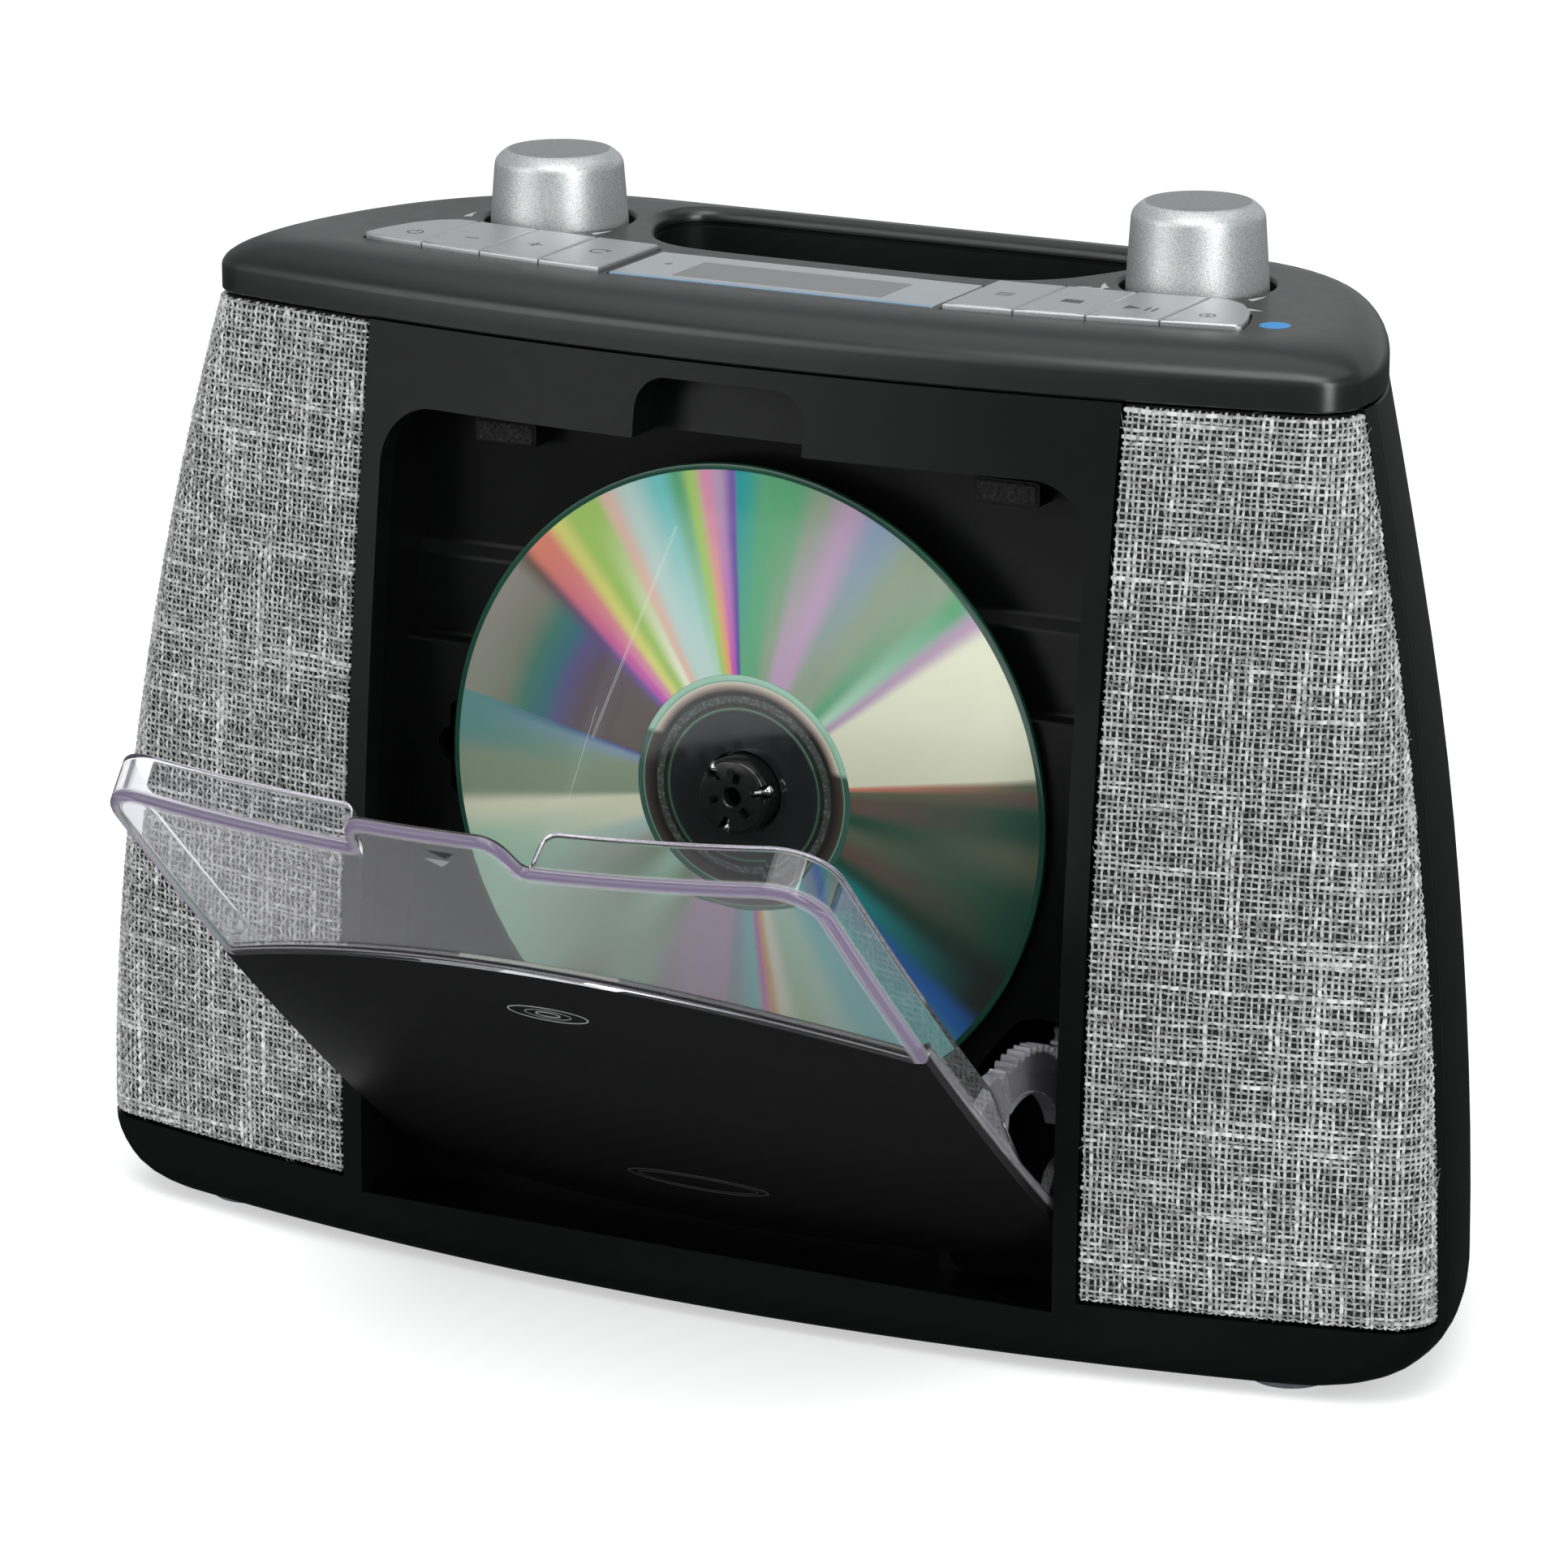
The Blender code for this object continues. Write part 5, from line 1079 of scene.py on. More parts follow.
# ----------------------------------------------------------------------------
# display
# ----------------------------------------------------------------------------
secs = []
o = rounded(-LCD_X, LCD_X, LCD_Y0, LCD_Y1, 0.5, 4)
secs = [[(x, y, -1.5) for x, y in o], [(x, y, 0.02) for x, y in o], [(x, y, 0.12) for x, y in grown(o, -0.1)], [(x, y, 0.15) for x, y in grown(o, -0.25)]]
piece("display_window", loft(secs), LCD_WIN, "cabinet", ["lcd_window"], smooth=60)
flat_mark("display_area", [rounded(-21.0, 21.0, 12.6, 25.2, 0.3, 2)], 0.142, LCD_GLASS, "cabinet")
flat_mark("display_dot", [[(-26.3 + 0.75 * math.cos(2 * math.pi * i / 24), 21.2 + 0.75 * math.sin(2 * math.pi * i / 24)) for i in range(24)]],
          0.142, PALE_INK, "cabinet")

# ----------------------------------------------------------------------------
# speaker cloth: a plain weave of real threads over a dark scrim
# ----------------------------------------------------------------------------
PITCH_U, PITCH_V = 1.16, 1.10       # warp and weft spacing
ROLL_R = 0.75
CLOTH_TOP, CLOTH_BOTTOM = -11.35, -168.0


class Sheet:
    """Surface of one grille: u is the distance along the face from the frame, z the height."""

    def __init__(self, side):
        self.side = side
        self.zs = np.linspace(CLOTH_TOP + 1.0, CLOTH_BOTTOM - 1.0, 120)[::-1]
        ids = [("f", FRAME_X)] + [("g", k / 24) for k in range(1, 25)] + [("c", k / 16) for k in range(1, 17)] + [("s", 0.25)]
        rows = []
        for z in self.zs:
            rows.append([form(z, k, v, side) for k, v in ids])
        self.p = np.array(rows)
        d = np.linalg.norm(np.diff(self.p, axis=1), axis=2)
        self.arc = np.concatenate([np.zeros((len(self.zs), 1)), np.cumsum(d, 1)], 1)
        self.us = np.linspace(0.0, self.arc[:, -1].max() + 0.5, 260)
        grid = np.zeros((len(self.zs), len(self.us), 3))
        for i in range(len(self.zs)):
            for c in range(3):
                grid[i, :, c] = np.interp(self.us, self.arc[i], self.p[i, :, c])
            over = self.us > self.arc[i, -1]
            if over.any():      # straight on past the end
                t = self.p[i, -1] - self.p[i, -2]
                t /= np.linalg.norm(t)
                grid[i, over] = self.p[i, -1] + t * (self.us[over] - self.arc[i, -1])[:, None]
        self.grid = grid

    def end(self, z):
        return np.interp(z, self.zs, self.arc[:, -1])

    def at(self, u, z):
        fi = np.clip(np.interp(z, self.zs, np.arange(len(self.zs))), 0, len(self.zs) - 1.001)
        fj = np.clip(np.interp(u, self.us, np.arange(len(self.us))), 0, len(self.us) - 1.001)
        i, j = fi.astype(int), fj.astype(int)
        a, b = (fi - i)[..., None], (fj - j)[..., None]
        g = self.grid
        return (g[i, j] * (1 - a) * (1 - b) + g[i + 1, j] * a * (1 - b) + g[i, j + 1] * (1 - a) * b + g[i + 1, j + 1] * a * b)

    def frame(self, u, z, inset=0.0):
        """Point, normal, u tangent and z tangent, with the edges rolled over the panel."""
        u1 = self.end(z) - 0.35
        uc, zc = np.clip(u, 0.78, u1), np.clip(z, CLOTH_BOTTOM, CLOTH_TOP)
        e = 0.25
        p = self.at(uc, zc)
        tu = self.at(uc + e, zc) - self.at(uc - e, zc)
        tz = self.at(uc, zc + e) - self.at(uc, zc - e)
        tu /= np.linalg.norm(tu, axis=-1, keepdims=True)
        tz /= np.linalg.norm(tz, axis=-1, keepdims=True)
        n = np.cross(tu, tz) * self.side
        n /= np.linalg.norm(n, axis=-1, keepdims=True)
        for t, x in ((tu, u - uc), (tz, z - zc)):
            s, ax = np.sign(x)[..., None], np.abs(x)[..., None]
            a = np.minimum(ax / ROLL_R, math.pi / 2)
            p = p + s * t * ROLL_R * np.sin(a) - n * (ROLL_R * (1 - np.cos(a)) + np.maximum(0, ax - ROLL_R * math.pi / 2))
            n2 = n * np.cos(a) + s * t * np.sin(a)
            t2 = t * np.cos(a) - s * n * np.sin(a)
            if t is tu:
                tu_, n = t2, n2
            else:
                tz_, n = t2, n2
        return p - n * inset, n, tu_, tz_


def smooth_random(rng, n, spacing, count):
    """count rows of n samples of smooth noise with knots every `spacing` samples."""
    k = int(n / spacing) + 4
    knots = rng.random((count, k))
    x = np.arange(n) / spacing + 1
    i = x.astype(int)
    f = x - i
    f = f * f * (3 - 2 * f)
    return knots[:, i] * (1 - f) + knots[:, i + 1] * f


def patches(rng, shape2, sy, sx):
    """Soft two-dimensional blotches."""
    a = smooth_random(rng, shape2[1], sx, int(shape2[0] / sy) + 4)
    y = np.arange(shape2[0]) / sy + 1
    i = y.astype(int)
    f = (y - i)[:, None]
    f = f * f * (3 - 2 * f)
    return a[i] * (1 - f) + a[i + 1] * f


def ribbon_mesh(name, P, N, L, W, tone, keep, along_mm, mat, body):
    """Threads as arched ribbons. P, N, L (centre, normal, sideways) are rows x samples x 3."""
    rows, n = P.shape[:2]
    prof = [(-1.0, -0.62), (-0.55, 0.42), (0.55, 0.42), (1.0, -0.62)]
    V = np.stack([P + L * (W * a * 0.5)[..., None] + N * (W * b * 0.42)[..., None] for a, b in prof], 2)
    m = len(prof)
    idx = np.arange(rows * n * m).reshape(rows, n, m)
    a, b, c, d = idx[:, :-1, :-1], idx[:, 1:, :-1], idx[:, 1:, 1:], idx[:, :-1, 1:]
    q = np.stack([a, b, c, d], -1)
    ok = (keep[:, :-1] & keep[:, 1:])[..., None] & np.ones((1, 1, m - 1), bool)
    F = q[ok]
    used = np.zeros(rows * n * m, bool)
    used[F.ravel()] = True
    new = np.cumsum(used) - 1
    F = new[F]
    Vw = to_world(V.reshape(-1, 3)[used])
    T = np.repeat(tone[..., None], m, 2).reshape(-1)[used]
    row_shift = (np.arange(rows) * 7.31)[:, None, None]
    U = np.stack([np.repeat(np.broadcast_to(along_mm, (rows, n))[..., None], m, 2) + 0 * row_shift,
                  np.broadcast_to(np.array([p[0] for p in prof]) * 0.35, (rows, n, m)) + row_shift], -1).reshape(-1, 2)[used]
    me = bpy.data.meshes.new(name)
    me.vertices.add(len(Vw))
    me.vertices.foreach_set("co", Vw.astype(np.float32).ravel())
    me.loops.add(F.size)
    me.loops.foreach_set("vertex_index", F.astype(np.int32).ravel())
    me.polygons.add(len(F))
    me.polygons.foreach_set("loop_start", (np.arange(len(F)) * 4).astype(np.int32))
    me.polygons.foreach_set("loop_total", np.full(len(F), 4, np.int32))
    me.update(calc_edges=True)
    at = me.attributes.new("tone", "FLOAT", "POINT")
    at.data.foreach_set("value", T.astype(np.float32))
    uv = me.uv_layers.new(name="thread")
    uv.data.foreach_set("uv", U[F.ravel()].astype(np.float32).ravel())
    me.materials.append(mat)
    me.shade_smooth()
    me.validate()
    o = bpy.data.objects.new(name, me)
    bpy.context.scene.collection.objects.link(o)
    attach(o, body)
    return o


def weave(side, nm):
    sh = Sheet(side)
    rng = np.random.default_rng(11 if side < 0 else 23)
    u_end = float(sh.arc[:, -1].max())
    nu, nv = int((u_end + 0.2) / PITCH_U), int((CLOTH_TOP - CLOTH_BOTTOM + 1.0) / PITCH_V)
    amp = 0.20
    # shared tone map, so that neighbouring threads lighten and darken together
    patch = patches(rng, (nv + 8, nu + 8), 3.4, 4.4) * 0.5 + patches(rng, (nv + 8, nu + 8), 1.7, 1.9) * 0.5
    patch = (patch - patch.mean()) / patch.std()
    SUB = 3
    # warp (vertical)
    n = nv * SUB + 7
    v = (np.arange(n) - 3) / SUB
    z = CLOTH_TOP + 0.5 - v * PITCH_V
    rows = nu + 1
    base_u = (np.arange(rows) + 0.5) * PITCH_U + 0.15
    wob = (smooth_random(rng, n, 9.0 * SUB, rows) - 0.5) * 0.36 + (smooth_random(rng, n, 1.4 * SUB, rows) - 0.5) * 0.24
    slub = np.clip((smooth_random(rng, n, 14.0 * SUB, rows) - 0.72) * 4.0, 0, 1)
    per = (rng.random((rows, 1)) - 0.5)
    thick = 0.50 + 0.16 * (smooth_random(rng, n, 3.0 * SUB, rows) - 0.5) + 0.14 * (smooth_random(rng, n, 0.9 * SUB, rows) - 0.5) + 0.30 * slub + 0.18 * per
    u = base_u[:, None] + wob
    Z = np.broadcast_to(z, u.shape)
    p, nn, tu, tz = sh.frame(u, Z, 0.30)
    par = np.arange(rows)[:, None]
    h = amp * np.sin(math.pi * (v[None, :] + par))
    # sample the shared tone map
    ii = np.clip(v.round().astype(int) + 3, 0, nv + 7)
    pt = patch[ii][:, :rows].T
    tone = 0.58 + 0.016 * pt + 0.36 * (smooth_random(rng, n, 1.0 * SUB, rows) - 0.5) + 0.10 * (smooth_random(rng, n, 3.0 * SUB, rows) - 0.5) + 0.11 * slub + 0.13 * per
    dark = np.clip((smooth_random(rng, n, 9.0 * SUB, rows) - 0.60) * 4.0, 0, 1) * (1 - slub)
    tone = tone - 0.08 * dark
    keep = (u < sh.end(Z) + 1.3) & (Z < CLOTH_TOP + 1.9) & (Z > CLOTH_BOTTOM - 1.9)
    warp = ribbon_mesh("cloth_warp_" + nm, p + nn * h[..., None], nn, tu, thick, np.clip(tone, 0.05, 1), keep, -z[None, :] * 1.0, CLOTH, "cabinet")
    # weft (horizontal)
    n = nu * SUB + 9
    w = (np.arange(n) - 3) / SUB
    uu = w * PITCH_U + 0.15
    rows = nv + 1
    base_z = CLOTH_TOP + 0.5 - (np.arange(rows) + 0.5) * PITCH_V
    wob = (smooth_random(rng, n, 11.0 * SUB, rows) - 0.5) * 0.40 + (smooth_random(rng, n, 1.4 * SUB, rows) - 0.5) * 0.22
    slub = np.clip((smooth_random(rng, n, 13.0 * SUB, rows) - 0.72) * 4.0, 0, 1)
    per = (rng.random((rows, 1)) - 0.5)
    thick = 0.46 + 0.16 * (smooth_random(rng, n, 3.0 * SUB, rows) - 0.5) + 0.14 * (smooth_random(rng, n, 0.9 * SUB, rows) - 0.5) + 0.36 * slub + 0.20 * per
    Z = base_z[:, None] + wob
    u = np.broadcast_to(uu, Z.shape)
    p, nn, tu, tz = sh.frame(u, Z, 0.30)
    par = np.arange(rows)[:, None]
    h = -amp * np.sin(math.pi * (w[None, :] + par))
    jj = np.clip(w.round().astype(int) + 3, 0, nu + 7)
    pt = patch[:rows][:, jj]
    tone = 0.555 + 0.016 * pt + 0.36 * (smooth_random(rng, n, 1.0 * SUB, rows) - 0.5) + 0.10 * (smooth_random(rng, n, 3.0 * SUB, rows) - 0.5) + 0.13 * slub + 0.14 * per
    dark = np.clip((smooth_random(rng, n, 12.0 * SUB, rows) - 0.58) * 4.0, 0, 1) * (1 - slub)
    tone = tone - 0.10 * dark
    keep = (u > -1.0) & (u < sh.end(Z) + 1.0) & (Z < CLOTH_TOP + 1.5) & (Z > CLOTH_BOTTOM - 1.5)
    weft = ribbon_mesh("cloth_weft_" + nm, p + nn * h[..., None], nn, tz, thick, np.clip(tone, 0.05, 1), keep, uu[None, :], CLOTH, "cabinet")
    # loose fibres standing off the threads
    n = 1300
    u0, z0 = rng.uniform(0.9, u_end - 0.9, n), rng.uniform(CLOTH_BOTTOM + 0.6, CLOTH_TOP - 0.6, n)
    inside = u0 < sh.end(z0) - 0.9
    u0, z0 = u0[inside], z0[inside]
    n, t = len(u0), np.linspace(0, 1, 6)
    head = rng.uniform(0, 2 * math.pi, (n, 1)) + rng.normal(0, 1.3, (n, 1)) * t
    step = rng.uniform(1.4, 4.2, (n, 1)) / 5
    U, Z = u0[:, None] + np.cumsum(np.cos(head), 1) * step, z0[:, None] + np.cumsum(np.sin(head), 1) * step
    p, nn, _, _ = sh.frame(U, Z, -0.02)
    p = p + nn * (rng.uniform(0.0, 0.75, (n, 1)) * t ** 1.5)[..., None]
    along = np.gradient(p, axis=1)
    across = np.cross(nn, along)
    across /= np.maximum(1e-9, np.linalg.norm(across, axis=-1, keepdims=True))
    fibres = ribbon_mesh("cloth_fibres_" + nm, p, nn, across, np.full(U.shape, 0.07), np.full(U.shape, 0.66) + rng.normal(0, 0.1, (n, 1)),
                         np.ones(U.shape, bool), t[None, :] * 3.0, CLOTH, "cabinet")
    # scrim behind: one smooth sheet with rolled edges
    us = np.concatenate([[-0.9, -0.4, 0.0, 0.4], np.linspace(0.78, 1.0, 2)])
    gu = np.linspace(0, 1, 46)
    zz = np.concatenate([[CLOTH_TOP + 1.7, CLOTH_TOP + 1.1, CLOTH_TOP + 0.6, CLOTH_TOP + 0.3], np.linspace(CLOTH_TOP, CLOTH_BOTTOM, 60),
                         [CLOTH_BOTTOM - 0.3, CLOTH_BOTTOM - 0.6, CLOTH_BOTTOM - 1.1, CLOTH_BOTTOM - 1.7]])
    e = sh.end(np.clip(zz, CLOTH_BOTTOM, CLOTH_TOP)) - 0.35
    U = np.concatenate([np.broadcast_to(us[:4], (len(zz), 4)), 0.78 + gu[None, :] * (e[:, None] - 0.78),
                        e[:, None] + np.array([[0.3, 0.6, 1.1, 1.7]])], 1)
    Z = np.broadcast_to(zz[:, None], U.shape)
    p, nn, _, _ = sh.frame(U, Z, 0.62)
    r, c = U.shape
    idx = np.arange(r * c).reshape(r, c)
    F = np.stack([idx[:-1, :-1], idx[1:, :-1], idx[1:, 1:], idx[:-1, 1:]], -1).reshape(-1, 4)
    if side > 0:
        F = F[:, ::-1]
    scrim = piece("cloth_scrim_" + nm, (p.reshape(-1, 3), F), SCRIM, "cabinet", ["grille_cloth_" + nm], smooth=180, weighted=False)
    return sh


for sd, nm in ((-1, "left"), (1, "right")):
    weave(sd, nm)

# ----------------------------------------------------------------------------
# door: one clear moulding, drawn closed and turned open
# ----------------------------------------------------------------------------


TAB = [(0.0, 8.8), (10.6, 8.8), (11.7, 8.72), (12.6, 8.45), (13.4, 8.0), (14.2, 7.25), (14.9, 6.2), (15.4, 5.0), (15.7, 3.8), (15.95, 2.5),
       (16.2, 1.3), (16.5, 0.6), (16.9, 0.18), (17.4, 0.0), (80.0, 0.0)]


def top_edge(x):
    """Height of the door's upper edge at x: rounded outer corners and the finger tab."""
    ax = abs(x)
    r = 10.0
    z = DOOR_TOP + float(np.interp(ax, [p[0] for p in TAB], [p[1] for p in TAB]))
    if ax > DOOR_X - r:
        t = min(1.0, (ax - (DOOR_X - r)) / r)
        z = DOOR_TOP - r + r * math.sqrt(max(0.0, 1 - t * t))
    return z


def door_columns():
    r = 10.0
    right = [DOOR_X - r + r * math.sin(math.radians(a)) for a in range(0, 91, 9)]
    mid = [p[0] for p in reversed(TAB[1:-1])]
    flat1 = list(np.linspace(DOOR_X - r, 23.0, 10)[1:]) + [22.0, 21.0, 20.2, 19.5, 18.9, 18.4, 18.0, 17.7]
    flat0 = list(np.linspace(10.6, 0.0, 6)[1:-1])
    half = right[::-1] + flat1 + mid + flat0
    return [-x for x in half] + [0.0] + half[::-1]


def split_z(x):
    return SPLIT_MID - SPLIT_DROP * (x / DOOR_X) ** 2


RIB = [(2.0, 0.0, 0.0), (2.12, 1.0, -0.10), (2.62, 1.0, -0.10), (2.75, 0.0, 0.0)]     # height over the joint, tint, relief


def build_window():
    xs = door_columns()
    nx = len(xs)
    hi_n = 12
    cols = []
    for x in xs:
        zt, sz = top_edge(x), split_z(x)
        rows_low = [DOOR_BOTTOM] + list(np.linspace(DOOR_BOTTOM, sz, 10)[1:-1]) + [sz - 0.001, sz + 0.001] + [sz + r[0] for r in RIB]
        cols.append(rows_low + [sz + 2.75 + (zt - sz - 2.75) * (k / hi_n) for k in range(1, hi_n + 1)])
    nz = len(cols[0])
    split_row = len(rows_low) - 1 - len(RIB)          # first row above the split

    def front_depth(x, z):
        return 0.0 if z > split_z(x) else 1.9

    def back_depth(x, z):
        t = min(1.0, max(0.0, (z - (split_z(x) + 0.4)) / 1.5))
        return 3.7 + (DOOR_T - 3.7) * t

    # boundary loop, anticlockwise seen from the front: (i, j)
    loop = [(i, 0) for i in range(nx)] + [(nx - 1, j) for j in range(1, nz)] + \
           [(i, nz - 1) for i in range(nx - 2, -1, -1)] + [(0, j) for j in range(nz - 2, 0, -1)]
    pts = [Vector((xs[i], cols[i][j])) for i, j in loop]
    m = len(pts)
    normals = []
    for k in range(m):
        a, b, c = pts[k - 1], pts[k], pts[(k + 1) % m]
        t1, t2 = (b - a), (c - b)
        t1 = t1.normalized() if t1.length > 1e-4 else None
        t2 = t2.normalized() if t2.length > 1e-4 else None
        t1, t2 = t1 or t2, t2 or t1
        n1, n2 = Vector((t1.y, -t1.x)), Vector((t2.y, -t2.x))
        n = (n1 + n2)
        n = n.normalized() if n.length > 1e-6 else n1
        normals.append(n / max(0.6, n.dot(n1)))

    def rim_depth(k):
        i, j = loop[k]
        x, z = pts[k]
        tb = back_depth(x, z)
        if j == 0 or (i not in (0, nx - 1) and j != nz - 1):
            return tb
        if j == nz - 1 and 0 < i < nx - 1 or z > DOOR_TOP - 10.2:
            # along the top: full height outside the tab, run out smoothly at its ends
            ax = abs(x)
            t = min(1.0, max(0.0, (ax - 17.6) / 3.0))
            return tb + (DOOR_RIM - tb) * (0.45 * min(1.0, t * 6) + 0.55 * math.sqrt(max(0.0, 1 - (1 - t) ** 2)))
        t = min(1.0, max(0.0, (z - DOOR_RIM_END) / 9.0))
        return tb + (DOOR_RIM - tb) * math.sin(t * math.pi / 2) if t > 0 else tb

    WALL, R1, R2, R3 = 1.9, 0.7, 0.55, 0.5
    V, F, E = [], [], []

    def add(x, z, d, e=0.0):
        V.append((x, face_y(x, z) + d, z))
        E.append(e)
        return len(V) - 1

    def ring(inset, depth_of, e=0.0):
        out = []
        for k in range(m):
            p = pts[k] - normals[k] * inset
            out.append(add(p.x, p.y, depth_of(k), e if pts[k].y > split_z(pts[k].x) else 0.3 * e))
        return out

    rings_ = []
    fd = lambda k: front_depth(pts[k].x, pts[k].y)
    D = [rim_depth(k) for k in range(m)]
    TB = [back_depth(pts[k].x, pts[k].y) for k in range(m)]
    rings_.append(ring(2.2, fd))
    rings_.append(ring(1.6, fd, 0.55))
    for ang in range(0, 91, 18):
        s, c = math.sin(math.radians(ang)), math.cos(math.radians(ang))
        rings_.append(ring(R1 * (1 - s), lambda k, c=c: fd(k) + R1 * (1 - c), 1.0))
    rings_.append(ring(0.0, lambda k: min(fd(k) + 1.3, D[k] - R2 - 0.02), 0.8))
    rings_.append(ring(0.0, lambda k: min(fd(k) + 2.0, D[k] - R2 - 0.01), 0.0))
    for ang in range(0, 91, 18):
        s, c = math.sin(math.radians(ang)), math.cos(math.radians(ang))
        rings_.append(ring(R2 * (1 - c), lambda k, s=s: D[k] - R2 * (1 - s)))
    for ang in range(0, 91, 18):
        s, c = math.sin(math.radians(ang)), math.cos(math.radians(ang))
        rings_.append(ring(WALL - R2 * (1 - s) + 0.02, lambda k, c=c: max(TB[k], D[k] - R2 * (1 - c))))
    for ang in range(0, 91, 22):
        s, c = math.sin(math.radians(ang)), math.cos(math.radians(ang))
        rings_.append(ring(WALL + 0.15 + R3 * (1 - c) + 0.02, lambda k, s=s: min(max(TB[k], D[k] - R2), TB[k] + R3 * (1 - s))))
    for a, b in zip(rings_, rings_[1:]):
        for k in range(m):
            k2 = (k + 1) % m
            F.append((a[k], a[k2], b[k2], b[k]))
    # the front and back sheets, filled inside the first and last ring
    pos = {ij: k for k, ij in enumerate(loop)}
    for first, edge, shrink in ((True, rings_[0], 2.2), (False, rings_[-1], WALL + 0.17 + R3)):
        g = {}
        for i in range(nx):
            for j in range(nz):
                if (i, j) in pos:
                    g[i, j] = edge[pos[i, j]]
                else:
                    x, z, sz = xs[i] * (DOOR_X - shrink) / DOOR_X, cols[i][j], split_z(xs[i])
                    if j > split_row + len(RIB):
                        t = (z - sz) / max(1e-6, top_edge(xs[i]) - sz)
                        z = sz + (z - sz) * (1 - shrink / (top_edge(xs[i]) - sz) * t)
                    d = (0.0 if j >= split_row else 1.9) if first else back_depth(xs[i], z)
                    e = 0.0
                    if first and split_row < j <= split_row + len(RIB):
                        _, e, lift = RIB[j - split_row - 1]
                        d += lift
                    g[i, j] = add(x, z, d, 0.7 * e)
        for i in range(nx - 1):
            for j in range(nz - 1):
                f = (g[i, j], g[i + 1, j], g[i + 1, j + 1], g[i, j + 1])
                F.append(f if first else f[::-1])
    return V, F, E


V_, F_, E_ = build_window()
bm_ = bmesh.new()
edge_ = bm_.verts.layers.float.new("edge")
vs_ = [bm_.verts.new(v) for v in V_]
for v_, e_ in zip(vs_, E_):
    v_[edge_] = e_
for f_ in F_:
    f_ = list(dict.fromkeys(f_))
    if len(f_) >= 3:
        try:
            bm_.faces.new([vs_[i] for i in f_])
        except ValueError:
            pass
bmesh.ops.remove_doubles(bm_, verts=bm_.verts, dist=0.004)
bmesh.ops.dissolve_degenerate(bm_, edges=bm_.edges, dist=0.002)
piece("door_window_moulding", bm_, ACRYLIC, "door", ["door_window"], turn=True, smooth=50)

# hinge ears and the gear sector, part of the same clear moulding
for sd, nm in ((-1, "left"), (1, "right")):
    xa, xb = sorted((sd * 66.9, sd * 69.0))
    ear = join(cylinder("x", HINGE_Y, HINGE_Z, 4.4, xa, xb, 40), box(xa, xb, -14.3, HINGE_Y, HINGE_Z - 4.4, HINGE_Z + 4.4))
    ta, tb_ = sorted((sd * 68.0, sd * 72.3))
    ear = join(ear, cylinder("x", HINGE_Y, HINGE_Z, 2.2, ta, tb_, 32))
    piece("door_ear_" + nm, ear, ACRYLIC, "door", turn=True, bevel=0.25)

SECTOR_R, PINION_R = SECTOR_TEETH * GEAR_M / 2, PINION_TEETH * GEAR_M / 2
A0, A1 = math.radians(-32.0), math.radians(55.0)
STEP = 2 * math.pi / SECTOR_TEETH
PIN_A = math.radians(PINION_ANGLE)


def tooth(r_pitch, centre, angle, half_w, add, ded):
    """One tooth with bowed flanks and a slightly rounded tip."""
    rows = [(r_pitch - ded, half_w * 1.5), (r_pitch - ded * 0.5, half_w * 1.28), (r_pitch, half_w * 1.02), (r_pitch + add * 0.6, half_w * 0.74),
            (r_pitch + add * 0.93, half_w * 0.56), (r_pitch + add, half_w * 0.38)]
    up = [(r, angle - w / r) for r, w in rows]
    down = [(r, angle + w / r) for r, w in reversed(rows)]
    return [(centre[0] + r * math.cos(t), centre[1] + r * math.sin(t)) for r, t in up + down]


def sector_outline():
    c = (HINGE_Y, HINGE_Z)
    first = PIN_A - math.radians(OPEN_ANGLE) + STEP / 2
    k0, k1 = math.ceil((A0 - first) / STEP), math.floor((A1 - first) / STEP)
    pts = []
    for k in range(k0, k1 + 1):
        pts += tooth(SECTOR_R, c, first + k * STEP, 0.50, 0.55, 0.8)
    top = math.radians(63.0)
    for a in np.linspace(A1 + 0.05, top, 4):
        pts.append((c[0] + (SECTOR_R + 0.5) * math.cos(a), c[1] + (SECTOR_R + 0.5) * math.sin(a)))
    for k in range(33):
        a = top + (first + k0 * STEP - 0.06 - top) * k / 32
        pts.append((c[0] + 15.2 * math.cos(a), c[1] + 15.2 * math.sin(a)))
    return pts


piece("door_gear_sector", prism(sector_outline(), "x", SECTOR_X[0], SECTOR_X[1]), ACRYLIC_PAINTED_LIGHT, "door", turn=True, bevel=0.12, segments=2, angle=50)
web = rounded_poly([(-14.2, -141.0), (-14.2, -119.5), (-5.0, -124.0), (0.4, -127.2), (2.0, -131.0), (-2.0, -136.2), (-7.5, -139.0)], 2.0, 4)
piece("door_gear_web", prism(web, "x", SECTOR_X[0] + 0.4, SECTOR_X[1] - 0.4), ACRYLIC_PAINTED_LIGHT, "door", turn=True, bevel=0.2)


def fascia_solid():
    """Black lower front with an arched, rolled upper edge."""
    r = 0.28
    secs = []
    for x in np.linspace(-DOOR_X, DOOR_X, 57):
        zt = split_z(x) - 0.10
        zs = [DOOR_BOTTOM + (zt - r - DOOR_BOTTOM) * k / 17 for k in range(18)]
        loop = [(x, face_y(x, z), z) for z in zs[:-1]]
        for k in range(6):
            a = math.radians(90 * k / 5)
            loop.append((x, face_y(x, zt) + r * (1 - math.cos(a)), zt - r + r * math.sin(a)))
        loop.append((x, face_y(x, zt) + 1.45, zt - 0.02))
        loop.append((x, face_y(x, zt) + 1.6, zt - 0.3))
        loop += [(x, face_y(x, z) + 1.6, z) for z in reversed(zs[:-1])]
        secs.append(loop)
    return loft(secs)


piece("door_fascia_panel", fascia_solid(), FASCIA, "door", ["door_fascia"], turn=True, smooth=50, bevel=0.12, segments=2, angle=60)


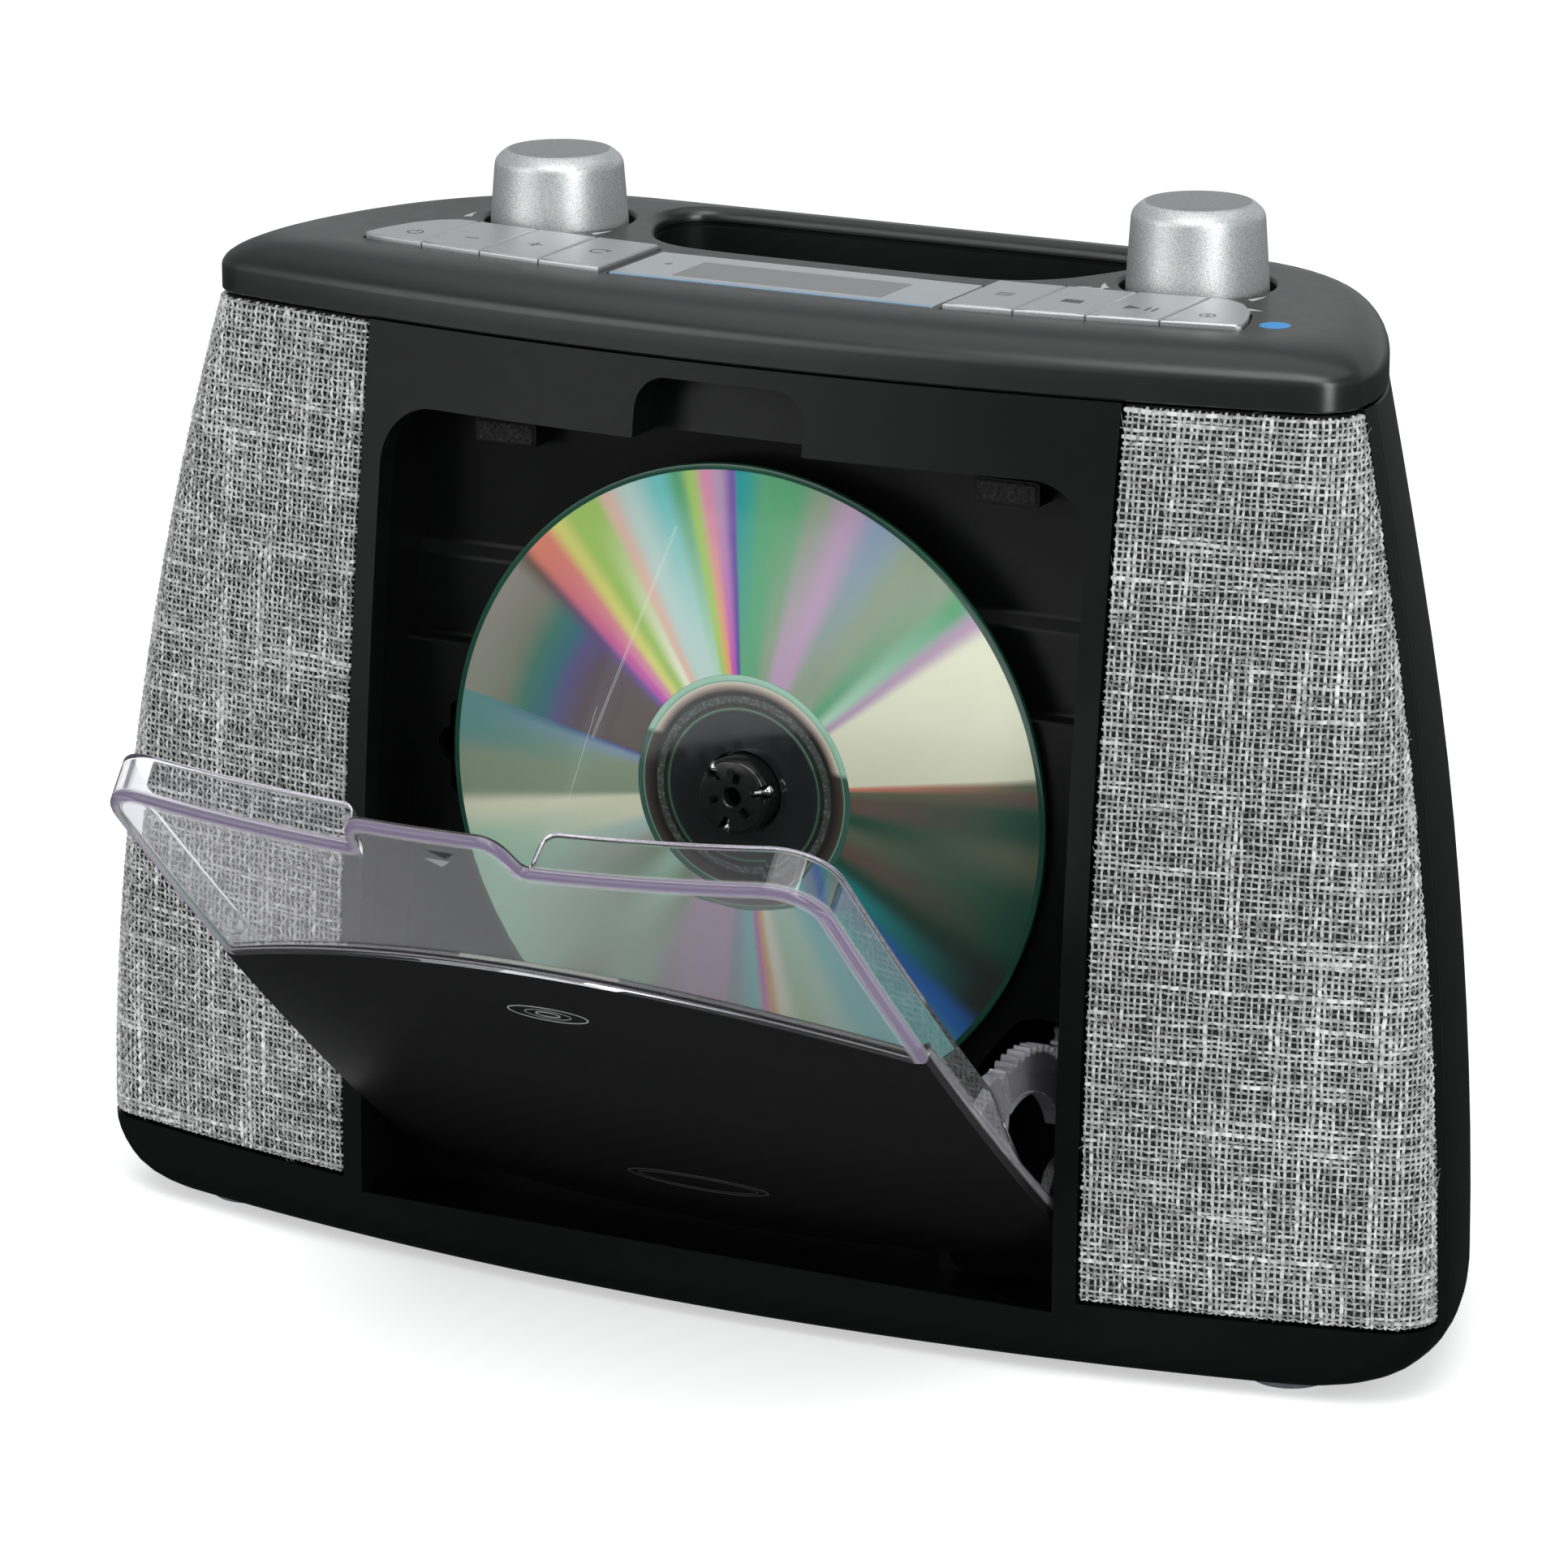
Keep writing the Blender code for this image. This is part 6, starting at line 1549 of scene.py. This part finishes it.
def door_print(name, strips, mat):
    """Thin print on the door's curved front: strips of (inner, outer) points, closed or open."""
    V, F = [], []
    for closed, pairs in strips:
        b, n = len(V), len(pairs)
        for (xa, za), (xb, zb) in pairs:
            ya, yb = face_y(xa, za), face_y(xb, zb)
            V += [(xa, ya - 0.03, za), (xb, yb - 0.03, zb), (xb, yb + 0.02, zb), (xa, ya + 0.02, za)]
        for i in range(n if closed else n - 1):
            p, q = b + 4 * i, b + 4 * ((i + 1) % n)
            F += [(p + k, p + (k + 1) % 4, q + (k + 1) % 4, q + k) for k in range(4)]
        if not closed:
            F += [(b, b + 3, b + 2, b + 1), tuple(b + 4 * (n - 1) + k for k in range(4))]
    return piece(name, shape(V, F), mat, "door", turn=True, smooth=40, weighted=False)


def oval(cx, cz, a, b, w, n=48):
    """Closed outline of constant width."""
    return (True, [((cx + (a - w) * math.cos(t), cz + (b - w) * math.sin(t)), (cx + a * math.cos(t), cz + b * math.sin(t)))
                   for t in (2 * math.pi * k / n for k in range(n))])


door_print("door_disc_mark", [oval(0.5, -77.2, 8.0, 2.6, 0.34), oval(0.5, -77.2, 2.5, 0.95, 0.34), oval(0.5, -77.2, 4.6, 1.6, 0.18)], PALE_INK)
door_print("door_oval_mark", [oval(1.2, -146.8, 14.3, 3.9, 0.40), oval(1.2, -146.8, 12.2, 2.9, 0.25)], FAINT_INK)
door_print("door_open_mark", [(False, [((1.3 - 2.5 + 2.5 * k / 4, -24.3), (1.3 - 2.5 + 2.5 * k / 4, -24.3 - 0.02 - 2.3 * k / 4)) for k in range(5)] +
                               [((1.3 + 2.5 * k / 4, -24.3), (1.3 + 2.5 * k / 4, -24.3 - 0.02 - 2.3 * (4 - k) / 4)) for k in range(1, 5)])], PALE_INK)

# ----------------------------------------------------------------------------
# disc, turntable, spring balls
# ----------------------------------------------------------------------------
N_D = 192
m_in = turned([(DISC_HOLE_R, 0.1), (DISC_HOLE_R + 0.1, 0.0), (14.8, 0.0), (15.0, -0.0), (21.5, 0.0), (21.5, 1.2), (DISC_HOLE_R + 0.1, 1.2), (DISC_HOLE_R, 1.1)][::-1],
              "y", 0, DISC_Z, N_D)
piece("disc_middle_ring", m_in, DISC_MIDDLE, "disc_drive", ["compact_disc"], smooth=30)
piece("disc_track_ring", turned([(21.52, 0.0), (58.9, 0.0), (58.9, 1.2), (21.52, 1.2)][::-1], "y", 0, DISC_Z, N_D), DISC_TRACKS, "disc_drive",
      smooth=30)
piece("disc_outer_edge", turned([(58.92, 0.0), (59.8, 0.0), (59.95, 0.08), (60.0, 0.2), (60.0, 1.0), (59.9, 1.15), (59.7, 1.2), (58.92, 1.2)][::-1],
                                "y", 0, DISC_Z, N_D), DISC_RIM, "disc_drive", smooth=60)

BALL_R, BALL_AT, BALL_Y = 1.05, 6.45, -2.3
BALLS = [math.radians(a) for a in (134.0, 14.0, 254.0)]
hub = turned([(1.7, 0.5), (1.7, -4.3), (1.95, -4.6), (6.2, -4.6), (6.5, -4.5), (6.75, -4.25), (6.95, -3.9), (7.1, -3.3), (7.15, -2.2), (7.15, -1.4),
              (7.15, 1.5), (17.3, 1.5), (17.5, 1.7), (17.5, 3.4), (17.3, 3.6), (4.0, 3.6), (3.0, 4.2), (3.0, 7.6), (1.0, 7.6), (1.0, 12.0), (0.0, 12.0), (0.0, 0.5)],
             "y", 0, DISC_Z, 96)
for a in BALLS:
    q = a + math.radians(60)
    slot_o = rounded_poly([(2.7, -0.75), (4.6, -0.75), (4.6, 0.75), (2.7, 0.75)], 0.15, 2)
    hub = cut(hub, prism([(x * math.cos(q) - z * math.sin(q), DISC_Z + x * math.sin(q) + z * math.cos(q)) for x, z in slot_o], "y", -5.5, -3.2))
    slot_b = rounded_poly([(3.9, -0.75), (5.2, -0.75), (5.5, -1.25), (7.6, -1.25), (7.6, 1.25), (5.5, 1.25), (5.2, 0.75), (3.9, 0.75)], 0.2, 3)
    hub = cut(hub, prism([(x * math.cos(a) - z * math.sin(a), DISC_Z + x * math.sin(a) + z * math.cos(a)) for x, z in slot_b], "y", -5.4, -1.1))
    # small moulded rings between the balls
    c = a + math.radians(78)
    cx, cz = 4.5 * math.cos(c), DISC_Z + 4.5 * math.sin(c)
    hub = cut(hub, turned([(0.55, -4.45), (0.75, -4.45), (0.75, -5.2), (0.55, -5.2)], "y", cx, cz, 24), turned([(0.0, -4.5), (0.22, -4.5), (0.22, -5.2), (0, -5.2)][::-1], "y", cx, cz, 16))
for a in BALLS:     # small coil springs behind the balls
    rings = []
    for k in range(4):
        r = 4.15 + 0.36 * k
        prof = [(0.62 + 0.13 * math.cos(t), 0.13 * math.sin(t)) for t in (0, 1.05, 2.09, 3.14, 4.19, 5.24)]
        t_ = turned(prof, "x", 0, 0, 20)
        bmesh.ops.rotate(t_, verts=t_.verts, cent=(0, 0, 0), matrix=Matrix.Rotation(-a, 3, "Y"))
        bmesh.ops.translate(t_, verts=t_.verts, vec=(r * math.cos(a), -2.5, DISC_Z + r * math.sin(a)))
        rings.append(t_)
    whole = rings[0]
    for t_ in rings[1:]:
        me_ = bpy.data.meshes.new("tmp_ring")
        t_.to_mesh(me_)
        t_.free()
        whole.from_mesh(me_)
        bpy.data.meshes.remove(me_)
    piece("ball_spring_%d" % (BALLS.index(a) + 1), whole, CHROME, "disc_drive", smooth=180, weighted=False)
HUB_ = moulded("hub_black_gloss", (0.006, 0.0065, 0.0065), 0.16, 0.04, 1500, 0.03, spec=0.5)
piece("turntable_hub", hub, HUB_, "disc_drive", ["turntable"], smooth=35, bevel=0.06, segments=1, angle=50)
for i, a in enumerate(BALLS):
    prof = [(BALL_R * math.sin(math.pi * k / 16), -BALL_R * math.cos(math.pi * k / 16)) for k in range(17)]
    prof[0], prof[-1] = (0.0, -BALL_R), (0.0, BALL_R)
    b = turned(prof, "z", 0, 0, 32)
    bmesh.ops.translate(b, verts=b.verts, vec=(BALL_AT * math.cos(a), BALL_Y, DISC_Z + BALL_AT * math.sin(a)))
    piece("spring_ball_%d" % (i + 1), b, CHROME, "disc_drive", ["clamp_ball_%d" % (i + 1)], smooth=180, weighted=False)

# ----------------------------------------------------------------------------
# disc bay
# ----------------------------------------------------------------------------
WX0, WX1 = BAY_X + GAP, BAY_X + GAP + 2.0
prof = [(9.0, -22.3), (9.0, -52.2), (8.7, -53.2), (7.3, -54.7), (7.0, -55.6), (7.0, -69.3), (6.7, -70.0), (2.6, -70.0), (2.2, -70.4), (2.2, -150.9), (2.6, -151.5),
        (9.8, -151.5), (9.8, -174.4), (-11.0, -174.4), (-11.0, -176.6), (12.0, -176.6), (12.0, -149.3), (4.5, -149.3),
        (4.5, -72.2), (9.3, -72.2), (9.3, -56.0), (11.2, -53.5), (11.2, -22.3)]
deck = prism(prof, "x", -WX1, WX1)
for sd in (-1, 1):
    zl_ = [-22.3 - 10.3 * k for k in range(15)] + [-176.6]
    side = [(face_y(72.0, z) + FRONT_WALL + 0.5, z) for z in zl_]
    side += [(11.9, -176.6), (11.9, -149.4), (10.8, -140.0), (10.8, -22.3)]
    deck = join(deck, prism(side, "x", *sorted((sd * WX0, sd * WX1))))
roof = [(x, face_y(x, -23.5) + FRONT_WALL + 0.5) for x in (-WX1, -48, -24, 0, 24, 48, WX1)] + [(WX1, 11.0), (-WX1, 11.0)]
deck = join(deck, prism(roof, "z", -24.3, -22.2))
deck = cut(deck, box(-19.2, 19.2, -20.0, 4.2, -25.0, -21.0))
pocket_edge = rounded_poly([(WX0 + 1.0, -124.8), (54.3, -124.8), (45.4, -136.2), (40.5, -146.0), (40.5, -174.4), (WX0 + 1.0, -174.4)], 4.0, 6)
pocket_edge = [(min(x, WX0), z) for x, z in pocket_edge]
pocket_out = [(WX1, -122.9), (55.4, -122.9), (52.4, -123.9), (50.2, -126.2), (43.7, -135.2), (38.6, -145.5), (38.6, -176.6), (WX1, -176.6)]
deck = join(deck, prism(pocket_out, "y", 2.2, 21.2))
deck = cut(deck, prism(rounded_poly([(WX0, -124.8), (54.3, -124.8), (45.4, -136.2), (40.5, -146.0), (40.5, -174.4), (WX0, -174.4)], 4.0, 6), "y", -1.0, 19.4))
deck = cut(deck, cylinder("y", 0, DISC_Z, 18.6, -2.0, 8.0, 64),
           prism(rounded(-62.0, -21.0, DISC_Z - 9.0, DISC_Z + 9.0, 2.0, 4), "y", -2.0, 8.0),
           cylinder("y", -61.2, DISC_Z + 0.5, 3.4, -2.0, 8.0, 32))
# shallow plate line and grooves of the upper wall
deck = cut(deck, prism(rounded(-14.0, 34.0, -46.0, -33.6, 0.8, 3), "y", 8.0, 9.35))
for sd in (-1, 1):
    deck = cut(deck, cylinder("x", HINGE_Y, HINGE_Z, 2.6, *sorted((sd * 70.0, sd * 74.0)), 32))
piece("disc_bay_moulding", deck, BAY_BLACK, "cabinet", ["cd_deck"], smooth=30, bevel=0.35, segments=2, angle=40)
for sd, nm in ((-1, "left"), (1, "right")):
    x0, x1 = sorted((sd * 44.6, sd * 56.2))
    pad = prism(rounded(x0, x1, -31.7, -28.0, 0.5, 3), "y", 3.0, 6.0)
    piece("foam_pad_" + nm, pad, FOAM, "cabinet", ["deck_pad_" + nm], bevel=0.3)
    x0, x1 = sorted((sd * 44.0, sd * 56.8))
    tray_ = cut(prism(rounded(x0, x1, -32.2, -27.6, 0.8, 3), "y", 3.4, 8.7), box(min(sd * 44.7, sd * 56.1), max(sd * 44.7, sd * 56.1), 0.0, 4.6, -31.6, -28.1))
    piece("pad_bracket_" + nm, tray_, BAY_BLACK, "cabinet", bevel=0.2)

# ----------------------------------------------------------------------------
# finishes on the CAD nodes that stay, with rounded edges
# ----------------------------------------------------------------------------


def finish_node(name, mat, bevel=0.0, smooth=30.0, angle=35.0):
    o = NODES[name]
    o.data.materials.clear()
    o.data.materials.append(mat)
    d = o.modifiers.new("planar", "DECIMATE")
    d.decimate_type, d.angle_limit = "DISSOLVE", math.radians(1.0)
    if bevel:
        b = o.modifiers.new("edge", "BEVEL")
        b.width, b.segments, b.limit_method, b.angle_limit = bevel * MM, 2, "ANGLE", math.radians(angle)
        b.use_clamp_overlap = True
        w = o.modifiers.new("normals", "WEIGHTED_NORMAL")
        w.keep_sharp = True


KEPT = {"base_plate": (BLACK, 0.0), "grille_panel_left": (GROOVE, 0.0), "grille_panel_right": (GROOVE, 0.0),
        "battery_tray": (BAY_BLACK, 0.2), "dc_socket": (BAY_BLACK, 0.15), "damper_body": (BAY_BLACK, 0.0), "damper_pinion": (ACETAL, 0.0),
        "mechanism_plate": (STEEL, 0.0), "guide_rod_lower": (STEEL, 0.0), "guide_rod_upper": (STEEL, 0.0), "spindle_motor": (STEEL, 0.0),
        "sled_motor": (STEEL, 0.0), "sled_gear": (ACETAL, 0.0), "pickup_sled": (BAY_BLACK, 0.0), "pickup_lens": (LENS, 0.0),
        "volume_shaft": (STEEL, 0.0), "tuning_shaft": (STEEL, 0.0), "volume_control": (STEEL, 0.0), "tuning_control": (STEEL, 0.0),
        "lcd_module": (LCD_GLASS, 0.0), "key_board": (PCB, 0.0), "main_board": (PCB, 0.0)}
for s_ in ("left", "right"):
    KEPT["speaker_basket_" + s_] = (STEEL, 0.0)
    KEPT["speaker_cone_" + s_] = (CONE, 0.0)
    KEPT["speaker_magnet_" + s_] = (MAGNET, 0.0)
for nm, (m_, bev) in KEPT.items():
    finish_node(nm, m_, bev)

# ----------------------------------------------------------------------------
# floor, light and camera
# ----------------------------------------------------------------------------
me = bpy.data.meshes.new("studio_floor")
bm = bmesh.new()
bmesh.ops.create_grid(bm, x_segments=8, y_segments=8, size=6.0)
bm.to_mesh(me)
bm.free()
FLOOR_ = Mat("studio_floor_paint", (0.86, 0.86, 0.86), 0.9)
FLOOR_.set("Specular IOR Level", 0.0)
FLOOR_.set("Emission Color", (1.0, 1.0, 1.0, 1.0))
FLOOR_.set("Emission Strength", 0.50)
FLOOR_.to("Base Color", FLOOR_.mix(FLOOR_.noise(2.0), (0.90, 0.90, 0.90), (0.92, 0.92, 0.92)))
me.materials.append(FLOOR_.m)
floor = bpy.data.objects.new("studio_floor", me)
floor.location = (0, 0, -0.0002)
bpy.context.scene.collection.objects.link(floor)
floor.visible_glossy = False

world = bpy.data.worlds.new("studio")
bpy.context.scene.world = world
world.use_nodes = True
wn = world.node_tree
bg = wn.nodes["Background"]
tc = wn.nodes.new("ShaderNodeTexCoord")
sp = wn.nodes.new("ShaderNodeSeparateXYZ")
wn.links.new(tc.outputs["Generated"], sp.inputs[0])
mr = wn.nodes.new("ShaderNodeMapRange")
wn.links.new(sp.outputs["Z"], mr.inputs["Value"])
for i_, v_ in (("From Min", -0.25), ("From Max", 0.02), ("To Min", 0.0), ("To Max", 1.0)):
    mr.inputs[i_].default_value = v_
cr = wn.nodes.new("ShaderNodeValToRGB")
cr.color_ramp.elements[0].color = (0.035, 0.037, 0.037, 1)
cr.color_ramp.elements[1].color = (0.26, 0.268, 0.272, 1)
wn.links.new(mr.outputs["Result"], cr.inputs["Fac"])
wn.links.new(cr.outputs["Color"], bg.inputs["Color"])
bg.inputs["Strength"].default_value = 1.0


def area(name, loc, aim, size, size_y, power, color=(1, 1, 1)):
    l = bpy.data.lights.new(name, "AREA")
    l.shape, l.size, l.size_y, l.energy, l.color = "RECTANGLE", size, size_y, power, color
    o = bpy.data.objects.new(name, l)
    o.location = loc
    d = Vector(aim) - Vector(loc)
    o.rotation_euler = d.to_track_quat("-Z", "Y").to_euler()
    bpy.context.scene.collection.objects.link(o)
    return o


AIM = (0.0, 0.0, 0.09)
area("top_softbox", (0.0, 0.3, 1.9), (0, 0, 0), 2.4, 2.0, 9.0)
area("front_top_softbox", (0.35, -0.95, 1.72), AIM, 1.6, 1.2, 17.0)
area("front_left_softbox", (-1.05, -1.5, 0.62), AIM, 1.1, 1.5, 9.0)
area("right_strip", (1.25, -0.85, 0.42), AIM, 0.40, 1.5, 12.0)
area("back_softbox", (-0.1, 1.6, 0.62), AIM, 2.2, 0.95, 1.45)

cam = bpy.data.cameras.new("camera")
cam.sensor_width, cam.lens = 36.0, 165.82
cam.clip_start, cam.clip_end = 0.05, 50.0
co = bpy.data.objects.new("camera", cam)
right, up, back = (0.884779, 0.466008, -0.001512), (-0.125363, 0.241141, 0.962359), (0.448832, -0.851286, 0.271776)
loc = (0.587327, -1.086810, 0.446884)
co.matrix_world = Matrix(((right[0], up[0], back[0], loc[0]), (right[1], up[1], back[1], loc[1]),
                          (right[2], up[2], back[2], loc[2]), (0, 0, 0, 1)))
bpy.context.scene.collection.objects.link(co)
bpy.context.scene.camera = co
bpy.context.scene.view_settings.view_transform = "Standard"

bpy.context.view_layer.update()
